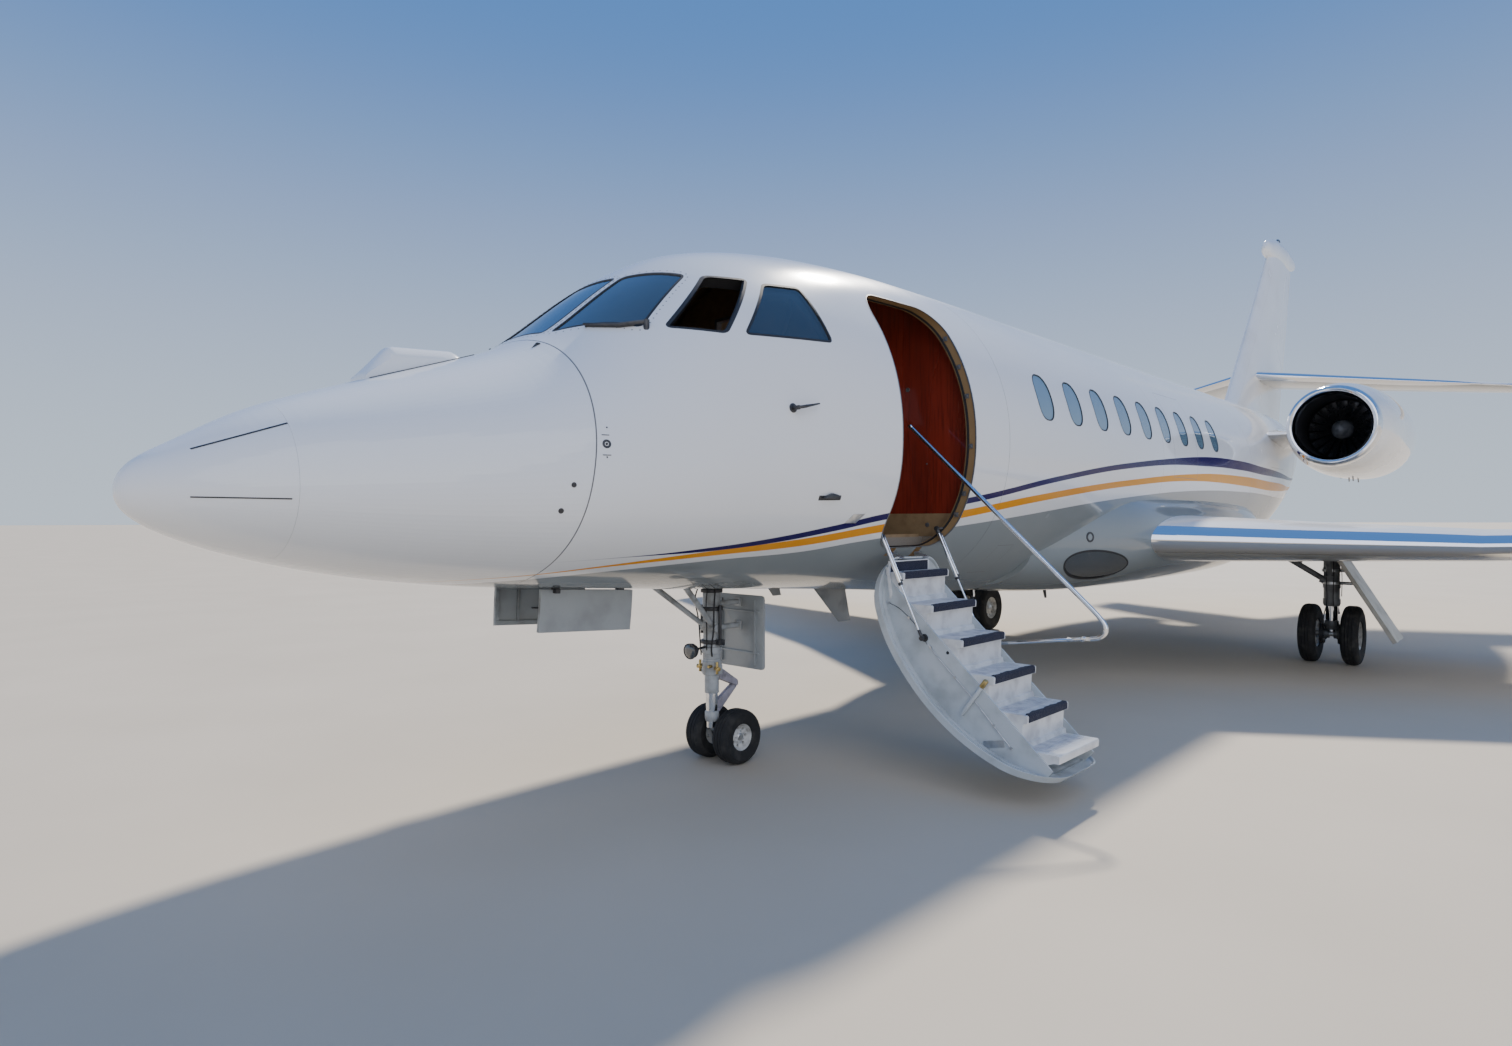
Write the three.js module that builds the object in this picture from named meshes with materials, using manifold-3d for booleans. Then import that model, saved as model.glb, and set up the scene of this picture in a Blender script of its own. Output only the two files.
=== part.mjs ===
// Business jet parked on its gear with its airstair down.
// Millimetres, z up, ground at z = 0, nose towards -y, port side towards +x.
// Lengths along the jet are stations: distances aft of the nose tip.
import * as THREE from 'three';
import { mergeVertices } from 'three/addons/utils/BufferGeometryUtils.js';
import Module from 'manifold-3d';

const wasm = await Module();
wasm.setup();

const LENGTH = 20230;
const GAP = 0.3;
const RUN_GAP = 8;
const SKIN = 80;
const AROUND = 24;
const MIRROR = [['left', 1], ['right', -1]];

// Fuselage sections, joined by smooth curves
const BODY = table('s top bottom half level upper lower', [
  [0, 1752, 1740, 6, 1746, 2, 2],
  [40, 1850, 1650, 120, 1748, 2, 2],
  [190, 1955, 1555, 270, 1750, 2, 2],
  [480, 2120, 1452, 470, 1760, 2, 2],
  [930, 2285, 1350, 690, 1780, 2, 2.1],
  [1400, 2445, 1288, 865, 1810, 2, 2.2],
  [1700, 2560, 1262, 955, 1850, 2.1, 2.3],
  [1780, 2612, 1256, 975, 1870, 2.1, 2.3],
  [2330, 3045, 1222, 1080, 1990, 2.1, 2.4],
  [2640, 3225, 1200, 1115, 2050, 2.1, 2.4],
  [3100, 3345, 1175, 1170, 2110, 2.1, 2.4],
  [3700, 3425, 1140, 1215, 2150, 2.05, 2.35],
  [4500, 3470, 1085, 1240, 2180, 2, 2.25],
  [5500, 3475, 1010, 1250, 2205, 2, 2.1],
  [6400, 3470, 960, 1250, 2210, 2, 2],
  [11500, 3470, 960, 1250, 2210, 2, 2],
  [13000, 3470, 1040, 1225, 2260, 2, 2],
  [14500, 3480, 1330, 1080, 2420, 2, 2],
  [16000, 3500, 1780, 840, 2640, 2, 2],
  [17500, 3450, 2240, 560, 2850, 2, 2],
  [18900, 3260, 2620, 300, 2950, 2, 2],
  [19500, 3130, 2800, 165, 2965, 2, 2],
]);
// Belly fairing that carries the wing roots
const FAIRING = table('s top bottom half level upper lower', [
  [6100, 1900, 1010, 880, 1400, 2.4, 2.4],
  [6900, 2020, 925, 1130, 1440, 2.4, 2.4],
  [7700, 2080, 895, 1320, 1470, 2.4, 2.4],
  [9500, 2080, 885, 1350, 1470, 2.4, 2.4],
  [11300, 2060, 900, 1310, 1460, 2.4, 2.4],
  [12300, 1980, 990, 1150, 1480, 2.4, 2.4],
  [13300, 1850, 1160, 820, 1500, 2.4, 2.4],
]);
// Outline of the sensor fairing on top of the nose, in station and level
const SENSOR = [[925, 2100], [940, 2310], [1067, 2462], [1380, 2482], [1480, 2440], [1480, 2100]];
const RADOME_END = 520;
const NOSE_END = 1650;
const COCKPIT_END = 5000;
const CABIN_END = 11500;
const TAIL_END = 19500;
const EXHAUST_RADIUS = 110;

// Cabin windows
const WINDOWS = { count: 9, first: 5660, pitch: 543, level: 2570, wide: 265, high: 365 };

// Cockpit windows: corners as x, station and z on the skin, from the lower front corner round
const PANES = {
  centre: [[-225, 1795, 2612], [225, 1795, 2612], [195, 2300, 3008], [-195, 2300, 3008]],
  front: [[279, 1809, 2609], [716, 2075, 2605], [586, 2481, 2979], [243, 2308, 3006]],
  side: [[777, 2159, 2619], [943, 2456, 2604], [750, 2791, 2987], [645, 2555, 2983]],
  rear: [[970, 2564, 2617], [1059, 3175, 2642], [830, 3132, 2990], [796, 2875, 2972]],
};

// Doorway, airstair hinge and opening angle
const DOOR = { front: 3690, rear: 4530, sill: 1440, top: 3090, corner: 200, thick: 30, gap: 8, inner: 790 };
const HINGE = { x: 950, z: 1395 };
const OPEN = THREE.MathUtils.degToRad(140);
const HINGE_EYE = { radius: 12, half: 25, stations: [3960, 4250], lug: 12 };
const LUG_OUTLINE = [[860, 1372], [950, 1383], [961, 1395], [950, 1407], [860, 1412]];
const NOTCH_OUTLINE = [[926, 1372], [1100, 1372], [1100, 1450], [884, 1450]];
// Steps, given open: the first nose, the going and rise, and the plates at both ends of the treads
const STEPS = { count: 6, x: 1137, z: 1290, run: 205, rise: 192, front: 3805, rear: 4345, deep: 235 };
const STRUT_ROD = 395;
const FLOOR = 1500;
const CHAIRS = [5850, 7250, 8650, 10050];
const WEB = { thick: 12, back: 100 };
// Door struts, given open: upper and lower pins in x and z, and their stations
const STRUT = {
  upper: [985, 1560], lower: [1300, 900], front: 3762, rear: 4442, barrel: 380, radius: 13, rod: 6.5,
};
// Handrail, given open: from its free end down to the elbow, and the link back to its foot on the steps
const RAIL = {
  s: 4390, radius: 14, elbow: [2030, 900], foot: [1440, 815],
  line: [[819, 2263], [2110, 1058], [2165, 995], [2168, 950], [2130, 915], [2075, 904]],
};

// Undercarriage: track is between the legs, twin is between the two tyres of a leg
const NOSE = { s: 3339, radius: 184, wide: 140, twin: 260, rim: 88, leg: 3235, sides: 18, axle: 20 };
const MAIN = { s: 10729, track: 4450, radius: 330, wide: 168, twin: 400, rim: 155, sides: 22, axle: 30 };
const NOSE_HINGE = [[240, 1780, 1267], [240, 2380, 1229]];
const NOSE_DOOR_OPEN = THREE.MathUtils.degToRad(-86);
const BAY = { front: 1765, rear: 3480, half: 240, roof: 1425, wall: 8, doorFront: 1780, doorRear: 2380 };
const KNUCKLE = { radius: 9, long: 46, stations: [1840, 2270] };

// Lifting surfaces: x, station and level of the leading edge, chord, thickness and fall of the rear edge
const WING = table('x s z chord thick fall', [
  [1000, 7490, 1440, 4170, 500, 140],
  [2225, 8255, 1405, 3450, 400, 90],
  [3600, 9110, 1372, 2750, 300, 40],
  [6600, 10705, 1440, 1930, 205, 10],
  [9500, 12250, 1560, 1110, 115, 0],
  [9665, 12560, 1575, 700, 60, 0],
]);
const TAILPLANE = table('x s z chord thick fall', [
  [60, 16330, 4180, 2380, 215, 0],
  [2000, 17700, 4015, 1760, 160, 0],
  [3780, 18970, 3870, 1180, 100, 0],
  [3870, 19170, 3863, 1060, 50, 0],
]);
// Fin: level, station of the leading edge, chord and thickness
const FIN = table('z s chord thick', [
  [3300, 14850, 3800, 330],
  [3800, 15330, 3440, 310],
  [5200, 16590, 2640, 250],
  [6660, 17860, 1800, 180],
]);
const FIN_CAP = table('s half low high', [
  [17560, 20, 6700, 6760],
  [17700, 85, 6600, 6900],
  [18300, 120, 6560, 7050],
  [19100, 110, 6600, 7060],
  [19900, 50, 6760, 6990],
  [20060, 12, 6850, 6920],
]);
// Hinged surfaces: inner and outer end as x or level, and the share of the chord ahead of the hinge
const FLAP = { from: 1620, to: 5700, share: [0.79, 0.74], drop: 25 };
const AILERON = { from: 6150, to: 8950, share: [0.74, 0.74], drop: 0 };
const ELEVATOR = { from: 430, to: 3560, share: [0.7, 0.7], drop: 0 };
const RUDDER = { from: 4870, to: 6480, share: [0.68, 0.68], drop: 0 };

// Engines
const ENGINE = { x: 1970, z: 2810, front: 12200, sides: 20, blades: 18, fan: 12930, fanRadius: 388 };
const LIP = [[12330, 522], [12235, 503], [12200, 467], [12235, 428], [12330, 402]];
const COWL = [
  [12330.3, 522], [12750, 596], [13500, 634], [14700, 606], [15600, 506], [16350, 392],
  [16350, 374], [14600, 540], [13400, 540], [13080, 412], [12330.3, 402],
];
const CORE = [
  [13060, 0], [13060, 130], [13150, 330], [13500, 539.7], [13900, 539.7], [15300, 340], [16100, 0],
];
// Section of the engine pylon: station and height from its middle
const PYLON = [
  [12900, 0], [13500, 95], [14800, 110], [15900, 60], [16050, 0], [15900, -60], [14800, -110], [13500, -95],
];

const COLOURS = {
  white: [0xe9ebee, 0.25, 0],
  grey: [0x8d9296, 0.35, 0],
  chrome: [0xd9dde2, 0.12, 1],
  metal: [0x9a9da1, 0.35, 1],
  glass: [0x1b2a36, 0.05, 0],
  tyre: [0x1a1a1c, 0.85, 0],
  dark: [0x202328, 0.6, 0],
  carpet: [0x1b2245, 0.95, 0],
  leather: [0xc8b89c, 0.6, 0],
  wood: [0x4c1512, 0.2, 0],
  tan: [0xa08a6b, 0.55, 0],
};

function table(names, rows) {
  const keys = names.split(' ');
  return rows.map((row) => Object.fromEntries(row.map((value, i) => [keys[i], value])));
}

// Point at x, station and level
function at(x, s, z) {
  return [x, s - LENGTH / 2, z];
}

// Solids from three.js geometry, and back
function solid(geometry) {
  const bare = geometry.clone();
  const extra = Object.keys(bare.attributes).filter((name) => name !== 'position');
  extra.forEach((name) => bare.deleteAttribute(name));
  const merged = mergeVertices(bare, 1e-3);
  const position = merged.attributes.position.array;
  const index = merged.index.array;
  const faces = [];
  let volume = 0;
  for (let i = 0; i < index.length; i += 3) {
    const [a, b, c] = [index[i], index[i + 1], index[i + 2]];
    if (a === b || b === c || c === a) continue;
    faces.push(a, b, c);
    const [p, q, r] = [a, b, c].map((v) => new THREE.Vector3().fromArray(position, 3 * v));
    volume += p.dot(q.cross(r));
  }
  if (volume < 0) faces.reverse();
  return new wasm.Manifold(new wasm.Mesh({
    numProp: 3, vertProperties: Float32Array.from(position), triVerts: Uint32Array.from(faces),
  }));
}

function geometryOf(manifold) {
  const mesh = manifold.getMesh();
  const geometry = new THREE.BufferGeometry();
  geometry.setAttribute('position', new THREE.BufferAttribute(mesh.vertProperties, 3));
  geometry.setIndex(new THREE.BufferAttribute(mesh.triVerts, 1));
  return geometry;
}

const join = (first, ...rest) => geometryOf(rest.reduce((sum, g) => sum.add(solid(g)), solid(first)));
const cut = (first, ...rest) => geometryOf(rest.reduce((sum, g) => sum.subtract(solid(g)), solid(first)));
const common = (first, ...rest) => geometryOf(rest.reduce((sum, g) => sum.intersect(solid(g)), solid(first)));

// Closed solid through rings of equally many points
function loft(rings) {
  const count = rings[0].length;
  const faces = [];
  for (let r = 0; r + 1 < rings.length; r++) {
    for (let i = 0; i < count; i++) {
      const [a, b] = [r * count + i, r * count + ((i + 1) % count)];
      faces.push(a, b, b + count, a, b + count, a + count);
    }
  }
  for (const [base, turn] of [[0, 1], [(rings.length - 1) * count, 0]]) {
    for (let low = 0, high = count - 1; high - low > 1; low++, high--) {
      const near = [base + low, base + low + 1, base + high];
      const far = [base + low + 1, base + high - 1, base + high];
      faces.push(...(turn ? near.reverse() : near));
      if (high - low > 2) faces.push(...(turn ? far.reverse() : far));
    }
  }
  const geometry = new THREE.BufferGeometry();
  geometry.setAttribute('position', new THREE.Float32BufferAttribute(rings.flat(2), 3));
  geometry.setIndex(faces);
  return geometry;
}

// Box between two corners given as x, station and level
function box([x0, s0, z0], [x1, s1, z1]) {
  const geometry = new THREE.BoxGeometry(x1 - x0, s1 - s0, z1 - z0);
  return geometry.translate(...at((x0 + x1) / 2, (s0 + s1) / 2, (z0 + z1) / 2));
}

// Round bar between two points given as x, station and level
function bar(from, to, radius, sides = 12, endRadius = radius) {
  const [a, b] = [from, to].map((p) => new THREE.Vector3(...at(...p)));
  const way = b.clone().sub(a);
  const geometry = new THREE.CylinderGeometry(endRadius, radius, way.length(), sides);
  const turn = new THREE.Quaternion().setFromUnitVectors(new THREE.Vector3(0, 1, 0), way.clone().normalize());
  return geometry.applyQuaternion(turn).translate(...a.add(b).multiplyScalar(0.5).toArray());
}

// Plate with an outline in x and z, between two stations
function crossPlate(outline, from, to) {
  const shape = new THREE.Shape(outline.map((p) => new THREE.Vector2(...p)));
  const geometry = new THREE.ExtrudeGeometry(shape, { depth: to - from, bevelEnabled: false });
  return geometry.rotateX(Math.PI / 2).translate(0, to - LENGTH / 2, 0);
}

// Plate with an outline in station and z, between two values of x
function sidePlate(outline, from, to) {
  const drawn = outline instanceof THREE.Shape;
  const shape = drawn ? outline : new THREE.Shape(outline.map((p) => new THREE.Vector2(...p)));
  const settings = { depth: to - from, bevelEnabled: false, curveSegments: 6 };
  const geometry = new THREE.ExtrudeGeometry(shape, settings);
  const turn = new THREE.Matrix4().makeBasis(
    new THREE.Vector3(0, 1, 0), new THREE.Vector3(0, 0, 1), new THREE.Vector3(1, 0, 0));
  return geometry.applyMatrix4(turn).translate(from, -LENGTH / 2, 0);
}

// Solid of revolution: profile points as place along the axis and radius
function spin(profile, sides) {
  const points = [...profile, profile[0]].map(([along, radius]) => new THREE.Vector2(radius, along));
  return new THREE.LatheGeometry(points, sides);
}

// Solid of revolution about a line along the jet, its profile given as station and radius
function spinAlong(profile, x, z, sides) {
  return spin(profile.map(([s, r]) => [s - LENGTH / 2, r]), sides).translate(x, 0, z);
}

// Solid of revolution about a line across the jet, with a flat side down
function spinAcross(profile, x, s, z, sides) {
  return spin(profile, sides).rotateY(Math.PI / sides).rotateZ(-Math.PI / 2).translate(...at(x, s, z));
}

// Rectangle with round corners
function roundedShape(x0, x1, y0, y1, radius) {
  const shape = new THREE.Shape();
  shape.moveTo(x0 + radius, y0);
  shape.lineTo(x1 - radius, y0);
  shape.absarc(x1 - radius, y0 + radius, radius, -Math.PI / 2, 0);
  shape.lineTo(x1, y1 - radius);
  shape.absarc(x1 - radius, y1 - radius, radius, 0, Math.PI / 2);
  shape.lineTo(x0 + radius, y1);
  shape.absarc(x0 + radius, y1 - radius, radius, Math.PI / 2, Math.PI);
  shape.lineTo(x0, y0 + radius);
  shape.absarc(x0 + radius, y0 + radius, radius, Math.PI, 1.5 * Math.PI);
  return shape;
}

// Copy of a solid on the other side of the jet
function mirrored(geometry, side) {
  return side > 0 ? geometry : geometryOf(solid(geometry.clone().scale(-1, 1, 1)));
}

// Copy of a solid turned about the airstair hinge, from shut to open
function swungOpen(geometry) {
  return geometry.translate(-HINGE.x, 0, -HINGE.z).rotateY(OPEN).translate(HINGE.x, 0, HINGE.z);
}

const group = new THREE.Group();

function add(name, geometry, colour) {
  const [tint, roughness, metalness] = COLOURS[colour];
  const material = new THREE.MeshStandardMaterial({ color: tint, roughness, metalness });
  const mesh = new THREE.Mesh(geometryOf(solid(geometry)), material);
  mesh.name = name;
  group.add(mesh);
}

// Section of the fuselage or fairing, drawn in by an inset
function bodyRing(row, inset, around) {
  return Array.from({ length: around }, (_, i) => {
    const angle = (2 * Math.PI * i) / around;
    const rising = Math.sin(angle) > 0;
    const bulge = (value) => Math.sign(value) * Math.abs(value) ** (2 / (rising ? row.upper : row.lower));
    const high = rising ? row.top - row.level : row.level - row.bottom;
    return at(Math.max(row.half - inset, 4) * bulge(Math.cos(angle)), row.s,
      row.level + Math.max(high - inset, 3) * bulge(Math.sin(angle)));
  });
}

const hull = (rows, inset = 0, around = AROUND) => loft(rows.map((row) => bodyRing(row, inset, around)));
const slab = (from, to) => box([-2000, from, 0], [2000, to, 5000]);

// Stretch of the fuselage between two stations, drawn in by an inset
const bodyPiece = (from, to, inset = 0) => common(hull(BODY, inset), slab(from, to));

// Layer of the fuselage between two insets
const layer = (from, to, outer, inner) => cut(bodyPiece(from, to, outer), hull(BODY, inner));

// Prism through four skin points, reaching both ways along their mean normal
function paneCutter(corners, shrink, inward = 130, outward = 200) {
  const points = corners.map((p) => new THREE.Vector3(...at(...p)));
  const centre = points.reduce((sum, p) => sum.add(p), new THREE.Vector3()).multiplyScalar(0.25);
  const normal = points[2].clone().sub(points[0]).cross(points[3].clone().sub(points[1])).normalize();
  const rim = points.map((p) => p.clone().add(centre.clone().sub(p).setLength(shrink)));
  const out = normal.dot(new THREE.Vector3(centre.x, 0, centre.z - 2000)) > 0 ? 1 : -1;
  const face = (reach) => rim.map((p) => p.clone().addScaledVector(normal, reach * out).toArray());
  return loft([face(-inward), face(outward)]);
}

const onSide = (corners, side) => corners.map(([x, s, z]) => [x * side, s, z]);
const shiftedPane = (corners, x, s, z) => corners.map((p) => [p[0] + x, p[1] + s, p[2] + z]);
const fixedPanes = [
  PANES.centre,
  ...MIRROR.map(([, side]) => onSide(PANES.front, side)),
  ...MIRROR.map(([, side]) => onSide(PANES.rear, side)),
  onSide(PANES.side, -1),
];

const doorShape = (gap, corner = DOOR.corner) => roundedShape(
  DOOR.front + gap, DOOR.rear - gap, DOOR.sill + gap, DOOR.top - gap, corner);

function windowShape(s, grow) {
  const [a, b] = [WINDOWS.wide / 2 + grow, WINDOWS.high / 2 + grow];
  return new THREE.Shape(Array.from({ length: 10 }, (_, i) => {
    const angle = (2 * Math.PI * (i + 0.5)) / 10;
    return new THREE.Vector2(s + a * Math.cos(angle), WINDOWS.level + b * Math.sin(angle));
  }));
}

function windowPlugs(grow, from, to) {
  return Array.from({ length: WINDOWS.count }, (_, i) => (
    sidePlate(windowShape(WINDOWS.first + i * WINDOWS.pitch, grow), from, to)));
}

const STRUT_PIN = 8;

function pinOnJamb(from, to) {
  const [x, z] = STRUT.upper;
  return bar([x, from, z], [x, to, z], STRUT_PIN, 8);
}

// Barrel on the hinge line of a nose door
function doorKnuckle(s, side, grow = 0) {
  const [a, b] = NOSE_HINGE;
  const level = (station) => a[2] + ((b[2] - a[2]) * (station - a[1])) / (b[1] - a[1]);
  const [from, to] = [s - grow, s + KNUCKLE.long + grow];
  return bar([side * a[0], from, level(from)], [side * a[0], to, level(to)], KNUCKLE.radius + grow, 12);
}

function fuselage() {
  add('radome', bodyPiece(0, RADOME_END - GAP), 'white');
  add('nose_cone', bodyPiece(RADOME_END, NOSE_END - GAP), 'white');
  const front = cut(bodyPiece(NOSE_END, COCKPIT_END - GAP), bodyPiece(NOSE_END + SKIN, COCKPIT_END + 1, SKIN));
  const openings = [...fixedPanes, PANES.side].map((corners) => paneCutter(corners, 0));
  const bay = box([-BAY.half, BAY.front, 900], [BAY.half, BAY.rear, BAY.roof]);
  const pins = [
    pinOnJamb(DOOR.front - 20, STRUT.front - STRUT.radius - GAP),
    pinOnJamb(STRUT.rear + STRUT.radius + GAP, DOOR.rear + 20),
  ];
  const lugs = HINGE_EYE.stations.map((s) => (
    crossPlate(LUG_OUTLINE, s - HINGE_EYE.half - HINGE_EYE.lug - GAP, s - HINGE_EYE.half - GAP)));
  const notches = HINGE_EYE.stations.map((s) => (
    crossPlate(NOTCH_OUTLINE, s - HINGE_EYE.half - RUN_GAP, s + HINGE_EYE.half + RUN_GAP)));
  const grooves = [1, -1].flatMap((side) => KNUCKLE.stations.map((s) => doorKnuckle(s, side, 2 * GAP)));
  const shell = cut(front, ...openings, sidePlate(doorShape(0), 300, 1500), bay, ...notches, ...grooves);
  add('cockpit_section', join(shell, ...pins, ...lugs), 'white');
  const cabin = cut(bodyPiece(COCKPIT_END, CABIN_END - GAP), bodyPiece(COCKPIT_END - 1, CABIN_END, SKIN));
  add('cabin_section', cut(cabin, ...windowPlugs(0, -1500, 1500)), 'white');
  const hollow = common(hull(BODY.filter((row) => row.s >= CABIN_END), SKIN, 16), slab(CABIN_END + SKIN, TAIL_END - 500));
  const exhaust = bar([0, TAIL_END - 900, 2965], [0, TAIL_END + 50, 2965], EXHAUST_RADIUS, 16);
  add('tail_section', cut(bodyPiece(CABIN_END, TAIL_END), hollow, exhaust), 'white');
  add('belly_fairing', cut(hull(FAIRING), bodyPiece(COCKPIT_END, 14000, -GAP)), 'grey');
  const sensor = sidePlate(SENSOR, -95, 95);
  add('sensor_fairing', cut(sensor, bodyPiece(RADOME_END, NOSE_END, -GAP)), 'white');
}

function glazing() {
  const rear = 3200;
  const plugs = join(...fixedPanes.map((corners) => paneCutter(corners, 1, 126)));
  const strip = common(layer(NOSE_END, rear, SKIN + GAP, 95), box([-1500, 1700, 2796], [1500, 3040, 2822]));
  add('cockpit_glazing', join(common(layer(NOSE_END, rear, 3, 95), plugs), strip), 'glass');
  const stowed = paneCutter(shiftedPane(PANES.side, 30, 430, 0), 12);
  add('side_window_left', common(layer(NOSE_END, 3600, 95 + GAP, 113), stowed), 'glass');
  const last = WINDOWS.first + (WINDOWS.count - 1) * WINDOWS.pitch;
  const low = WINDOWS.level - WINDOWS.high / 2;
  const glass = layer(COCKPIT_END, CABIN_END, 4, 95);
  const sill = common(layer(COCKPIT_END, CABIN_END, SKIN + GAP, 95),
    box([300, WINDOWS.first - 20, low + 5], [1500, last + 20, low + 20]));
  const band = join(common(glass, join(...windowPlugs(-0.5, 300, 1500))), sill);
  for (const [name, side] of MIRROR) add(`window_band_${name}`, mirrored(band, side), 'glass');
}

// One seat: its cushion on its base, and its back, facing the nose
function seat(x, s, base) {
  return [
    box([x - 220, s - 250, base], [x + 220, s + 230, base + 420]),
    box([x - 220, s + 180, base + 300], [x + 220, s + 320, base + 1050]),
  ];
}

function interior() {
  const inside = (from, to) => bodyPiece(from, to, SKIN + GAP);
  const deck = FLOOR + GAP;
  const entry = box([DOOR.inner, DOOR.front - 30, 1300], [1500, DOOR.rear + 30, 1600]);
  const planks = box([-1300, NOSE_END + 90, FLOOR - 60], [1300, CABIN_END - 20, FLOOR]);
  add('floor', cut(common(inside(NOSE_END + 81, CABIN_END - 10), planks), entry), 'tan');
  const across = BAY.half + BAY.wall;
  const roof = box([-across, NOSE_END + 82, 1000], [across, BAY.rear + BAY.wall, FLOOR - 61]);
  const well = box([-BAY.half, BAY.front + 40, 900], [BAY.half, BAY.rear, BAY.roof - 40]);
  add('nose_bay', cut(common(inside(NOSE_END + 81, 3600), roof), well), 'grey');
  const wall = (from, to) => common(inside(from, to), box([-1300, from - 1, deck], [1300, to + 1, 3400]));
  const walkway = box([-290, 3000, 1400], [290, 5000, 3050]);
  add('cockpit_bulkhead', cut(wall(3560, 3600), walkway), 'tan');
  add('cabin_bulkhead', cut(wall(4640, 4680), walkway), 'wood');
  const cabinet = box([-1300, 3640, deck], [-430, 4330, 3000]);
  add('entry_cabinet', common(inside(3630, 4610), cabinet), 'wood');
  const panel = join(
    box([-1300, 2130, 2050], [1300, 2330, 2430]),
    box([-1300, 2040, 2430], [1300, 2400, 2465]),
    box([-140, 2200, deck], [140, 2950, 2080]),
  );
  add('instrument_panel', common(bodyPiece(1900, 3100, 96), panel), 'dark');
  const pilots = [-430, 430].flatMap((x) => seat(x, 2980, FLOOR + 12 + GAP));
  add('cockpit_seats', join(box([-600, 2960, deck], [600, 3120, deck + 14]), ...pilots), 'leather');
  const chairs = CHAIRS.flatMap((s) => [-640, 640].flatMap((x) => seat(x, s, FLOOR + 12 + GAP)));
  const rails = [-640, 640].map((x) => (
    box([x - 100, CHAIRS[0] - 100, deck], [x + 100, CHAIRS.at(-1) + 100, deck + 14])));
  const cross = box([-640, CHAIRS[0] - 50, deck], [640, CHAIRS[0] + 50, deck + 14]);
  add('cabin_seats', join(cross, ...rails, ...chairs), 'leather');
}

// Half thickness of a lifting surface at a share of its chord
function halfThick(row, share) {
  const shape = 0.2969 * Math.sqrt(share) - 0.126 * share - 0.3516 * share ** 2
    + 0.2843 * share ** 3 - 0.1015 * share ** 4;
  return 5 * row.thick * shape + 4 * share;
}

// Section of a lifting surface: from its rear edge over the top to its front, and back below
const SHARES = [1, 0.7, 0.42, 0.2, 0.07, 0.014];

function wingRing(row) {
  const point = (share, face) => at(row.x, row.s + share * row.chord,
    row.z - row.fall * share ** 2 + face * halfThick(row, share));
  return [...SHARES.map((u) => point(u, 1)), point(0, 0), ...SHARES.toReversed().map((u) => point(u, -1))];
}

function finRing(row, grow = 0) {
  const point = (share, face) => at(face * (halfThick(row, share) + grow), row.s + share * row.chord, row.z);
  const front = at(0, row.s - grow, row.z);
  return [...SHARES.map((u) => point(u, 1)), front, ...SHARES.toReversed().map((u) => point(u, -1))];
}

// Row of a table at a value of its first column, by straight lines
function rowAt(rows, key, value) {
  const i = Math.max(rows.findIndex((row) => row[key] >= value), 1);
  const t = (value - rows[i - 1][key]) / (rows[i][key] - rows[i - 1][key]);
  return Object.fromEntries(Object.keys(rows[i]).map((name) => (
    [name, THREE.MathUtils.lerp(rows[i - 1][name], rows[i][name], t)])));
}

// Hinge ends of a control surface as points, with the half thickness there
function hingeEnds(rows, key, part) {
  return [part.from, part.to].map((value, i) => {
    const row = rowAt(rows, key, value);
    const share = part.share[i];
    const level = key === 'x' ? row.z - row.fall * share ** 2 - part.drop : row.z;
    const point = at(key === 'x' ? row.x : 0, row.s + share * row.chord, level);
    return { point: new THREE.Vector3(...point), half: halfThick(row, share) + part.drop };
  });
}

// Pins that carry a control surface at both ends of its hinge
function hingePins([a, b]) {
  const along = b.point.clone().sub(a.point).normalize();
  return [[a, -1], [b, 1]].map(([end, way]) => {
    const reached = (reach) => end.point.clone().addScaledVector(along, way * reach);
    const ends = [reached(-30), reached(RUN_GAP - 2 * GAP)].map((p) => [p.x, p.y + LENGTH / 2, p.z]);
    return bar(...ends, 14, 8);
  });
}

// Everything aft of a hinge, with a round front about it, between two planes square to it
function behindHinge([a, b], normal, grow) {
  const along = b.point.clone().sub(a.point).normalize();
  const aft = normal.clone().cross(along).normalize();
  if (aft.y < 0) aft.negate();
  const up = along.clone().cross(aft).normalize();
  const ends = [[a, -grow], [b, grow]].map(([end, shift]) => ({
    centre: end.point.clone().addScaledVector(along, shift), radius: end.half + 3 + grow,
  }));
  const place = (centre, v, w) => centre.clone().addScaledVector(aft, v).addScaledVector(up, w).toArray();
  const block = loft(ends.map(({ centre }) => (
    [[-grow, -300], [1600, -300], [1600, 300], [-grow, 300]].map(([v, w]) => place(centre, v, w)))));
  const barrel = loft(ends.map(({ centre, radius }) => Array.from({ length: 16 }, (_, i) => {
    const angle = (2 * Math.PI * (i + 0.5)) / 16;
    return place(centre, radius * Math.cos(angle), radius * Math.sin(angle));
  })));
  return join(block, barrel);
}

const UP = new THREE.Vector3(0, 0, 1);
const SIDEWAYS = new THREE.Vector3(1, 0, 0);

function jackPad(x, s, low, high) {
  return bar([x, s, low], [x, s, high], 45, 12);
}

function wings() {
  const whole = loft(WING.map(wingRing));
  const hinged = [['flap', FLAP], ['aileron', AILERON]];
  const surfaces = hinged.map(([name, part]) => [name, hingeEnds(WING, 'x', part)]);
  const padded = join(whole, jackPad(3000, 9900, 1170, 1330));
  const wing = cut(padded, ...surfaces.map(([, ends]) => behindHinge(ends, UP, RUN_GAP)));
  for (const [side, sign] of MIRROR) {
    add(`wing_${side}`, cut(mirrored(wing, sign), hull(FAIRING, -GAP), bodyPiece(6400, 13000, -GAP)), 'white');
    for (const [name, ends] of surfaces) {
      const surface = join(common(whole, behindHinge(ends, UP, 0)), ...hingePins(ends));
      add(`${name}_${side}`, mirrored(surface, sign), 'white');
    }
  }
  return whole;
}

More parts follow.
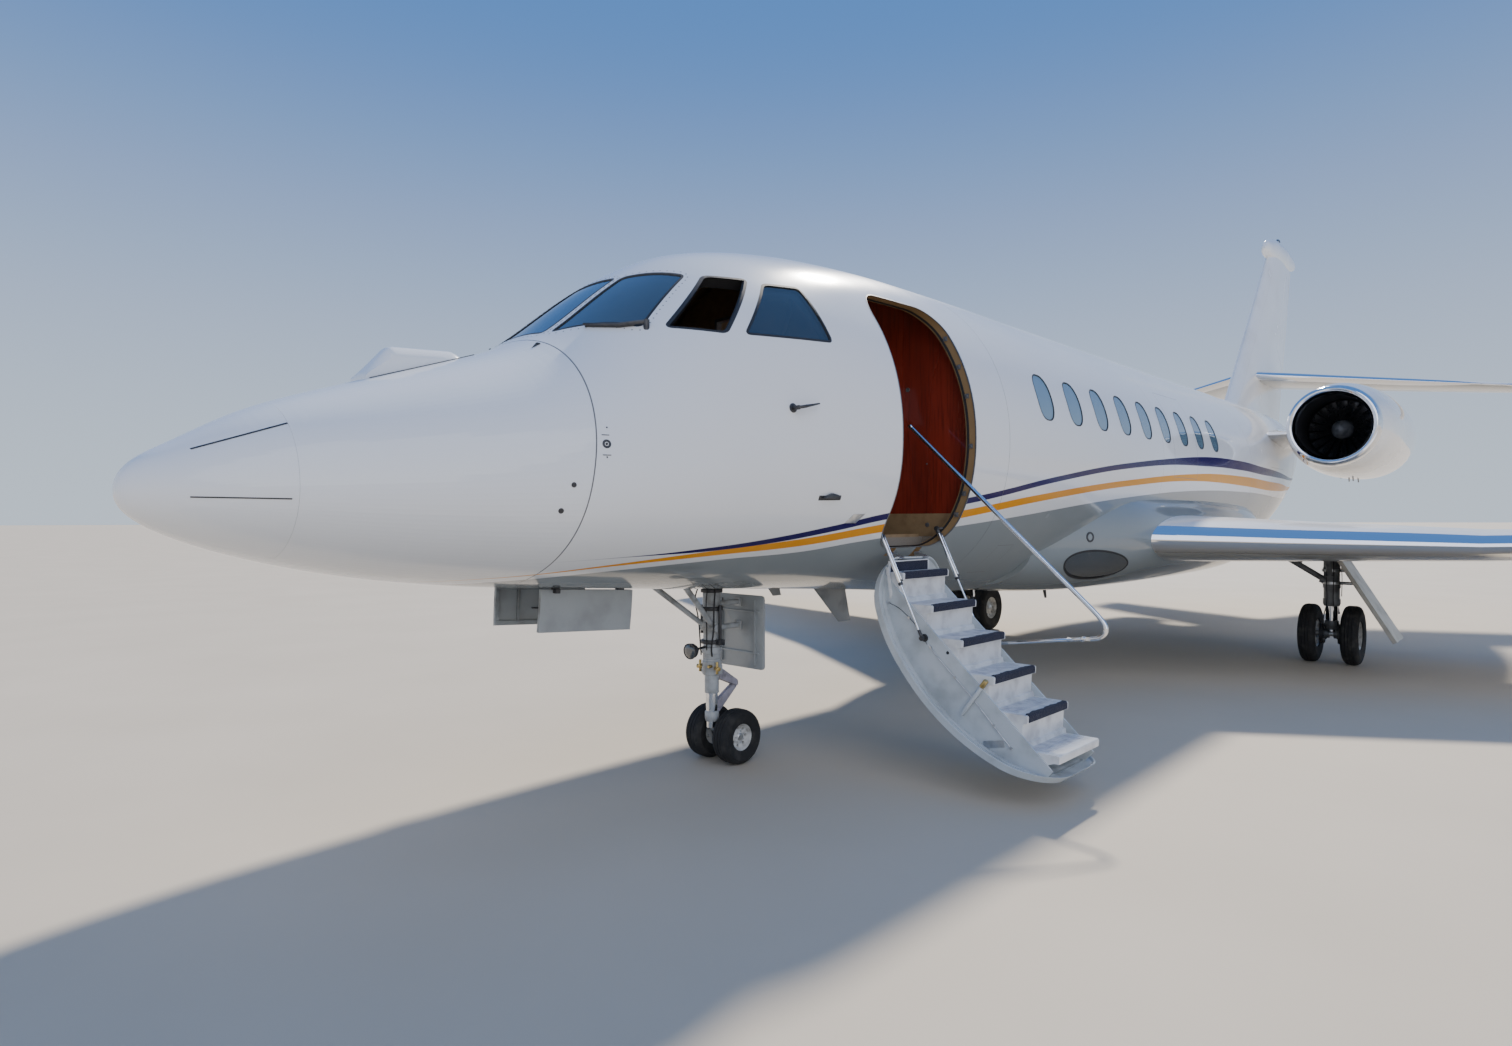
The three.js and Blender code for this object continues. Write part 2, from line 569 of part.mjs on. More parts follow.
function tail() {
  const rudder = hingeEnds(FIN, 'z', RUDDER);
  const cap = loft(FIN_CAP.map((row) => Array.from({ length: 12 }, (_, i) => {
    const angle = (2 * Math.PI * (i + 0.5)) / 12;
    const [mid, high] = [(row.low + row.high) / 2, (row.high - row.low) / 2];
    return at(row.half * Math.cos(angle), row.s, mid + high * Math.sin(angle));
  })));
  const blade = loft(FIN.map((row) => finRing(row)));
  const fin = cut(join(blade, cap), bodyPiece(14000, TAIL_END, -GAP), behindHinge(rudder, SIDEWAYS, RUN_GAP));
  add('fin', fin, 'white');
  add('rudder', join(common(blade, behindHinge(rudder, SIDEWAYS, 0)), ...hingePins(rudder)), 'white');
  const plane = loft(TAILPLANE.map(wingRing));
  const root = loft(FIN.map((row) => finRing(row, GAP)));
  const elevator = hingeEnds(TAILPLANE, 'x', ELEVATOR);
  for (const [side, sign] of MIRROR) {
    const fixed = mirrored(cut(plane, behindHinge(elevator, UP, RUN_GAP)), sign);
    add(`tailplane_${side}`, cut(fixed, root), 'white');
    const surface = join(common(plane, behindHinge(elevator, UP, 0)), ...hingePins(elevator));
    add(`elevator_${side}`, mirrored(surface, sign), 'white');
  }
}

function fanBlades() {
  const hub = spin([[ENGINE.fan - 150, 0], [ENGINE.fan - 90, 70], [ENGINE.fan - 20, 118],
    [ENGINE.fan + 129.7, 128], [ENGINE.fan + 129.7, 0]], 12);
  const blades = Array.from({ length: ENGINE.blades }, (_, i) => {
    const section = (radius, long, turn) => {
      const [c, d] = [Math.cos(turn), Math.sin(turn)];
      return [[-long, -4], [long, -4], [long, 4], [-long, 4]].map(([u, v]) => (
        [u * c - v * d, ENGINE.fan + 55 + u * d + v * c, radius]));
    };
    const blade = loft([section(100, 42, 1.0), section(ENGINE.fanRadius, 60, 0.5)]);
    return blade.rotateY((2 * Math.PI * i) / ENGINE.blades);
  });
  return join(hub, ...blades);
}

function engines() {
  const duct = spinAlong([...COWL.slice(6), [12330.3, 0], [16350, 0]],
    ENGINE.x, ENGINE.z, ENGINE.sides);
  const pylonRing = (x) => PYLON.map(([s, z]) => at(x, s, ENGINE.z - 20 + z));
  const pylon = cut(loft([pylonRing(500), pylonRing(ENGINE.x)]), duct);
  const cowl = join(spinAlong(COWL, ENGINE.x, ENGINE.z, ENGINE.sides), pylon);
  const fan = fanBlades().translate(ENGINE.x, -LENGTH / 2, ENGINE.z);
  for (const [side, sign] of MIRROR) {
    add(`nacelle_${side}`, cut(mirrored(cowl, sign), bodyPiece(12000, 17500, -GAP)), 'white');
    add(`inlet_lip_${side}`, mirrored(spinAlong(LIP, ENGINE.x, ENGINE.z, ENGINE.sides), sign), 'chrome');
    add(`fan_${side}`, mirrored(fan, sign), 'metal');
    add(`engine_core_${side}`, mirrored(spinAlong(CORE, ENGINE.x, ENGINE.z, ENGINE.sides), sign), 'metal');
  }
}

// Two wheels on one axle, centred on x
function twinWheels(gear, x) {
  const { radius: r, wide, rim, twin } = gear;
  const w = wide / 2;
  const half = [
    [w * 0.5, 0], [w * 0.5, rim * 0.92], [w * 0.86, rim * 1.06], [w, r * 0.72], [w * 0.8, r * 0.93], [w * 0.4, r],
  ];
  const profile = [...half.map(([along, radius]) => [-along, radius]), ...half.reverse()];
  const height = r * Math.cos(Math.PI / gear.sides);
  const wheels = [-1, 1].map((end) => spinAcross(profile, x + (end * twin) / 2, gear.s, height, gear.sides));
  const axle = bar([x - twin / 2, gear.s, height], [x + twin / 2, gear.s, height], gear.axle, 12);
  return join(...wheels, axle);
}

const axleLevel = (gear) => gear.radius * Math.cos(Math.PI / gear.sides);

// Eye that carries an axle
function axleEye(gear, x, half) {
  const z = axleLevel(gear);
  return [
    bar([x - half, gear.s, z], [x + half, gear.s, z], gear.axle + 22, 16),
    bar([x - half - 5, gear.s, z], [x + half + 5, gear.s, z], gear.axle + 1, 24),
  ];
}

function noseGear() {
  const { leg } = NOSE;
  const half = BAY.half - GAP;
  const panel = box([-235, 3490, 610], [235, 3506, 1110]);
  const legs = join(
    bar([0, leg, 700], [0, leg, 1330], 60, 16),
    bar([-half, leg, 1260], [half, leg, 1260], 32),
    bar([-half, 2790, 1255], [half, 2790, 1255], 18),
    ...[-1, 1].map((side) => bar([side * 35, leg - 10, 900], [side * 190, 2790, 1255], 17, 8)),
    bar([0, leg, 900], [0, 3495, 900], 20, 8),
    bar([0, leg, 1060], [0, 3495, 1060], 20, 8),
    panel,
  );
  add('nose_leg', legs, 'grey');
  const [eye, bore] = axleEye(NOSE, 0, 52);
  const z = axleLevel(NOSE);
  const fork = join(
    bar([0, leg, 590], [0, leg, 700 - GAP], 66, 16),
    bar([0, leg, z + 60], [0, leg, 600], 40),
    bar([0, leg, z + 110], [0, NOSE.s, z], 38),
    bar([0, leg, 560], [0, leg, 610], 50),
    sidePlate([[leg + 40, 620], [leg + 215, 525], [leg + 215, 495], [leg + 40, 560]], -26, 26),
    sidePlate([[leg + 30, 330], [leg + 205, 475], [leg + 215, 500], [leg + 180, 505], [leg + 20, 400]], -20, 20),
    eye,
  );
  add('nose_fork', cut(fork, bore), 'metal');
  add('nose_wheels', twinWheels(NOSE, 0), 'tyre');
  const opening = box([RUN_GAP / 2, BAY.doorFront, 1000], [BAY.half - RUN_GAP, BAY.doorRear, 1400]);
  const skin = common(layer(NOSE_END, 3000, 0, 22), opening);
  const arms = KNUCKLE.stations.map((s) => box([BAY.half - 26, s + 8, 1234], [BAY.half - 4, s + 38, 1262]));
  const door = join(skin, ...arms, ...KNUCKLE.stations.map((s) => doorKnuckle(s, 1)));
  for (const [name, side] of MIRROR) {
    const open = turned(door.clone(), NOSE_HINGE[0], NOSE_HINGE[1], NOSE_DOOR_OPEN);
    add(`nose_door_${name}`, mirrored(open, side), 'grey');
  }
}

// Copy of a solid turned about the line through two points
function turned(geometry, from, to, angle) {
  const [a, b] = [from, to].map((p) => new THREE.Vector3(...at(...p)));
  const turn = new THREE.Quaternion().setFromAxisAngle(b.clone().sub(a).normalize(), angle);
  return geometry.translate(-a.x, -a.y, -a.z).applyQuaternion(turn).translate(a.x, a.y, a.z);
}

function mainGear(wing) {
  const x = MAIN.track / 2;
  const z = axleLevel(MAIN);
  const wingAbove = wing.clone().translate(0, 0, -GAP);
  const [eye, bore] = axleEye(MAIN, x, 100);
  const link = (outline, half) => sidePlate(outline.map(([s, level]) => [MAIN.s + s, level]), x - half, x + half);
  const leg = cut(join(
    bar([x, MAIN.s, 640], [x, MAIN.s, 1330], 85, 12),
    bar([x, MAIN.s, z], [x, MAIN.s, 660], 58, 12),
    bar([1600, MAIN.s - 30, 1300], [x - 40, MAIN.s - 30, 920], 32, 8),
    bar([x, MAIN.s - 420, 1300], [x, MAIN.s - 60, 980], 26, 8),
    link([[60, 720], [250, 560], [250, 530], [60, 650]], 34),
    link([[30, 340], [235, 500], [250, 545], [200, 550], [30, 420]], 26),
    eye,
  ), bore, wingAbove);
  const door = cut(join(
    crossPlate([[x + 60, 1240], [x + 600, 300], [x + 622, 312], [x + 82, 1252]], MAIN.s - 249, MAIN.s + 251),
    ...[[900, 262], [1040, 182]].map(([level, out]) => (
      bar([x + 82 + GAP, MAIN.s, level], [x + out, MAIN.s, level], 18, 8))),
  ), wingAbove, bar([x, MAIN.s, 600], [x, MAIN.s, 1340], 85 + GAP, 12));
  for (const [name, side] of MIRROR) {
    add(`main_leg_${name}`, mirrored(leg, side), 'metal');
    add(`main_wheels_${name}`, mirrored(twinWheels(MAIN, x), side), 'tyre');
    add(`leg_door_${name}`, mirrored(door, side), 'grey');
  }
}

function airstair() {
  const shape = sidePlate(doorShape(DOOR.gap, DOOR.corner + 30), 300, 1500);
  const shell = swungOpen(common(layer(3400, 4800, 0, DOOR.thick), shape.clone()));
  const room = (inset) => swungOpen(common(bodyPiece(3400, 4800, inset), shape.clone()));
  const slope = Math.hypot(STEPS.run, STEPS.rise);
  const [along, up] = [[STEPS.run / slope, -STEPS.rise / slope], [STEPS.rise / slope, STEPS.run / slope]];
  const edge = (distance, depth) => [
    STEPS.x + along[0] * distance + up[0] * depth, STEPS.z + along[1] * distance + up[1] * depth];
  const total = slope * (STEPS.count - 1);
  const web = [edge(-260, -WEB.back), edge(total + 20, -WEB.back), edge(total + 60, -600), edge(-400, -900)];
  const webs = [STEPS.front - GAP - WEB.thick, STEPS.rear + GAP]
    .map((s) => common(crossPlate(web, s, s + WEB.thick), room(12)));
  const pin = ([x, z], from, to, radius) => bar([x, from, z], [x, to, z], radius, 8);
  const eyeHalf = STRUT.radius + GAP;
  const pins = [
    pin(STRUT.lower, STRUT.front + eyeHalf, STEPS.front - 6, STRUT_PIN),
    pin(STRUT.lower, STEPS.rear + 6, STRUT.rear - eyeHalf, STRUT_PIN),
    pin(RAIL.foot, STEPS.rear + 6, RAIL.s - RAIL.radius - GAP, 9),
  ];
  const eyes = HINGE_EYE.stations.flatMap((s) => [
    bar([HINGE.x, s - HINGE_EYE.half, HINGE.z], [HINGE.x, s + HINGE_EYE.half, HINGE.z], HINGE_EYE.radius),
    crossPlate([[938, 1395], [962, 1395], [936, 1462], [900, 1462]], s - HINGE_EYE.half, s + HINGE_EYE.half),
  ].map(swungOpen));
  add('airstair', join(shell, ...eyes, ...webs, ...pins), 'white');
  const teeth = Array.from({ length: STEPS.count }, (_, i) => {
    const [x, z] = [STEPS.x + STEPS.run * i - (i === STEPS.count - 1 ? 20 : 0), STEPS.z - STEPS.rise * i];
    return [[x - STEPS.deep, z], [x, z], [x, z - 45], [x - 30, z - 45]];
  }).flat();
  const under = [edge(total - 120, -290), edge(-200, -290)];
  const steps = common(crossPlate([...teeth, ...under], STEPS.front, STEPS.rear), room(DOOR.thick + GAP));
  add('airstair_steps', steps, 'tan');
}

function struts() {
  const [ux, uz] = STRUT.upper;
  const [lx, lz] = STRUT.lower;
  const long = Math.hypot(lx - ux, lz - uz);
  const on = (distance, s) => [ux + ((lx - ux) * distance) / long, s, uz + ((lz - uz) * distance) / long];
  for (const [name, s] of [['front', STRUT.front], ['rear', STRUT.rear]]) {
    const eye = (x, z, radius) => bar([x, s - STRUT.radius, z], [x, s + STRUT.radius, z], radius, 12);
    const barrel = join(eye(ux, uz, 17), bar(on(0, s), on(STRUT.barrel, s), STRUT.radius));
    add(`${name}_strut_barrel`, cut(barrel, bar(on(26, s), on(STRUT.barrel + 10, s), STRUT.rod + 0.8)), 'chrome');
    add(`${name}_strut_rod`, join(eye(lx, lz, 15), bar(on(long, s), on(long - STRUT_ROD, s), STRUT.rod, 8)), 'metal');
  }
}

function handrail() {
  const { s, radius, elbow, foot } = RAIL;
  const lug = (x, z, from, to) => bar([x, from, z], [x, to, z], 15, 12);
  const neck = [foot[0] + 0.9 * (elbow[0] - foot[0]), foot[1] + 0.9 * (elbow[1] - foot[1])];
  const tongue = [
    [neck[0] - 10, neck[1] - 12], [elbow[0], elbow[1] - 10], [elbow[0], elbow[1] + 10], [neck[0] - 10, neck[1] + 8],
  ];
  const link = join(
    lug(...foot, s - radius, s + radius),
    bar([foot[0], s, foot[1]], [neck[0], s, neck[1]], radius - 3, 10),
    crossPlate(tongue, s - 10, s - GAP),
    lug(...elbow, s - 10, s - GAP),
  );
  add('rail_link', link, 'chrome');
  const points = RAIL.line.map(([x, z]) => [x, s, z]);
  const runs = points.slice(1).map((p, i) => bar(points[i], p, radius, 10));
  const end = RAIL.line.at(-1);
  const strap = [
    [elbow[0], elbow[1] - 10], [end[0] + 12, end[1] - 10], [end[0] + 12, end[1] + 10], [elbow[0], elbow[1] + 10],
  ];
  const rail = join(
    ...runs,
    crossPlate(strap, s, s + 10),
    lug(...elbow, s, s + 10),
  );
  add('handrail', rail, 'chrome');
}

fuselage();
glazing();
interior();
const wing = wings();
tail();
engines();
noseGear();
mainGear(wing);
airstair();
struts();
handrail();

export default group;
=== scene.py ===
import math

import bmesh
import bpy
import numpy as np
from mathutils import Matrix, Vector


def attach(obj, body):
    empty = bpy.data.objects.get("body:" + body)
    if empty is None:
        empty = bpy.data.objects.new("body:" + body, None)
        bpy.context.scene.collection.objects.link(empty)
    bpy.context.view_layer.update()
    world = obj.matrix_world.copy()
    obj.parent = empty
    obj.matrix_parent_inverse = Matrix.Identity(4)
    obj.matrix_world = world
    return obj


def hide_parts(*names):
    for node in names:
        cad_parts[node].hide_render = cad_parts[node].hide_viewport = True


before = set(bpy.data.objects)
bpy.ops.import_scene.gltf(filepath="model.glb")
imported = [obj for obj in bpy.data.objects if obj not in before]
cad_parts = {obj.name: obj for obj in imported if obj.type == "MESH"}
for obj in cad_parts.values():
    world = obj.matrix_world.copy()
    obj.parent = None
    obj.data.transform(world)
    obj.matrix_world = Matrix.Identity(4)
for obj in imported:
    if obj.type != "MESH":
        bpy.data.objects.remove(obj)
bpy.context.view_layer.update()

# Fuselage
# A riveted aluminium tube behind a moulded nose cone and radome, white above and grey below, with an
# orange and a dark blue line between them. Each length is drawn through the sections of one table.
LENGTH = 20.23
SECTIONS = [  # station, top, bottom, half width, widest level, and the roundness above and below it
    (0, 1752, 1740, 6, 1746, 2, 2),
    (40, 1850, 1650, 120, 1748, 2, 2),
    (190, 1955, 1555, 270, 1750, 2, 2),
    (480, 2120, 1452, 470, 1760, 2, 2),
    (930, 2285, 1350, 690, 1780, 2, 2.1),
    (1400, 2445, 1288, 865, 1810, 2, 2.2),
    (1700, 2560, 1262, 955, 1850, 2.1, 2.3),
    (1780, 2612, 1256, 975, 1870, 2.1, 2.3),
    (2330, 3045, 1222, 1080, 1990, 2.1, 2.4),
    (2640, 3225, 1200, 1115, 2050, 2.1, 2.4),
    (3100, 3345, 1175, 1170, 2110, 2.1, 2.4),
    (3700, 3425, 1140, 1215, 2150, 2.05, 2.35),
    (4500, 3470, 1085, 1240, 2180, 2, 2.25),
    (5500, 3475, 1010, 1250, 2205, 2, 2.1),
    (6400, 3470, 960, 1250, 2210, 2, 2),
    (11500, 3470, 960, 1250, 2210, 2, 2),
    (13000, 3470, 1040, 1225, 2260, 2, 2),
    (14500, 3480, 1330, 1080, 2420, 2, 2),
    (16000, 3500, 1780, 840, 2640, 2, 2),
    (17500, 3450, 2240, 560, 2850, 2, 2),
    (18900, 3260, 2620, 300, 2950, 2, 2),
    (19500, 3130, 2800, 165, 2965, 2, 2),
]
NOSE_SEAM = (1.640, 0.142, 1.98)  # station of the seam at its middle level, its lean, and that level
CABIN = {"front": 5.0, "rear": 11.5}
SHELL = 0.078
HALF_JOINT = 0.0012  # between two lengths of skin
OUTSIDE, INSIDE = 0, 1  # kinds of face of the skin


def curve_through(x, y, at):
    """Smooth curve through points, never past them."""
    step = np.diff(x)
    rise = np.diff(y) / step
    slope = np.concatenate(([rise[0]], np.zeros(len(x) - 2), [rise[-1]]))
    for i in range(1, len(x) - 1):
        if rise[i - 1] * rise[i] > 0:
            a, b = 2 * step[i] + step[i - 1], step[i] + 2 * step[i - 1]
            slope[i] = (a + b) / (a / rise[i - 1] + b / rise[i])
    i = np.clip(np.searchsorted(x, at) - 1, 0, len(step) - 1)
    t = (at - x[i]) / step[i]
    return (y[i] * (1 + 2 * t) * (1 - t) ** 2 + y[i + 1] * t * t * (3 - 2 * t)
            + slope[i] * step[i] * t * (1 - t) ** 2 - slope[i + 1] * step[i] * t * t * (1 - t))


class Body:
    """A round body drawn through sections: gives points on its skin and how the skin faces."""

    def __init__(self, sections, soften=0.03):
        rows = np.array(sections, float)
        rows[:, :5] /= 1000
        root = np.sqrt(rows[:, 0])
        self.along = np.linspace(root[0], root[-1], 1600)
        reach = 3 * soften
        kernel = np.exp(-0.5 * (np.arange(-reach, reach, self.along[1] - self.along[0]) / soften) ** 2)
        pad = len(kernel) // 2
        self.columns = []
        for column in rows.T[1:]:
            line = curve_through(root, column, self.along)
            ends = (2 * line[0] - line[pad:0:-1], 2 * line[-1] - line[-2:-pad - 2:-1])
            wide = np.concatenate((ends[0], line, ends[1]))
            smooth = np.convolve(wide, kernel / kernel.sum(), "same")[pad:pad + len(line)]
            smooth[0] = line[0]
            self.columns.append(smooth)

    def section(self, s):
        return [np.interp(np.sqrt(np.maximum(s, 0)), self.along, column) for column in self.columns]

    def point(self, s, angle, inset=0.0):
        """x, station and level on the skin, the angle going round from the port side over the top."""
        top, bottom, half, level, upper, lower = self.section(s)
        c, d = np.cos(angle), np.sin(angle)
        power = 2 / np.where(d > 0, upper, lower)
        high = np.maximum(np.where(d > 0, top - level, level - bottom) - inset, 0.003)
        x = np.maximum(half - inset, 0.004) * np.sign(c) * np.abs(c) ** power
        return x, s, level + high * np.sign(d) * np.abs(d) ** power

    def side(self, s, z, inset=0.0):
        """Distance of the skin from the middle at a station and level."""
        top, bottom, half, level, upper, lower = self.section(s)
        above = z > level
        power = np.where(above, upper, lower)
        high = np.where(above, top - level, level - bottom) - inset
        share = np.minimum(np.abs(z - level) / high, 1)
        return (half - inset) * (1 - share ** power) ** (1 / power)

    def over(self, x, s, inset=0.0, up=True):
        """Level of the skin over, or under, a point."""
        top, bottom, half, level, upper, lower = self.section(s)
        power = upper if up else lower
        high = (top - level if up else level - bottom) - inset
        share = np.minimum(np.abs(x) / (half - inset), 1)
        return level + (1 if up else -1) * high * (1 - share ** power) ** (1 / power)

    def excess(self, x, s, z):
        top, bottom, half, level, upper, lower = self.section(s)
        power = np.where(z > level, upper, lower)
        high = np.where(z > level, top - level, level - bottom)
        return (np.abs(x) / half) ** power + (np.abs(z - level) / high) ** power

    def facing(self, x, s, z):
        """Outward direction of the skin near a point."""
        d = 0.002
        slopes = [self.excess(x + d, s, z) - self.excess(x - d, s, z),
                  self.excess(x, s + d, z) - self.excess(x, s - d, z),
                  self.excess(x, s, z + d) - self.excess(x, s, z - d)]
        out = np.stack(slopes, -1)
        return out / np.maximum(np.linalg.norm(out, axis=-1, keepdims=True), 1e-9)


def place(x, s, z):
    """Points in the frame from x, station and level."""
    return np.stack(np.broadcast_arrays(x, np.asarray(s, float) - LENGTH / 2, z), -1)


def grid_faces(rows, columns, first=0, closed=True):
    """Faces between neighbouring rows of points."""
    faces = []
    for r in range(rows - 1):
        for c in range(columns if closed else columns - 1):
            a, b = first + r * columns + c, first + r * columns + (c + 1) % columns
            faces.append((a, b, b + columns, a + columns))
    return faces


def object_of(name, points, faces, materials, kinds=None):
    mesh = bpy.data.meshes.new(name)
    mesh.from_pydata([tuple(p) for p in points], [], faces)
    for material in materials:
        mesh.materials.append(material)
    if kinds is not None:
        mesh.polygons.foreach_set("material_index", kinds)
    mesh.shade_smooth()
    mesh.validate()
    made = bpy.data.objects.new(name, mesh)
    bpy.context.scene.collection.objects.link(made)
    return made


def settle(piece):
    """Applies a piece's modifiers."""
    bpy.context.view_layer.update()
    mesh = bpy.data.meshes.new_from_object(piece.evaluated_get(bpy.context.evaluated_depsgraph_get()))
    old = piece.data
    piece.modifiers.clear()
    piece.data = mesh
    bpy.data.meshes.remove(old)
    return piece


def outward(piece):
    """Turns all the faces of a piece outwards."""
    work = bmesh.new()
    work.from_mesh(piece.data)
    bmesh.ops.recalc_face_normals(work, faces=work.faces)
    work.to_mesh(piece.data)
    work.free()
    return piece


def carve(piece, cutter, operation="DIFFERENCE"):
    """Cuts a piece with a solid, or keeps what is in it, and does away with the solid."""
    finishes = list(piece.data.materials)
    work = outward(piece).modifiers.new("cut", "BOOLEAN")
    work.object = outward(cutter)
    work.operation = operation
    work.solver = "MANIFOLD"
    settle(piece)
    for i, material in enumerate(piece.data.materials):
        if material is None and finishes:
            piece.data.materials[i] = finishes[min(i, len(finishes) - 1)]
    bpy.data.meshes.remove(cutter.data)
    return piece


def edges(piece, angle=35):
    """Rounds the shading of a piece, apart from its edges."""
    piece.data.shade_smooth()
    piece.data.set_sharp_from_angle(angle=math.radians(angle))
    return piece


def install(piece, body, slot, *nodes):
    """Lets a piece ride on a body and hides the nodes that it stands for; the slot is not used."""
    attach(piece, body)
    if nodes:
        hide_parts(*nodes)
    return piece


def turns(count):
    """Angles evenly spaced round a circle."""
    return 2 * np.pi * np.arange(count) / count


def skin(name, body, stations, inset, materials, around=128, lean=None):
    """Length of skin: a shell where inset is given, else a solid. Kinds of face: 0 outside, 1 inside."""
    angle = turns(around)
    layers = [0.0, inset] if inset else [0.0]
    points, faces, kinds = [], [], []
    count = len(stations)
    for layer, depth in enumerate(layers):
        for j, nominal in enumerate(stations):
            s = np.full(around, float(nominal))
            if lean is not None and lean[j]:
                for _ in range(4):
                    s = nominal + lean[j] * (body.point(s, angle, depth)[2] - NOSE_SEAM[2])
            points.append(place(*body.point(s, angle, depth)))
        new = grid_faces(count, around, layer * count * around)
        faces += new if layer == 0 else [f[::-1] for f in new]
        kinds += [layer] * len(new)
    ends = [0, (count - 1) * around]
    for end, turn in zip(ends, (False, True)):
        if inset:
            ring = [(end + (i + 1) % around, end + i, end + i + count * around,
                     end + (i + 1) % around + count * around) for i in range(around)]
        else:
            ring = [tuple(range(end + around - 1, end - 1, -1))]
        faces += [f[::-1] for f in ring] if turn else ring
        kinds += [0] * len(ring)
    return object_of(name, np.concatenate(points), faces, materials, kinds)


def polish_shading(piece, body):
    """Gives the faces of the skin the exact direction of the body, so that cuts don't show in its gloss."""
    mesh = piece.data
    count = len(mesh.loops)
    corner = np.zeros(count, np.int32)
    mesh.loops.foreach_get("vertex_index", corner)
    points = np.zeros(len(mesh.vertices) * 3)
    mesh.vertices.foreach_get("co", points)
    points = points.reshape(-1, 3)[corner]
    kind = np.zeros(count, np.int32)
    flat = np.zeros((count, 3))
    for polygon in mesh.polygons:
        span = slice(polygon.loop_start, polygon.loop_start + polygon.loop_total)
        kind[span] = polygon.material_index
        flat[span] = polygon.normal
    facing = body.facing(points[:, 0], points[:, 1] + LENGTH / 2, points[:, 2])
    along = np.einsum("ij,ij->i", facing, flat)
    normals = np.where(((kind == OUTSIDE) & (along > 0.75))[:, None], facing, flat)
    normals = np.where(((kind == INSIDE) & (along < -0.75))[:, None], -facing, normals)
    mesh.normals_split_custom_set([tuple(n) for n in normals])
    return piece


class Tone:
    """A value or colour on its way through a material's nodes; sums on values add their Math nodes."""

    def __init__(self, tree, socket):
        self.tree = tree
        self.socket = socket

    def node(self, kind, settings, inputs, output=0):
        """Adds a node: its settings first, then the values or links of its sockets."""
        made = self.tree.nodes.new(kind)
        for name, value in settings.items():
            if name == "stops":
                curve = made.mapping.curves[0]
                curve.points[0].location = value[0]
                curve.points[1].location = value[-1]
                for stop in value[1:-1]:
                    curve.points.new(*stop)
                made.mapping.update()
            else:
                setattr(made, name, value)
        for name, value in inputs.items():
            if isinstance(value, Tone):
                self.tree.links.new(value.socket, made.inputs[name])
            else:
                made.inputs[name].default_value = value
        return Tone(self.tree, made.outputs[output])

    def sum(self, operation, *values):
        return self.node("ShaderNodeMath", {"operation": operation}, dict(enumerate(values)))

    def __add__(self, other):
        return self.sum("ADD", self, other)

    def __sub__(self, other):
        return self.sum("SUBTRACT", self, other)

    def __rsub__(self, other):
        return self.sum("SUBTRACT", other, self)

    def __mul__(self, other):
        return self.sum("MULTIPLY", self, other)

    def __truediv__(self, other):
        return self.sum("DIVIDE", self, other)

    def __abs__(self):
        return self.sum("ABSOLUTE", self)

    __radd__ = __add__
    __rmul__ = __mul__

    def most(self, other):
        return self.sum("MAXIMUM", self, other)

    def rise(self, low, high, start=0.0, end=1.0):
        """Goes smoothly from start to end while the value goes from low to high."""
        return self.node("ShaderNodeMapRange", {"interpolation_type": "SMOOTHSTEP"},
                         {0: self, 1: low, 2: high, 3: start, 4: end})

    def near(self, middle, half, soft=0.0006):
        """1 within a distance of a value, 0 outside."""
        return abs(self - middle).rise(half, half + soft, 1.0, 0.0)

    def blend(self, below, above):
        """Colour between two, with this value as the share of the second."""
        return self.node("ShaderNodeMix", {"data_type": "RGBA"}, {0: self, 6: below, 7: above}, 2)

    def axes(self):
        made = self.node("ShaderNodeSeparateXYZ", {}, {0: self})
        outputs = made.socket.node.outputs
        return [Tone(self.tree, outputs[i]) for i in range(3)]

    def grain(self, scale, detail=3.0, stretch=None):
        """Noise over the surface, finer with a larger scale and drawn out by a stretch."""
        at = self if stretch is None else self.node(
            "ShaderNodeVectorMath", {"operation": "MULTIPLY"}, {0: self, 1: stretch})
        return self.node("ShaderNodeTexNoise", {}, {"Vector": at, "Scale": scale, "Detail": detail})

    def fraction(self):
        return self.sum("FRACT", self)

    def curve(self, stops, wide, high):
        """Value read off a soft curve through points that lie between 0 and a width and height."""
        spread = [(a / wide, b / high) for a, b in stops]
        return self.node("ShaderNodeFloatCurve", {"stops": spread}, {"Value": self / wide}) * high

    def bump(self, strength, distance):
        return self.node("ShaderNodeBump", {}, {"Height": self, "Strength": strength, "Distance": distance})


def begin(name):
    """A new material and the place on the object that its nodes start from."""
    material = bpy.data.materials.new(name)
    material.use_nodes = True
    where = material.node_tree.nodes.new("ShaderNodeTexCoord")
    return material, Tone(material.node_tree, where.outputs["Object"])


def finish(material, **inputs):
    """Sets the sockets of the material's shader, from values or links."""
    shader = material.node_tree.nodes["Principled BSDF"]
    for name, value in inputs.items():
        socket = shader.inputs[name.replace("_", " ")]
        if isinstance(value, Tone):
            material.node_tree.links.new(value.socket, socket)
        else:
            socket.default_value = value
    return material


def tint(red, green, blue):
    return (red, green, blue, 1.0)


WHITE = tint(0.80, 0.81, 0.815)
BELLY_GREY = tint(0.235, 0.265, 0.275)
ORANGE = tint(0.72, 0.29, 0.012)
NAVY = tint(0.016, 0.010, 0.085)
SEAM = tint(0.16, 0.16, 0.17)
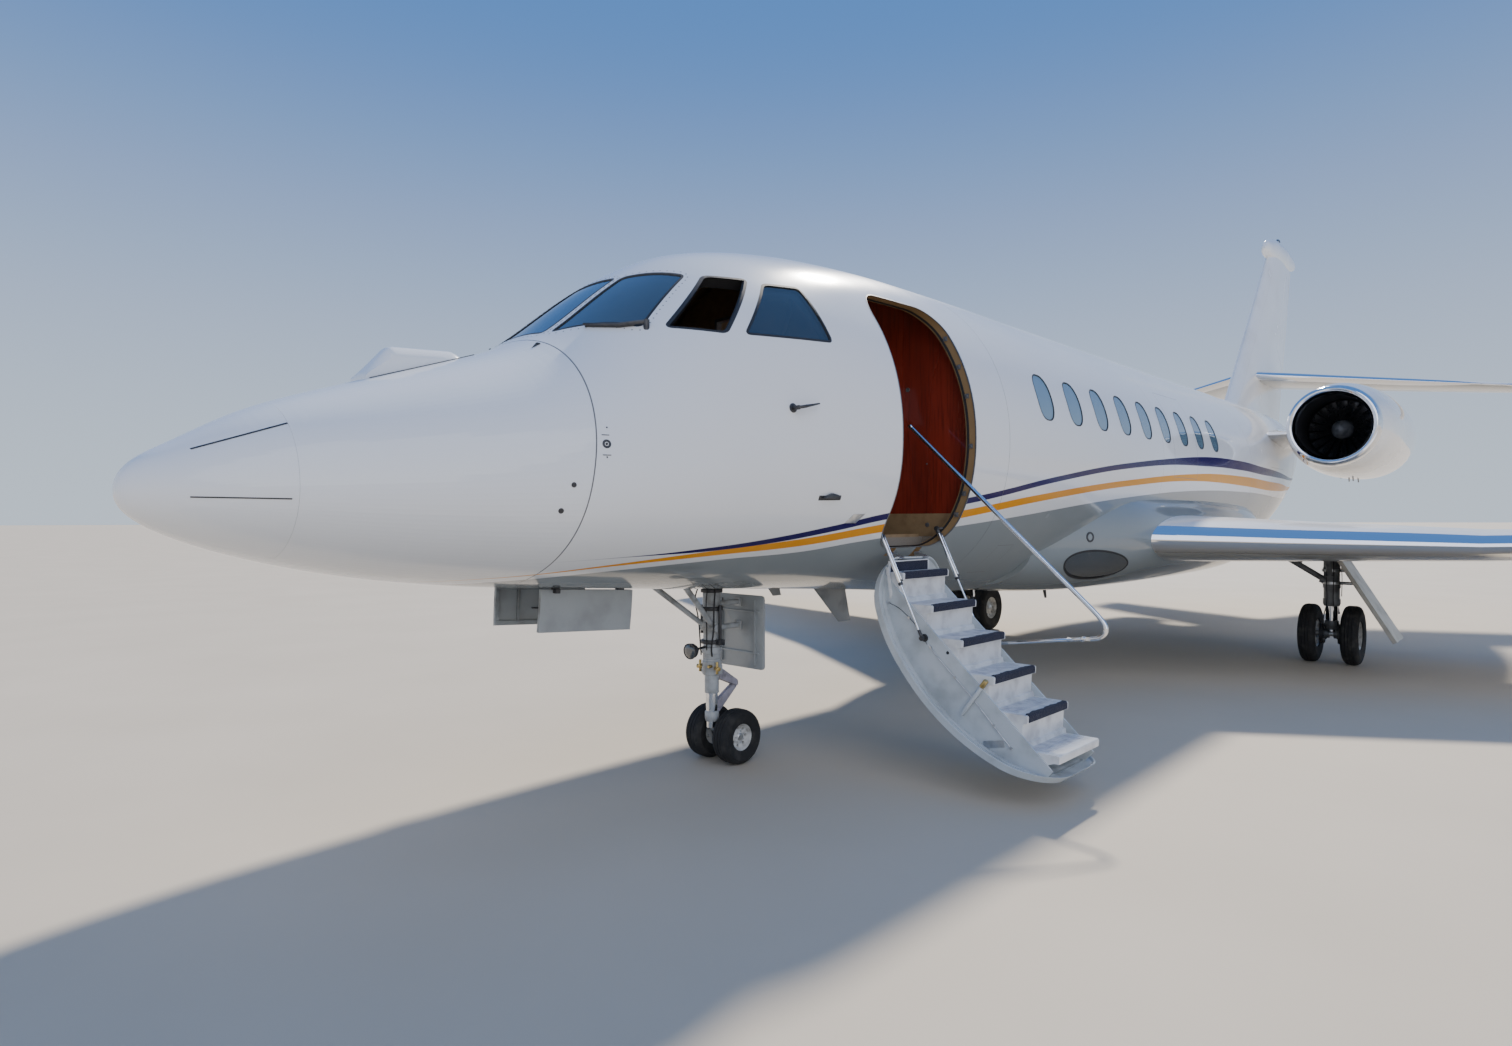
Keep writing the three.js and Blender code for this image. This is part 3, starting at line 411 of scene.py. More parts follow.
# Station and level of the middle of each painted line
ORANGE_LINE = [(0.0, 1.30), (1.36, 1.345), (1.83, 1.392), (2.35, 1.439), (3.03, 1.492), (3.58, 1.557),
               (4.51, 1.655), (5.62, 1.787), (7.38, 1.954), (9.38, 2.072), (11.2, 2.085), (12.64, 2.062),
               (15.0, 2.12), (20.23, 2.9)]
NAVY_LINE = [(0.0, 1.36), (1.80, 1.434), (2.33, 1.463), (2.72, 1.498), (3.28, 1.578), (3.59, 1.630),
             (4.76, 1.778), (5.88, 1.944), (7.32, 2.110), (9.36, 2.246), (11.0, 2.272), (12.2, 2.245),
             (15.0, 2.25), (20.23, 3.0)]
GREY_LINE = [(0.0, 1.20), (1.36, 1.318), (2.06, 1.378), (2.53, 1.408), (3.09, 1.436), (3.51, 1.484),
             (5.12, 1.622), (7.47, 1.827), (9.4, 1.93), (11.5, 1.955), (13.9, 1.925), (16.0, 2.05),
             (20.23, 2.86)]
# Station and half width of each, the width given along the jet
ORANGE_WIDTHS = [(0, 0), (1.3, 0.001), (2.4, 0.014), (3.6, 0.026), (6.0, 0.028), (8.0, 0.030),
                 (10.5, 0.052), (12.2, 0.060), (14.0, 0.030), (17.0, 0.0), (20.23, 0)]
NAVY_WIDTHS = [(0, 0), (1.74, 0.0), (2.4, 0.010), (3.6, 0.020), (6.0, 0.022), (8.0, 0.028), (10.5, 0.056),
               (12.2, 0.050), (14.0, 0.022), (17.0, 0.0), (20.23, 0)]
PANELS = {  # front and rear station, lower and upper level
    "exit": (8.55, 9.29, 2.05, 2.93),
    "hold": (12.55, 13.35, 1.62, 2.32),
    "service": (5.35, 5.60, 1.20, 1.42),
    "tail": (14.6, 15.4, 1.95, 2.35),
}


def stripe(s, z, line, widths):
    """Share of a painted line at a station and level, its half width given along the jet."""
    away = abs(z - s.curve(line, LENGTH, 4)) - s.curve(widths, LENGTH, 0.1)
    return away.rise(-0.0015, 0.0015, 1.0, 0.0)


def livery(s, z):
    """Colour of the fuselage paint at a station and level, and the share of it that is a painted line."""
    colour = (z - s.curve(GREY_LINE, LENGTH, 4)).rise(-0.0015, 0.0015, 1.0, 0.0).blend(WHITE, BELLY_GREY)
    orange = stripe(s, z, ORANGE_LINE, ORANGE_WIDTHS)
    navy = stripe(s, z, NAVY_LINE, NAVY_WIDTHS)
    colour = orange.blend(colour, ORANGE)
    return navy.blend(colour, NAVY), orange.most(navy)


def box_line(u, v, u0, u1, v0, v1, width=0.0022):
    """Thin line round a rectangle in two coordinates: the outline of a panel."""
    across = abs(u - (u0 + u1) / 2) - (u1 - u0) / 2
    up = abs(v - (v0 + v1) / 2) - (v1 - v0) / 2
    return across.most(up).near(0.0, width / 2)


def hull_paint():
    material, at = begin("fuselage_paint")
    x, y, z = at.axes()
    s = y + LENGTH / 2
    colour, painted = livery(s, z)
    joints = s.near(CABIN["front"], HALF_JOINT).most(s.near(CABIN["rear"], HALF_JOINT))
    seams = joints.most(s.near(8.22, 0.0008) * z.rise(3.2, 3.21, 1.0, 0.0))
    exits = box_line(s, z, *PANELS["exit"], 0.003)
    hold = box_line(s, z, *PANELS["hold"], 0.003) * x.rise(-0.01, 0.01)
    panels = box_line(s, z, *PANELS["service"]).most(box_line(s, z, *PANELS["tail"]))
    lines = seams.most(exits).most(hold).most(panels)
    leaned = s - z * NOSE_SEAM[1] - (NOSE_SEAM[0] - NOSE_SEAM[1] * NOSE_SEAM[2])
    lines = lines.most(leaned.near(0.0, 0.003))
    rivet_rows = (s * 4.0).fraction().near(0.5, 0.012)
    dots = (z * 28.0).fraction().near(0.5, 0.06, 0.02)
    rivets = rivet_rows * dots * s.rise(5.2, 5.3)
    worn = at.grain(1.3, 4.0)
    colour = (lines * 0.85).blend(colour, SEAM)
    colour = (worn.rise(0.45, 0.8) * 0.06).blend(colour, tint(0.62, 0.62, 0.60))
    ripple = at.grain(2.2, 1.0) * 0.006 + at.grain(340.0, 1.0) * 0.00005
    height = ripple - lines * 0.0012 - rivets * 0.0004
    return finish(material, Base_Color=colour, Roughness=worn.rise(0.3, 0.8, 0.20, 0.28),
                  Coat_Weight=0.7 - painted * 0.6, Coat_Roughness=0.03, Specular_IOR_Level=0.08,
                  Normal=height.bump(0.5, 1.0))


def lining_cloth(name, colour, deep):
    """Short-napped cloth or leatherette of the cabin lining."""
    material, at = begin(name)
    nap = at.grain(900.0, 2.0)
    return finish(material, Base_Color=at.grain(6.0).blend(colour, deep),
                  Roughness=nap.rise(0.3, 0.7, 0.7, 0.9), Normal=nap.bump(0.3, 0.0006))


hull = Body(SECTIONS)
white_paint = hull_paint()
lining = lining_cloth("headliner_cloth", tint(0.46, 0.37, 0.25), tint(0.38, 0.30, 0.20))
jamb_paint = lining_cloth("door_jamb_leather", tint(0.30, 0.19, 0.085), tint(0.24, 0.15, 0.065))


def seal_rubber():
    material, at = begin("window_seal_rubber")
    colour = at.grain(60.0).blend(tint(0.012, 0.012, 0.014), tint(0.03, 0.03, 0.032))
    return finish(material, Base_Color=colour, Roughness=0.6)


rubber = seal_rubber()
nose_steps = np.linspace(0, math.sqrt(0.5201), 26) ** 2
radome = skin("radome_shell", hull, nose_steps, 0, [white_paint], 128)
install(polish_shading(radome, hull), "airframe", "white_composite", "radome")
cone_stations = np.linspace(0.5209, NOSE_SEAM[0] - HALF_JOINT, 26)
cone_lean = NOSE_SEAM[1] * np.clip((cone_stations - 1.1) / (NOSE_SEAM[0] - 1.1), 0, 1) ** 1.5
cone = skin("nose_cone_shell", hull, cone_stations, 0, [white_paint], 128, cone_lean)
install(polish_shading(cone, hull), "airframe", "white_paint", "nose_cone")

# Cockpit section
# The stretch from the tilted nose seam to behind the door: a shell cut out for seven panes, the doorway
# and the nose bay. The doorway's edge is padded in tan, and its lower edge has notches for the hinge.
PANE_CORNERS = {
    "centre": ("over", [(-0.225, 1.795), (0.225, 1.795), (0.195, 2.300), (-0.195, 2.300)]),
    "front": ("over", [(0.279, 1.809), (0.716, 2.065), (0.586, 2.481), (0.243, 2.308)]),
    "side": ("side", [(2.159, 2.612), (2.456, 2.604), (2.791, 2.987), (2.555, 2.983)]),
    "rear": ("side", [(2.564, 2.612), (3.175, 2.642), (3.132, 2.990), (2.875, 2.972)]),
}
DOOR = {"front": 3.690, "rear": 4.530, "sill": 1.440, "top": 3.090, "corner": 0.200}
BAY = {"front": 1.765, "rear": 3.480, "half": 0.240, "roof": 1.425}
HINGE_STATIONS = (3.960, 4.250)
MOVING_GAP = 0.008  # round the stair and the control surfaces
SIDES = (("left", 1), ("right", -1))


def dense(points, longest=0.06):
    """Closed outline with no edge longer than a length."""
    result = []
    for a, b in zip(points, np.roll(points, -1, 0)):
        parts = max(1, math.ceil(np.linalg.norm(b - a) / longest))
        result += [a + (b - a) * k / parts for k in range(parts)]
    return np.array(result)


def rounded(corners, radius, steps=6, longest=0.06):
    """Closed outline in two coordinates with its corners rounded off."""
    corners = np.array(corners, float)
    points = []
    for i, corner in enumerate(corners):
        ways = [corners[i - 1] - corner, corners[(i + 1) % len(corners)] - corner]
        start, end = [corner + way * (radius / np.linalg.norm(way)) for way in ways]
        for t in np.linspace(0, 1, steps + 1):
            points.append((1 - t) ** 2 * start + 2 * t * (1 - t) * corner + t * t * end)
    return dense(points, longest)


def grown(outline, by):
    """Outline moved outwards."""
    way = np.roll(outline, -1, 0) - np.roll(outline, 1, 0)
    area = np.sum(outline[:, 0] * np.roll(outline[:, 1], -1) - outline[:, 1] * np.roll(outline[:, 0], -1))
    normal = np.stack((way[:, 1], -way[:, 0]), 1) * (1 if area > 0 else -1)
    return outline + by * normal / np.linalg.norm(normal, axis=1)[:, None]


def on_skin(body, kind, outline, inset=0.0, side=1):
    """Outline laid on the skin: over the top in x and station, or on a side in station and level."""
    if kind == "side":
        s, z = outline.T
        return place(side * body.side(s, z, inset), s, z)
    x, s = outline.T
    return place(side * x, s, body.over(x, s, inset))


def lofted(rings):
    """Closed form through rings of points, with a face over each end."""
    count = len(rings[0])
    last = (len(rings) - 1) * count
    ends = [tuple(range(last, last + count)), tuple(range(count - 1, -1, -1))]
    return np.concatenate(rings), grid_faces(len(rings), count) + ends


def sheet_on_skin(body, kind, outline, top, deep, side=1, shares=(1, 0.8, 0.6, 0.4, 0.2)):
    """Closed sheet that follows the skin inside an outline, between two depths."""
    centre = outline.mean(0)
    flat = [centre + (outline - centre) * share for share in shares]
    upper = [on_skin(body, kind, ring, top, side) for ring in flat]
    lower = [on_skin(body, kind, ring, deep, side) for ring in flat]
    return lofted([*lower[::-1], *upper])


def band_on_skin(body, kind, outer, inner, top, deep, side=1):
    """Closed band that follows the skin between two outlines and two depths."""
    rings = [on_skin(body, kind, ring, depth, side)
             for ring, depth in ((outer, deep), (outer, top), (inner, top), (inner, deep), (outer, deep))]
    count = len(outer)
    faces = [tuple(i % (4 * count) for i in face) for face in grid_faces(5, count)]
    return np.concatenate(rings[:4]), faces


def prism(points, way, inward, outward):
    """Solid through a closed outline of points, along a direction."""
    return lofted([points - way * inward, points + way * outward])


def merged(*forms):
    """Several forms, each points and faces, as one."""
    points, faces, first = [], [], 0
    for form_points, form_faces in forms:
        points.append(np.asarray(form_points, float))
        faces += [tuple(first + i for i in face) for face in form_faces]
        first += len(form_points)
    return np.concatenate(points), faces


def cutter(forms, kind):
    points, faces = merged(*forms)
    return object_of("cutter", points, faces, [], [kind] * len(faces))


def brick(low, high):
    """Box between two corners given as x, station and level."""
    corners = [(x, s - LENGTH / 2, z) for z in (low[2], high[2]) for s in (low[1], high[1])
               for x in (low[0], high[0])]
    return np.array(corners), [(0, 2, 3, 1), (4, 5, 7, 6), (0, 1, 5, 4), (2, 6, 7, 3), (0, 4, 6, 2),
                               (1, 3, 7, 5)]


def pane_outlines():
    """Name, kind, outline and side of each cockpit pane."""
    listed = []
    for name, (kind, corners) in PANE_CORNERS.items():
        outline = rounded(corners, 0.035)
        sides = (1,) if name == "centre" else (1, -1)
        listed += [(name, kind, outline, side) for side in sides]
    return listed


def door_outline(gap=0.0, corner=DOOR["corner"]):
    front, rear = DOOR["front"] + gap, DOOR["rear"] - gap
    low, high = DOOR["sill"] + gap, DOOR["top"] - gap
    points = []
    for s, z, start in ((rear, low, -90), (rear, high, 0), (front, high, 90), (front, low, 180)):
        middle = (s - math.copysign(corner, s - 4.11), z - math.copysign(corner, z - 2.2))
        for angle in np.radians(np.linspace(start, start + 90, 15)):
            points.append((middle[0] + corner * math.cos(angle), middle[1] + corner * math.sin(angle)))
    return np.array(points)


def across_prism(outline, low, high):
    """Solid across the jet with an outline in station and level."""
    return prism(place(np.full(len(outline), low), outline[:, 0], outline[:, 1]), np.array([1.0, 0, 0]),
                 0, high - low)


def pane_prism(kind, outline, side):
    """Solid through the skin within the outline of a pane."""
    points = on_skin(hull, kind, outline, 0, side)
    middle = points.mean(0)
    way = hull.facing(middle[0], middle[1] + LENGTH / 2, middle[2])
    return prism(points, way, 0.13, 0.2)


def worn_surface(name, colour, deep, spots, spread, rough, relief=None, **fixed):
    """Surface whose colour and gloss vary together in soft spots, over a fine relief."""
    material, at = begin(name)
    marks = at.grain(*spots)
    if relief:
        fixed["Normal"] = at.grain(relief[0]).bump(*relief[1:])
    colour = marks.rise(*spread).blend(colour, deep)
    return finish(material, Base_Color=colour, Roughness=marks.rise(*rough), **fixed)


bay_grey = worn_surface("grey_bay_paint", tint(0.30, 0.325, 0.335), tint(0.17, 0.17, 0.16), (9.0, 5.0),
                        (0.4, 0.75), (0.3, 0.8, 0.35, 0.6), (160.0, 0.15, 0.001))
stations = np.concatenate(([NOSE_SEAM[0] + HALF_JOINT], np.arange(1.70, 4.96, 0.05),
                           [CABIN["front"] - HALF_JOINT]))
lean = NOSE_SEAM[1] * np.clip((2.3 - stations) / (2.3 - NOSE_SEAM[0]), 0, 1)
finishes = [white_paint, lining, jamb_paint, rubber, bay_grey]
cockpit = skin("cockpit_shell", hull, stations, SHELL, finishes, 144, lean)
openings = [pane_prism(kind, outline, side) for _, kind, outline, side in pane_outlines()]
bay_box = brick((-BAY["half"], BAY["front"], 0.9), (BAY["half"], BAY["rear"], BAY["roof"]))
carve(cockpit, cutter(openings, finishes.index(rubber)))
carve(cockpit, cutter([across_prism(door_outline(), 0.3, 1.6)], finishes.index(jamb_paint)))
carve(cockpit, cutter([bay_box], finishes.index(bay_grey)))
notches = [brick((0.9, s - 0.033, 1.372), (1.1, s + 0.033, 1.452)) for s in HINGE_STATIONS]
carve(cockpit, cutter(notches, finishes.index(jamb_paint)))
install(polish_shading(cockpit, hull), "airframe", "white_paint", "cockpit_section")

# Cockpit glazing
# Laminated panes with a dark blue tint, set flush in black sealant, with a row of screws round the
# three in front. The left side pane is slid back along the inside of the wall, as when open.


def fitted(name, form, material, slot, *nodes, body="airframe", bevel=0.0, turn=35):
    """Piece from a form: its edges broken by a bevel, shaded, and riding on its body."""
    made = outward(object_of(name, *form, [material]))
    if bevel:
        work = made.modifiers.new("broken_edges", "BEVEL")
        work.width = bevel
        work.segments = 2
        work.limit_method = "ANGLE"
        work.angle_limit = math.radians(40)
        settle(made)
    return install(edges(made, turn), body, slot, *nodes)


def tinted_glass(name, clear):
    material, at = begin(name)
    film = at.grain(3.0, 2.0)
    return finish(material, Base_Color=film.blend(tint(0.030, 0.040, 0.048), tint(0.05, 0.062, 0.070)),
                  Roughness=0.03, Alpha=clear, Coat_Weight=1.0, Coat_Roughness=0.02, IOR=1.6,
                  Specular_IOR_Level=0.8)


windscreen = tinted_glass("windscreen_glass", 0.9)
side_glass = tinted_glass("side_glass", 0.6)


def screw_metal():
    material, at = begin("screw_heads")
    return finish(material, Base_Color=at.grain(90.0).blend(tint(0.30, 0.31, 0.32), tint(0.12, 0.12, 0.13)),
                  Metallic=0.6, Roughness=0.4)


def studs(body, kind, outline, pitch, radius, side=1):
    """Flat screw heads along a closed outline on the skin."""
    points = on_skin(body, kind, outline, 0, side)
    steps = np.linalg.norm(np.roll(points, -1, 0) - points, axis=1)
    at = np.concatenate(([0], np.cumsum(steps)))
    closed = np.concatenate((points, points[:1]))
    count = int(at[-1] / pitch)
    forms = []
    for distance in np.arange(count) * at[-1] / count:
        middle = np.array([np.interp(distance, at, closed[:, i]) for i in range(3)])
        way = Vector(body.facing(middle[0], middle[1] + LENGTH / 2, middle[2]))
        turn = np.array(way.to_track_quat("Z", "Y").to_matrix())
        ring = np.stack((np.cos(turns(8)), np.sin(turns(8)), np.zeros(8)), 1)
        levels = ((radius, -0.002), (radius, 0.0006), (radius * 0.75, 0.0012))
        rings = [middle + (ring * r + (0, 0, h)) @ turn.T for r, h in levels]
        forms.append(lofted(rings))
    return merged(*forms)


screws = screw_metal()
heads = []
for name, kind, outline, side in pane_outlines():
    label = name if name == "centre" else f"{name}_{'left' if side > 0 else 'right'}"
    glass = windscreen if name in ("centre", "front") else side_glass
    if label != "side_left":
        form = sheet_on_skin(hull, kind, grown(outline, -0.0015), 0.006, 0.020, side)
        fitted(f"{label}_pane", form, glass, "dark_glass", "cockpit_glazing")
    seal = band_on_skin(hull, kind, grown(outline, 0.0045), grown(outline, -0.009), -0.0006, 0.012, side)
    fitted(f"{label}_seal", seal, rubber, "dark_glass")
    if name in ("centre", "front"):
        heads.append(studs(hull, kind, grown(outline, 0.026), 0.042, 0.0042, side))
fitted("windscreen_screws", merged(*heads), screws, "bare_metal")
slid = rounded([(s + 0.43, z) for s, z in PANE_CORNERS["side"][1]], 0.035)
slid_form = sheet_on_skin(hull, "side", grown(slid, -0.02), 0.0965, 0.110)
fitted("side_pane_slid_back", slid_form, side_glass, "dark_glass", "side_window_left")
slid_rim = band_on_skin(hull, "side", grown(slid, -0.005), grown(slid, -0.026), 0.0955, 0.1125)
fitted("slid_pane_rim", slid_rim, rubber, "dark_glass")

# Cabin section
# Plain round shell with nine oval windows on each side. Each window is a stretched acrylic pane, set in
# a thin dark seal, with a pale trim ring inside.
WINDOW = {"count": 9, "first": 5.660, "pitch": 0.543, "level": 2.570, "half": 0.1325, "high": 0.1825}


def oval(half, high):
    """Outline between an ellipse and a rectangle."""
    c, d = np.cos(turns(48)), np.sin(turns(48))
    return np.stack((half * np.sign(c) * np.abs(c) ** (1 / 1.3),
                     high * np.sign(d) * np.abs(d) ** (1 / 1.3)), 1)


# Acrylic with a pale sky-blue colour: the blue is a painted reflection of the sky.
def cabin_glass_painted_sky():
    material, at = begin("cabin_window_glass")
    return finish(material, Base_Color=at.grain(4.0).blend(tint(0.16, 0.27, 0.36), tint(0.22, 0.34, 0.43)),
                  Roughness=0.03, Alpha=0.85, Coat_Weight=1.0, Coat_Roughness=0.02, IOR=1.6)


def trim_plastic(name, colour, deep):
    material, at = begin(name)
    return finish(material, Base_Color=at.grain(12.0).blend(colour, deep),
                  Roughness=at.grain(40.0).rise(0.3, 0.7, 0.35, 0.5),
                  Normal=at.grain(500.0).bump(0.2, 0.0004))


cabin_stations = np.concatenate(([CABIN["front"] + HALF_JOINT], np.linspace(5.1, 6.6, 13),
                                 np.linspace(7.0, 11.4, 12), [CABIN["rear"] - HALF_JOINT]))
cabin = skin("cabin_shell", hull, cabin_stations, SHELL, [white_paint, lining, lining, rubber], 144)
cabin_window_painted_sky = cabin_glass_painted_sky()
cream_trim = trim_plastic("cream_window_trim", tint(0.62, 0.57, 0.49), tint(0.55, 0.50, 0.42))
middles = [(WINDOW["first"] + i * WINDOW["pitch"], WINDOW["level"]) for i in range(WINDOW["count"])]
window_oval = oval(WINDOW["half"], WINDOW["high"])
carve(cabin, cutter([across_prism(window_oval + middle, -1.6, 1.6) for middle in middles], 3))
install(polish_shading(cabin, hull), "airframe", "white_paint", "cabin_section")
for label, side in SIDES:
    glass, seals, trims = [], [], []
    for middle in middles:
        shape = window_oval + middle
        glass.append(sheet_on_skin(hull, "side", grown(shape, -0.0015), 0.0045, 0.012, side,
                                   (1, 0.66, 0.33)))
        seals.append(band_on_skin(hull, "side", grown(shape, 0.004), grown(shape, -0.006), -0.0004, 0.010,
                                  side))
        trims.append(band_on_skin(hull, "side", grown(shape, 0.03), grown(shape, -0.012), 0.0785, 0.094,
                                  side))
    fitted(f"cabin_windows_{label}", merged(*glass), cabin_window_painted_sky, "dark_glass", f"window_band_{label}")
    fitted(f"window_seals_{label}", merged(*seals), rubber, "dark_glass")
    fitted(f"window_trims_{label}", merged(*trims), cream_trim, "cabin_panel")

# Interior
# Seen through the door and the open side window: carpeted floor, padded and wooden bulkheads, a wooden
# entry cabinet, an instrument panel under a padded shield, and leather seats with sewn channels.
FLOOR = 1.500
LOOSE = 0.0003  # gap between pieces that sit on one another
INNER = SHELL + LOOSE
RAIL_TOP = FLOOR + LOOSE + 0.012
CHAIRS = (5.850, 7.250, 8.650, 10.050)


def inner_solid(start, end, inset):
    """Solid of what is inside the skin, at a depth, between two stations."""
    count = max(2, round((end - start) / 0.06) + 1)
    rings = [place(*hull.point(np.full(128, s), turns(128), inset)) for s in np.linspace(start, end, count)]
    return outward(object_of("cutter", *lofted(rings), []))


def fitted_inside(name, low, high, material, slot, *nodes, cut=None, inset=INNER):
    """Box between two corners, cut to the room inside the skin and by another box."""
    made = outward(object_of(name, *brick(low, high), [material]))
    carve(made, inner_solid(low[1] - 0.05, high[1] + 0.05, inset), "INTERSECT")
    if cut:
        carve(made, cutter([cut], 0))
    return install(edges(made), "airframe", slot, *nodes)


def veneer(name, colour, deep):
    """Red-brown wood under a thick clear lacquer."""
    material, at = begin(name)
    bands = at.grain(3.0, 4.0, (1.0, 1.0, 0.14))
    pores = at.grain(70.0, 3.0, (1.0, 1.0, 0.05))
    colour = bands.rise(0.3, 0.75).blend(colour, deep)
    colour = (pores.rise(0.45, 0.7) * 0.45).blend(colour, tint(0.06, 0.010, 0.007))
    return finish(material, Base_Color=colour, Roughness=bands.rise(0.3, 0.7, 0.22, 0.34),
                  Coat_Weight=1.0, Coat_Roughness=0.03, Normal=at.grain(3.0, 1.0).bump(0.25, 0.004))


def hide(name, colour, deep):
    """Grained leather, a little darker where it is touched."""
    material, at = begin(name)
    folds = at.grain(14.0, 4.0)
    pores = at.node("ShaderNodeTexVoronoi", {}, {"Vector": at, "Scale": 420.0})
    return finish(material, Base_Color=folds.rise(0.4, 0.75).blend(colour, deep),
                  Roughness=folds.rise(0.3, 0.7, 0.45, 0.6),
                  Normal=(pores * 0.4 + folds * 3.0).bump(0.25, 0.0015))


def wool_carpet(name, colour, deep):
    material, at = begin(name)
    pile = at.grain(700.0, 2.0)
    return finish(material, Base_Color=pile.rise(0.35, 0.65).blend(colour, deep), Roughness=0.95,
                  Normal=pile.bump(0.8, 0.003))


wood = veneer("dark_red_wood", tint(0.30, 0.036, 0.020), tint(0.130, 0.016, 0.010))
tan_hide = hide("tan_leatherette", tint(0.33, 0.225, 0.12), tint(0.25, 0.165, 0.085))
seat_hide = hide("cream_leather", tint(0.56, 0.47, 0.36), tint(0.44, 0.36, 0.27))
carpet_beige = wool_carpet("beige_carpet", tint(0.36, 0.31, 0.25), tint(0.22, 0.19, 0.15))
black_plastic = trim_plastic("black_panel_plastic", tint(0.018, 0.019, 0.021), tint(0.030, 0.031, 0.033))
fitted_inside("cabin_floor", (-1.3, 1.73, 1.440), (1.3, 11.48, FLOOR), carpet_beige, "cabin_panel", "floor",
              cut=brick((0.790, 3.660, 1.3), (1.5, 4.560, 1.6)))
walkway = brick((-0.290, 3.0, 1.40), (0.290, 5.0, 3.05))
for name, start, end, material, slot in (("cockpit_bulkhead", 3.560, 3.600, tan_hide, "cabin_panel"),
                                         ("cabin_bulkhead", 4.640, 4.680, wood, "dark_wood")):
    fitted_inside(f"{name}_panel", (-1.3, start, FLOOR + LOOSE), (1.3, end, 3.4), material, slot, name,
                  cut=walkway)
    trim = [brick((side * 0.290 - 0.010, start - 0.004, FLOOR + 0.001),
                  (side * 0.290 + 0.010, end + 0.004, 3.05)) for side in (-1, 1)]
    trim += [brick((-0.300, start - 0.004, 3.040), (0.300, end + 0.004, 3.060))]
    fitted(f"{name}_trim", merged(*trim), screws, "bare_metal")
fitted_inside("doorway_kick_panel", (0.295, 4.618, FLOOR + 0.001), (1.3, 4.6395, 1.665), tan_hide,
              "cabin_panel")
fitted_inside("doorway_step_panel", (0.770, 3.700, 1.4402), (0.7895, 4.520, 1.520), tan_hide,
              "cabin_panel", inset=0.02)


def turned(profile, start, way, sides=32, closed=False):
    """Solid of revolution: distances and radii along a direction from a start point, or a ring if closed."""
    way = Vector(way).normalized()
    across = way.orthogonal().normalized()
    up = way.cross(across)
    circle = np.outer(np.cos(turns(sides)), across) + np.outer(np.sin(turns(sides)), up)
    base = place(*start)
    rings = [base + np.array(way) * along + circle * max(radius, 1e-4) for along, radius in profile]
    if closed:
        faces = [tuple(i % (len(rings) * sides) for i in face)
                 for face in grid_faces(len(rings) + 1, sides)]
        return np.concatenate(rings), faces
    return lofted(rings)


def post(x, s, z, way, profile, sides=24):
    """Small round fitting."""
    return turned(profile, (x, s, z), way, sides)


hook = [(0, 0.016), (0.006, 0.016), (0.006, 0.011), (0.002, 0.010)]
cup = [(0, 0.028), (0.006, 0.028), (0.008, 0.020), (0.003, 0.018)]
fittings = [post(0.783, 4.640, 2.024, (0, -1, 0), [(0, 0.006), (0.004, 0.006), (0.006, 0.003)]),
            post(0.622, 4.640, 2.576, (0, -1, 0), hook), post(1.02, 4.618, 1.585, (0, -1, 0), cup),
            post(0.80, 4.618, 1.585, (0, -1, 0), [(0, 0.016), (0.004, 0.016), (0.006, 0.008)])]
for level in (2.879, 2.671, 2.464, 2.121, 1.799, 1.655):
    x = hull.side(4.53, level) - 0.040
    fittings += [brick((x - 0.016, 4.5250, level - 0.016), (x + 0.016, 4.5297, level + 0.016)),
                 post(x, 4.5297, level, (0, -1, 0), [(0, 0.010), (0.0055, 0.010), (0.0068, 0.007)])]
    x = hull.side(3.69, level) - 0.040
    fittings += [brick((x - 0.016, 3.6903, level - 0.016), (x + 0.016, 3.6950, level + 0.016))]
for wall, way, reach in ((DOOR["front"], 1, 0.0625), (DOOR["rear"], -1, 0.0785)):
    profile = [(0, 0.014), (0.006, 0.014), (0.008, 0.010), (0.030, 0.0075), (reach, 0.0075)]
    fittings.append(post(0.985, wall, 1.56, (0, way, 0), profile))
fitted("doorway_fittings", merged(*fittings), screws, "bare_metal")
outline = dense(door_outline(0, 0.2))
rim = band_on_skin(hull, "side", grown(outline, 0.0035), grown(outline, -0.0035), -0.0012, 0.006)
fitted("doorway_rim", rim, screws, "bare_metal")
seal_band = band_on_skin(hull, "side", grown(outline, 0.001), grown(outline, -0.0072), 0.052, 0.066)
fitted("doorway_seal", seal_band, rubber, "dark_glass")
fitted_inside("entry_cabinet_body", (-1.3, 3.640, FLOOR + LOOSE), (-0.430, 4.330, 3.0), wood, "dark_wood",
              "entry_cabinet")
door_levels = ((1.53, 0.62), (2.17, 0.44), (2.63, 0.34))
doors = [brick((-0.436, s, z), (-0.418, s + 0.325, z + high)) for s in (3.655, 3.992)
         for z, high in door_levels]
fitted("cabinet_doors", merged(*doors), wood, "dark_wood")
pulls = [post(-0.418, s, z, (1, 0, 0), [(0, 0.010), (0.012, 0.007), (0.016, 0.013), (0.022, 0.010)])
         for s in (3.94, 4.03) for z in (2.05, 2.28, 2.70)]
fitted("cabinet_pulls", merged(*pulls), screws, "bare_metal")

# Instrument panel
# A dark panel under a padded shield, with five flat displays, rows of knobs, a centre pedestal with
# levers, and two control columns with grips.
fitted_inside("instrument_board", (-1.3, 2.130, 2.050), (1.3, 2.330, 2.430), black_plastic,
              "instrument_grey", "instrument_panel", inset=0.096)
fitted_inside("glare_shield", (-1.3, 2.040, 2.430), (1.3, 2.400, 2.465), black_plastic, "instrument_grey",
              inset=0.096)
pedestal = brick((-0.140, 2.200, FLOOR + LOOSE), (0.140, 2.950, 2.080))
fitted("pedestal", pedestal, black_plastic, "instrument_grey")
screens = [brick((x - 0.115, 2.327, 2.135), (x + 0.115, 2.336, 2.395)) for x in (-0.62, -0.36, 0.36, 0.62)]
screens += [brick((-0.20, 2.327, 2.175), (0.20, 2.336, 2.395)),
            brick((-0.10, 2.42, 2.0785), (0.10, 2.62, 2.084))]
fitted("displays", merged(*screens), windscreen, "dark_glass")
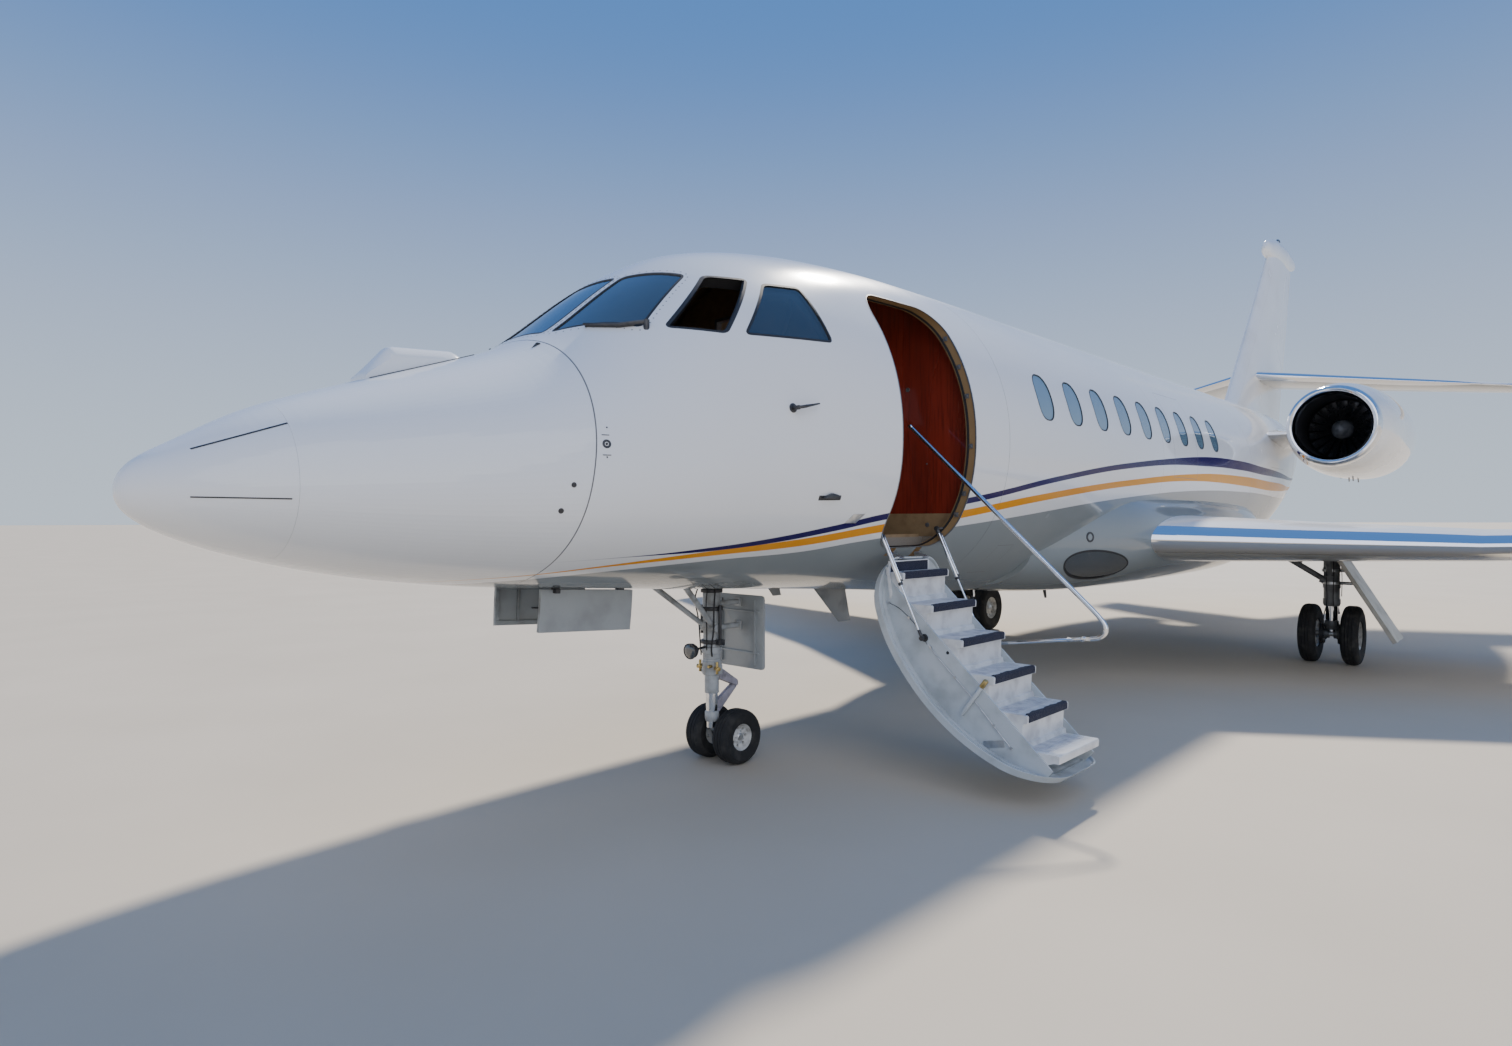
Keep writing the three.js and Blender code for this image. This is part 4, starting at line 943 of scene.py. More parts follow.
knobs = [post(x, 2.330, 2.095, (0, 1, 0), [(0, 0.011), (0.014, 0.010), (0.016, 0.007)], 14)
         for x in np.arange(-0.72, 0.73, 0.09)]
knobs += [post(x, s, 2.080, (0, 0, 1), [(0, 0.012), (0.016, 0.011), (0.018, 0.008)], 14)
          for x in (-0.10, -0.03, 0.04, 0.11) for s in (2.70, 2.80, 2.90)]
lever = [(0, 0.008), (0.10, 0.007), (0.10, 0.017), (0.135, 0.016)]
knobs += [post(x, 2.40 + 0.02 * abs(x), 2.080, (0, -0.25, 1), lever, 14) for x in (-0.045, 0.045)]
column = [(0, 0.05), (0.02, 0.05), (0.03, 0.022), (0.50, 0.020)]
horn = [(0, 0.014), (0.03, 0.017), (0.13, 0.015), (0.14, 0.009)]
for x in (-0.43, 0.43):
    knobs += [post(x, 2.62, FLOOR + 0.001, (0, -0.05, 1), column, 16),
              post(x - 0.14, 2.595, 2.01, (1, 0, 0), [(0, 0.016), (0.28, 0.016)], 14)]
    knobs += [post(x + side * 0.14, 2.595, 1.97, (side * 0.15, 0, 1), horn, 14) for side in (-1, 1)]
fitted("knobs_and_columns", merged(*knobs), black_plastic, "instrument_grey")

# Seats
# Crowned leather cushions with sewn channels on a moulded base: two for the pilots, eight in the cabin
# on floor rails. Arm rests and headrests are padded too.


def cushion(middle, size, crown, lean=0.0, channels=(), back=False):
    """Crowned cushion whose sides pull in between its corners, with sewn channels across its face."""
    u = np.linspace(-np.pi, np.pi, 57)[:-1]
    v = np.linspace(-1.5, 1.5, 31)
    uu, vv = np.meshgrid(u, v)
    soft = 0.42
    c, d = np.cos(vv), np.sin(vv)
    a = np.sign(np.cos(uu)) * np.abs(np.cos(uu)) ** soft * c ** soft
    b = np.sign(np.sin(uu)) * np.abs(np.sin(uu)) ** soft * c ** soft
    h = np.sign(d) * np.abs(d) ** soft
    pull = 0.045
    a, b = a * (1 - pull * (1 - b * b)), b * (1 - pull * (1 - a * a))
    bulge = np.clip(h, 0, 1) ** 2 * (1 - a * a) * (1 - b * b) * crown / (size[2] / 2)
    for line in channels:
        bulge -= 0.010 / size[2] * 2 * np.exp(-((b - line) / 0.035) ** 2) * (h > 0.3)
    local = np.stack((a * size[0] / 2, b * size[1] / 2, (h * 0.9 + bulge) * size[2] / 2), -1).reshape(-1, 3)
    if back:
        local = local[:, [0, 2, 1]] * (1, -1, 1)
    turn = np.array(Matrix.Rotation(lean, 3, "X"))
    points = local @ turn.T + (middle[0], middle[1] - LENGTH / 2, middle[2])
    return points, grid_faces(31, 56) + [tuple(range(55, -1, -1)), tuple(range(30 * 56, 31 * 56))]


def seat_parts(x, s, base):
    """Forms of the seat cushion, the back, the arm rests and the moulded base of a seat."""
    sitting = cushion((x, s - 0.01, base + 0.355), (0.44, 0.45, 0.16), 0.022, 0.0, (-0.35, 0.15, 0.6))
    backrest = cushion((x, s + 0.250, base + 0.690), (0.43, 0.70, 0.13), 0.016, -0.035,
                       (-0.55, -0.15, 0.25), True)
    head = cushion((x, s + 0.225, base + 0.960), (0.27, 0.17, 0.11), 0.010, -0.035, (), True)
    arms = [cushion((x + side * 0.185, s + 0.02, base + 0.555), (0.065, 0.34, 0.05), 0.006)
            for side in (-1, 1)]
    shells = [brick((x - 0.19, s - 0.20, base), (x + 0.19, s + 0.18, base + 0.05)),
              brick((x - 0.10, s - 0.13, base + 0.05), (x + 0.10, s + 0.13, base + 0.20)),
              brick((x - 0.215, s - 0.235, base + 0.20), (x + 0.215, s + 0.23, base + 0.285)),
              brick((x - 0.20, s + 0.285, base + 0.30), (x + 0.20, s + 0.315, base + 1.00))]
    shells += [brick((x + side * 0.198 - 0.014, s - 0.12, base + 0.28),
                     (x + side * 0.198 + 0.014, s + 0.18, base + 0.530)) for side in (-1, 1)]
    pads = {"cushion": sitting, "back": backrest, "headrest": head, "arms": merged(*arms)}
    return pads, shells


spots = [("pilot_left", -0.43, 2.98), ("pilot_right", 0.43, 2.98)]
spots += [(f"cabin_{i + 1}_{'right' if x < 0 else 'left'}", x, s) for i, s in enumerate(CHAIRS)
          for x in (-0.64, 0.64)]
frames = {"cockpit_seats": [brick((-0.600, 2.960, FLOOR + LOOSE), (0.600, 3.120, RAIL_TOP))],
          "cabin_seats": [brick((x - 0.10, CHAIRS[0] - 0.10, FLOOR + LOOSE),
                                (x + 0.10, CHAIRS[-1] + 0.10, RAIL_TOP)) for x in (-0.64, 0.64)]}
for label, x, s in spots:
    pads, shells = seat_parts(x, s, RAIL_TOP)
    for part, form in pads.items():
        pad = outward(object_of(f"{part}_{label}", *form, [seat_hide]))
        install(edges(pad, 60), "airframe", "seat_leather")
    frames["cockpit_seats" if label.startswith("pilot") else "cabin_seats"] += shells
for node, forms in frames.items():
    fitted(f"{node}_frames", merged(*forms), cream_trim, "seat_leather", node)

# Nose wheel bay
# A grey painted box over the nose gear with ribs and pipes, open below.
room_of_bay = brick((-BAY["half"], BAY["front"], 0.9), (BAY["half"], BAY["rear"], 1.385))
fitted_inside("nose_bay_box", (-0.248, 1.724, 1.0), (0.248, 3.488, 1.4385), bay_grey, "grey_composite",
              "nose_bay", cut=room_of_bay)
ribs = [brick((-0.2398, s, 1.33), (0.2398, s + 0.012, 1.3848)) for s in np.arange(1.95, 3.4, 0.24)]
ribs += [post(x, 1.768, 1.355, (0, 1, 0), [(0, 0.008), (1.70, 0.008)], 12) for x in (-0.17, -0.14, 0.15)]
fitted("nose_bay_ribs", merged(*ribs), bay_grey, "grey_composite")

# Tail section and belly fairing
# The fuselage runs out in a cone with the exhaust of the auxiliary unit at its end. The moulded belly
# fairing is screwed over the wing roots, and a small moulded fairing on the nose covers a sensor.
FAIRING_SECTIONS = [
    (6100, 1900, 1010, 880, 1400, 2.4, 2.4),
    (6900, 2020, 925, 1130, 1440, 2.4, 2.4),
    (7700, 2080, 895, 1320, 1470, 2.4, 2.4),
    (9500, 2080, 885, 1350, 1470, 2.4, 2.4),
    (11300, 2060, 900, 1310, 1460, 2.4, 2.4),
    (12300, 1980, 990, 1150, 1480, 2.4, 2.4),
    (13300, 1850, 1160, 820, 1500, 2.4, 2.4),
]
SENSOR_SIDE = [(0.925, 2.10), (0.940, 2.31), (1.067, 2.462), (1.380, 2.482), (1.480, 2.44), (1.480, 2.10)]
EXHAUST = {"radius": 0.110, "level": 2.965, "from": 18.6, "to": 19.56}


def rod(start, end, radius, sides=20, end_radius=None):
    way = [b - a for a, b in zip(start, end)]
    long = math.sqrt(sum(v * v for v in way))
    return turned([(0, radius), (long, radius if end_radius is None else end_radius)], start, way, sides)


def flipped(form):
    """The same form on the other side of the jet."""
    return form[0] * (-1, 1, 1), [face[::-1] for face in form[1]]


burnt = worn_surface("burnt_steel", tint(0.28, 0.25, 0.22), tint(0.05, 0.045, 0.04), (7.0, 4.0),
                     (0.35, 0.7), (0.3, 0.7, 0.3, 0.6), Metallic=0.9)
tail_stations = np.concatenate(([CABIN["rear"] + HALF_JOINT], np.linspace(11.7, 19.3, 64),
                                [19.42, 19.47, 19.5]))
tail = skin("tail_shell", hull, tail_stations, 0, [white_paint, lining, burnt], 128)
pipe_hole = turned([(0, EXHAUST["radius"]), (EXHAUST["to"] - EXHAUST["from"], EXHAUST["radius"])],
                   (0, EXHAUST["from"], EXHAUST["level"]), (0, 1, 0), 48)
carve(tail, cutter([pipe_hole], 2))
install(polish_shading(tail, hull), "airframe", "white_paint", "tail_section")
fairing = Body(FAIRING_SECTIONS, 0.04)
fairing_piece = skin("belly_fairing_shell", fairing, np.linspace(6.1, 13.3, 90), 0, [white_paint], 144)
core = skin("cutter", hull, np.arange(5.9, 13.6, 0.1), 0, [], 144)
carve(fairing_piece, core)
install(polish_shading(fairing_piece, fairing), "airframe", "grey_composite", "belly_fairing")


def sensor_form():
    """Narrow hood: full width below, drawn in towards its ridge."""
    outline = rounded(SENSOR_SIDE, 0.02, 5, 0.05)
    rings = []
    for x in np.linspace(-1, 1, 17):
        rings.append(place(np.full(len(outline), x * 0.093), outline[:, 0],
                           outline[:, 1] - 0.055 * np.abs(x) ** 3.0
                           * np.clip((outline[:, 1] - 2.3) / 0.15, 0, 1)))
    return lofted(rings)


sensor = outward(object_of("sensor_hood", *sensor_form(), [white_paint]))
nose_core = skin("cutter", hull, np.arange(0.7, 1.6, 0.05), 0, [], 96)
carve(sensor, nose_core)
install(edges(sensor, 40), "airframe", "white_paint", "sensor_fairing")
hood_edge = []
for side in (1, -1):
    foot_line = [(side * 0.0945, s, hull.over(0.0945, s)) for s in 0.955 + 0.075 * np.arange(8)]
    hood_edge += [rod(a, b, 0.003, 8) for a, b in zip(foot_line, foot_line[1:])]
fitted("sensor_hood_edge", merged(*hood_edge), rubber, "dark_glass")

# Nose and skin fittings
# Lightning strips on the radome, static ports, airflow vanes, temperature probes and drain plates on the
# nose, and a fuel vent on each side of the belly fairing: small metal parts screwed to the skin.


def plain_metal(name, colour, rough, deep, metallic=1.0):
    return worn_surface(name, colour, deep, (25.0, 4.0), (0.35, 0.75), (0.3, 0.7, rough, rough + 0.12),
                        (300.0, 0.08, 0.0006), Metallic=metallic)


aluminium = plain_metal("bare_aluminium", tint(0.60, 0.61, 0.62), 0.28, tint(0.42, 0.43, 0.44))
dark_metal = plain_metal("dark_anodised_metal", tint(0.05, 0.05, 0.055), 0.4, tint(0.09, 0.09, 0.09), 0.5)
STRIPS = [((0.214, 1.908), (0.519, 2.023)), ((0.197, 1.716), (0.497, 1.710))]


def along_skin(start, end, half, top, deep, side=1, parts=14):
    """Narrow strip on the side of the nose between two points in station and level."""
    a, b = np.array(start), np.array(end)
    way = (b - a) / np.linalg.norm(b - a)
    across = np.array([-way[1], way[0]]) * half
    line = [a + (b - a) * k / parts for k in range(parts + 1)]
    outline = np.array([p - across for p in line] + [p + across for p in line[::-1]])
    upper = on_skin(hull, "side", outline, top, side)
    lower = on_skin(hull, "side", outline, deep, side)
    count = len(outline)
    faces = grid_faces(2, count)
    faces += [(count + i, count + i + 1, 2 * count - 2 - i, 2 * count - 1 - i) for i in range(parts)]
    faces += [(i + 1, i, count - 1 - i, count - 2 - i) for i in range(parts)]
    return np.concatenate((lower, upper)), faces


strips = [along_skin(*strip, 0.0028, -0.0022, 0.002, side) for strip in STRIPS for side in (1, -1)]
fitted("lightning_strips", merged(*strips), dark_metal, "bare_metal")


def disc_on_skin(s, z, radius, side=1, high=0.003, inner=0.0):
    """Round plate, or a ring, screwed to the side of the skin."""
    middle = np.array(on_skin(hull, "side", np.array([[s, z]]), 0, side)[0])
    way = hull.facing(middle[0], middle[1] + LENGTH / 2, middle[2])
    start = (middle[0] - way[0] * 0.004, middle[1] + LENGTH / 2 - way[1] * 0.004,
             middle[2] - way[2] * 0.004)
    if inner:
        profile = [(0, radius), (0.004 + high, radius), (0.004 + high, inner), (0, inner)]
        return turned(profile, start, way, 28, True)
    return turned([(0, radius), (0.004 + high, radius), (0.005 + high, radius * 0.9)], start, way, 28)


def bent(points, radius, sides=10):
    """Round tube through points given as x, station and level."""
    path = [Vector((x, s - LENGTH / 2, z)) for x, s, z in points]
    rings = []
    across = None
    for i, point in enumerate(path):
        way = (path[min(i + 1, len(path) - 1)] - path[max(i - 1, 0)]).normalized()
        across = way.orthogonal() if across is None else across - way * across.dot(way)
        across.normalize()
        circle = np.outer(np.cos(turns(sides)), across) + np.outer(np.sin(turns(sides)), way.cross(across))
        rings.append(np.array(point) + (radius[i] if isinstance(radius, list) else radius) * circle)
    return lofted(rings)


def smooth_line(points, steps=6):
    """Points along a soft curve through the given ones."""
    points = np.array(points, float)
    along = np.concatenate(([0], np.cumsum(np.linalg.norm(np.diff(points, axis=0), axis=1))))
    at = np.linspace(0, along[-1], steps * (len(points) - 1) + 1)
    padded = np.concatenate(([2 * points[0] - points[1]], points, [2 * points[-1] - points[-2]]))
    result = []
    for distance in at:
        i = min(int(np.searchsorted(along, distance, "right")) - 1, len(points) - 2)
        t = (distance - along[i]) / (along[i + 1] - along[i])
        a, b, c, d = padded[i:i + 4]
        result.append(tuple(0.5 * (2 * b + (c - a) * t + (2 * a - 5 * b + 4 * c - d) * t * t
                                   + (3 * b - a - 3 * c + d) * t ** 3)))
    return result


for label, side in SIDES:
    port = [disc_on_skin(1.685, 1.974, 0.021, side, 0.0015, 0.010),
            disc_on_skin(1.685, 1.974, 0.006, side, 0.002),
            disc_on_skin(1.529, 1.782, 0.012, side, 0.002),
            disc_on_skin(1.485, 1.665, 0.013, side, 0.0015),
            disc_on_skin(1.698, 2.052, 0.004, side, 0.001)]
    marks = [along_skin((1.668, 2.016), (1.702, 2.016), 0.002, -0.001, 0.002, side, 2),
             along_skin((1.662, 1.922), (1.700, 1.922), 0.0022, -0.001, 0.002, side, 2),
             along_skin((1.678, 1.912), (1.684, 1.912), 0.004, -0.001, 0.002, side, 2)]
    fitted(f"static_ports_{label}", merged(*port, *marks), dark_metal, "bare_metal")
    x, s, z = side * 1.124, 2.775, 2.224
    out = side * 0.045
    vane = [disc_on_skin(s, z, 0.026, side, 0.003), rod((x - out / 3, s, z), (x + out, s, z), 0.012),
            bent(smooth_line([(x + out * 0.8, s, z), (x + out * 1.2, s + 0.04, z + 0.008),
                              (x + out, s + 0.17, z + 0.036)]),
                 [0.009] * 5 + [0.008, 0.0075, 0.007, 0.0065, 0.006, 0.0055, 0.005, 0.004])]
    fitted(f"airflow_vane_{label}", merged(*vane), dark_metal, "bare_metal")
    x = side * 1.112
    blade = np.array([(3.03, 1.742), (3.15, 1.742), (3.175, 1.757), (3.14, 1.766), (3.10, 1.772),
                      (3.07, 1.762)])
    temperature = across_prism(blade, *sorted((x - side * 0.02, x + side * 0.03)))
    plate = along_skin((3.01, 1.744), (3.19, 1.748), 0.014, -0.002, 0.003, side, 4)
    fitted(f"temperature_probe_{label}", merged(temperature, plate), dark_metal, "bare_metal", bevel=0.003)
    foot = np.array([(3.30, 1.60), (3.40, 1.60), (3.45, 1.655), (3.35, 1.655)])
    lug = prism(on_skin(hull, "side", foot, 0.004, side), np.array([side * 1.0, 0, 0.1]), 0, 0.010)
    fitted(f"drain_plate_{label}", lug, aluminium, "bare_metal", bevel=0.0015)
    circle = np.stack((np.cos(turns(32)), np.sin(turns(32))), 1)
    outer, inner, rim = [np.array((6.785, 1.464)) + radius * circle for radius in (0.046, 0.030, 0.02997)]
    ring = band_on_skin(fairing, "side", outer, inner, -0.004, 0.01, side)
    fitted(f"fuel_vent_ring_{label}", ring, dark_metal, "bare_metal")
    cap = sheet_on_skin(fairing, "side", rim, -0.001, 0.008, side)
    fitted(f"fuel_vent_cap_{label}", cap, white_paint, "grey_composite")

# Airstair
# The door is hinged at its lower edge and is the stair as well: a painted shell with ribs inside its rim,
# two moulded webs, and folded steps in off-white plastic with worn navy carpet over their noses.
HINGE = Vector((0.950, 0, 1.395))
SWING = Matrix.Translation(HINGE) @ Matrix.Rotation(math.radians(140), 4, "Y") @ Matrix.Translation(-HINGE)
STEPS = {"count": 6, "x": 1.137, "z": 1.290, "run": 0.205, "rise": 0.192, "front": 3.805, "rear": 4.345,
         "deep": 0.235}
WEB = 0.012


def swung_open(form):
    """Form of the closed door, moved to where it is with the stair down."""
    points, faces = form
    turn = np.array(SWING)
    return points @ turn[:3, :3].T + turn[:3, 3], faces


def plate_across(outline, start, end):
    """Plate with an outline in x and level between two stations."""
    outline = np.array(outline, float)
    points = place(outline[:, 0], np.full(len(outline), start), outline[:, 1])
    return prism(points, np.array([0, 1.0, 0]), 0, end - start)


def pin(x, z, start, end, radius, sides=20):
    """Round bar along the jet, between two stations."""
    return rod((x, start, z), (x, end, z), radius, sides)


def satin(name, colour, deep, rough=0.35, scale=6.0, grit=400.0):
    """Painted or moulded surface with faint marks of use."""
    material, at = begin(name)
    marks = at.grain(scale, 5.0)
    scuffs = at.grain(30.0, 5.0, (1.0, 6.0, 1.0)).rise(0.62, 0.75)
    colour = marks.rise(0.4, 0.75).blend(colour, deep)
    return finish(material, Base_Color=(scuffs * 0.35).blend(colour, deep),
                  Roughness=marks.rise(0.3, 0.8, rough, rough + 0.2), Coat_Weight=0.25,
                  Normal=at.grain(grit, 2.0).bump(0.12, 0.0006))


def swung_paint():
    """Fuselage paint of the door, worked out for where its skin is with the door shut."""
    material, at = begin("door_paint")
    x, y, z = at.axes()
    back = math.radians(140)
    level = (x - HINGE.x) * math.sin(back) + (z - HINGE.z) * math.cos(back) + HINGE.z
    return finish(material, Base_Color=livery(y + LENGTH / 2, level)[0],
                  Roughness=at.grain(1.3).rise(0.3, 0.8, 0.18, 0.26), Coat_Weight=1.0,
                  Coat_Roughness=0.03)


stair_grey = satin("stair_grey", tint(0.50, 0.545, 0.575), tint(0.36, 0.39, 0.40))
stair_white = satin("stair_white", tint(0.70, 0.715, 0.72), tint(0.50, 0.50, 0.51), 0.3, 9.0)
shut_outline = door_outline(MOVING_GAP, 0.230)
door_skin = dense(shut_outline, 0.07)


def room(inset):
    """Solid of the room inside the shut door, in the place where it is with the stair down."""
    body = inner_solid(3.60, 4.60, inset)
    body.data.transform(SWING)
    frame_of_door = swung_open(across_prism(shut_outline, 0.3, 1.5))
    return carve(body, object_of("cutter", *frame_of_door, []), "INTERSECT")


shell_form = sheet_on_skin(hull, "side", door_skin, 0, 0.030, 1, np.linspace(1, 0.06, 14))
shell = outward(object_of("airstair_shell", *shell_form, [swung_paint(), stair_grey]))
for polygon in shell.data.polygons:
    middle = polygon.center
    way = Vector(hull.facing(middle.x, middle.y + LENGTH / 2, middle.z))
    polygon.material_index = 0 if way.dot(polygon.normal) > 0.8 else 1
polish_shading(shell, hull)
shell.data.transform(SWING)
install(shell, "airstair", "stair_shell", "airstair")
ribs = [band_on_skin(hull, "side", grown(door_skin, -a), grown(door_skin, -b), 0.029, deep)
        for a, b, deep in ((0.0, 0.008, 0.042), (0.046, 0.054, 0.036), (0.060, 0.086, 0.0322))]
fitted("airstair_rim_ribs", swung_open(merged(*ribs)), stair_grey, "stair_shell", body="airstair",
       bevel=0.002)
slope = math.hypot(STEPS["run"], STEPS["rise"])
way_down = np.array([STEPS["run"], -STEPS["rise"]]) / slope
way_up = np.array([STEPS["rise"], STEPS["run"]]) / slope


def edge(distance, depth):
    """Point beside the line over the noses, in x and level."""
    return np.array([STEPS["x"], STEPS["z"]]) + way_down * distance + way_up * depth


total = slope * (STEPS["count"] - 1)
web_outline = [edge(-0.26, -0.1), edge(total + 0.02, -0.1), edge(total + 0.06, -0.6), edge(-0.4, -0.9)]
for label, start in (("front", STEPS["front"] - LOOSE - WEB), ("rear", STEPS["rear"] + LOOSE)):
    web = outward(object_of(f"{label}_web", *plate_across(web_outline, start, start + WEB), [stair_grey]))
    carve(web, room(0.030), "INTERSECT")
    install(edges(web), "airstair", "stair_shell")


def tread_outline():
    """Folded steps in x and level, from the top down, closed below."""
    points = [edge(-0.2, -0.29)]
    for i in range(STEPS["count"]):
        x = STEPS["x"] + STEPS["run"] * i - (0.020 if i == STEPS["count"] - 1 else 0)
        z = STEPS["z"] - STEPS["rise"] * i
        if i == 0:
            points.append((x - STEPS["deep"], z))
        points += [(x - 0.010, z), (x - 0.003, z - 0.003), (x, z - 0.010), (x - 0.002, z - 0.045)]
        if i < STEPS["count"] - 1:
            points += [(x - 0.028, z - 0.050), (x - 0.032, z - 0.160), (x - 0.016, z - 0.166),
                       (x - 0.012, z - 0.1915)]
    points += [(x - 0.030, z - 0.045), edge(total - 0.12, -0.29)]
    return points


treads = outward(object_of("stair_treads", *plate_across(tread_outline(), STEPS["front"], STEPS["rear"]),
                           [stair_white]))
carve(treads, room(0.0303), "INTERSECT")
install(edges(treads), "airstair", "stair_steps", "airstair_steps")


def carpet(name, colour, deep):
    material, at = begin(name)
    pile = at.grain(1400.0, 2.0)
    worn = at.grain(22.0, 5.0)
    shade = worn.rise(0.5, 0.8).blend(colour, deep)
    return finish(material, Base_Color=(pile * 0.5).blend(shade, tint(0.004, 0.004, 0.012)), Roughness=0.95,
                  Sheen_Weight=0.1, Normal=pile.bump(0.7, 0.002))


navy_carpet = carpet("navy_carpet", tint(0.006, 0.008, 0.030), tint(0.018, 0.020, 0.055))
NOSE_LINE = np.array([(-0.070, 0.0), (-0.010, 0.0), (-0.003, -0.003), (0.0, -0.010), (-0.002, -0.045)])


def nose_carpet(index):
    """Strip of carpet over a nose, with an uneven cut edge on the tread."""
    x, z = STEPS["x"] + STEPS["run"] * index, STEPS["z"] - STEPS["rise"] * index
    lengths = np.concatenate(([0], np.cumsum(np.linalg.norm(np.diff(NOSE_LINE, axis=0), axis=1))))
    rings = []
    for s in np.linspace(STEPS["front"] + 0.022, STEPS["rear"] - 0.018, 70):
        wave = math.sin(31 * s + 2.1 * index) + 0.6 * math.sin(77 * s + index) + 0.4 * math.sin(140 * s)
        at = np.linspace(0.044 + 0.0045 * wave, lengths[-1] - 0.004, 14)
        line = np.stack([np.interp(at, lengths, NOSE_LINE[:, i]) for i in (0, 1)], 1) + (x, z)
        way = np.gradient(line, axis=0)
        normal = np.stack((-way[:, 1], way[:, 0]), 1) / np.linalg.norm(way, axis=1)[:, None]
        ring = np.concatenate((line - normal * 0.001, (line + normal * 0.0045)[::-1]))
        rings.append(place(ring[:, 0], np.full(28, s), ring[:, 1]))
    return lofted(rings)


carpets = [nose_carpet(i) for i in range(STEPS["count"] - 1)]
fitted("nose_carpets", merged(*carpets), navy_carpet, "stair_steps", body="airstair")
tread_mat = satin("tread_mat", tint(0.60, 0.60, 0.615), tint(0.40, 0.39, 0.43), 0.55, 18.0, 200.0)
mats = []
for i in range(1, STEPS["count"]):
    x = STEPS["x"] + STEPS["run"] * i - (0.020 if i == STEPS["count"] - 1 else 0)
    z = STEPS["z"] - STEPS["rise"] * i
    mats += [brick((x - 0.205 + 0.022 * k, STEPS["front"] + 0.03, z - 0.001),
                   (x - 0.187 + 0.022 * k, STEPS["rear"] - 0.03, z + 0.0022)) for k in range(6)]
fitted("tread_mats", merged(*mats), tread_mat, "stair_steps", body="airstair", bevel=0.001)
riser = [brick((1.022, STEPS["front"] + 0.012, 1.2905), (1.030, STEPS["rear"] - 0.09, 1.352))]
riser_frame = [brick((1.020, 3.806, 1.352), (1.034, 4.262, 1.360)),
               brick((1.020, 3.806, 1.290), (1.034, 3.817, 1.352)),
               brick((1.020, 4.255, 1.290), (1.034, 4.268, 1.352))]
fitted("sill_riser_carpet", merged(*riser), navy_carpet, "stair_steps", body="airstair")
fitted("sill_riser_frame", merged(*riser_frame), stair_white, "stair_steps", body="airstair", bevel=0.002)

# Fittings of the stair
# A pull handle with a brass-coloured grip, a latch rod in clips, a bonding wire, hinge brackets and a
# blank plate are screwed to the front web; the pins of the struts and the rail pass through lugs.
plated = plain_metal("chrome_plate", tint(0.80, 0.82, 0.84), 0.07, tint(0.66, 0.68, 0.70))
brass = plain_metal("brass_grip", tint(0.62, 0.47, 0.20), 0.3, tint(0.45, 0.33, 0.12))
WEB_FACE = STEPS["front"] - LOOSE - WEB
REAR_FACE = STEPS["rear"] + 0.008
STRUT = {"upper": (0.985, 1.560), "lower": (1.300, 0.900), "front": 3.762, "rear": 4.442, "barrel": 0.380,
         "rod": 0.0065, "reach": 0.395}
RAIL = {"s": 4.390, "radius": 0.014, "elbow": (2.030, 0.900), "foot": (1.440, 0.815),
        "line": [(0.819, 2.263), (2.110, 1.058), (2.165, 0.995), (2.168, 0.950), (2.130, 0.915),
                 (2.075, 0.904)]}
grip = [rod((1.560, WEB_FACE - 0.016, 0.474), (1.705, WEB_FACE - 0.016, 0.672), 0.013),
        pin(1.566, 0.486, WEB_FACE + 0.001, WEB_FACE - 0.020, 0.010),
        pin(1.690, 0.655, WEB_FACE + 0.001, WEB_FACE - 0.020, 0.010)]
fitted("stair_pull_handle", merged(*grip), stair_grey, "stair_shell", body="airstair", bevel=0.003)
brass_end = rod((1.690, WEB_FACE - 0.016, 0.6515), (1.722, WEB_FACE - 0.016, 0.6955), 0.0155)
fitted("stair_handle_grip", brass_end, brass, "bare_metal", body="airstair", bevel=0.004)
latch_line = [(1.330, 0.862), (1.40, 0.785), (1.62, 0.585), (1.875, 0.322)]
latch_rod = bent([(x, WEB_FACE - 0.006, z) for x, z in latch_line], 0.0035)
wire_line = smooth_line([(1.035, WEB_FACE - 0.003, 1.10), (1.13, WEB_FACE - 0.003, 1.06),
                         (1.25, WEB_FACE - 0.003, 0.96), (1.318, WEB_FACE - 0.003, 0.862)])
clip_spots = [(1.345, 0.845), (1.51, 0.685), (1.76, 0.441), (1.868, 0.330), (1.04, 1.10), (1.19, 1.015)]
clips = [pin(x, z, WEB_FACE + 0.001, WEB_FACE - 0.011, 0.008) for x, z in clip_spots]
fitted("latch_rod", merged(latch_rod, *clips), aluminium, "bare_metal", body="airstair")
fitted("bonding_wire", bent(wire_line, 0.0018, 6), dark_metal, "bare_metal", body="airstair")
# Flat black disc and slot, flush on the front web: painted shade standing for holes through it.
painted_hole_shade = [pin(1.459, 0.825, WEB_FACE + 0.001, WEB_FACE - 0.0012, 0.010),
        plate_across(rounded([(1.545, 0.318), (1.590, 0.338), (1.586, 0.350), (1.541, 0.330)], 0.004),
                     WEB_FACE - 0.0015, WEB_FACE + 0.001)]
fitted("web_holes_painted_shade", merged(*painted_hole_shade), rubber, "stair_shell", body="airstair")
blank = plate_across(rounded([(1.700, 0.300), (1.830, 0.326), (1.822, 0.366), (1.692, 0.340)], 0.006),
                     WEB_FACE - 0.0016, WEB_FACE + 0.001)
fitted("blank_plate", blank, aluminium, "bare_metal", body="airstair")
x, z = STRUT["lower"]
lugs = [pin(x, z, STRUT["front"] + 0.0133, WEB_FACE + 0.004, 0.0085),
        pin(x, z, STRUT["front"] + 0.0253, WEB_FACE + 0.003, 0.024),
        pin(x, z, REAR_FACE, STRUT["rear"] - 0.0133, 0.0085),
        pin(x, z, REAR_FACE, REAR_FACE + 0.012, 0.024)]
x, z = RAIL["foot"]
lugs += [pin(x, z, REAR_FACE, RAIL["s"] - 0.0143, 0.009), pin(x, z, REAR_FACE, REAR_FACE + 0.014, 0.026)]
fitted("stair_pins", merged(*lugs), dark_metal, "bare_metal", body="airstair", bevel=0.001)
flange = rounded([(1.018, 1.322), (1.040, 1.322), (1.066, 1.150), (1.050, 1.120)], 0.008)
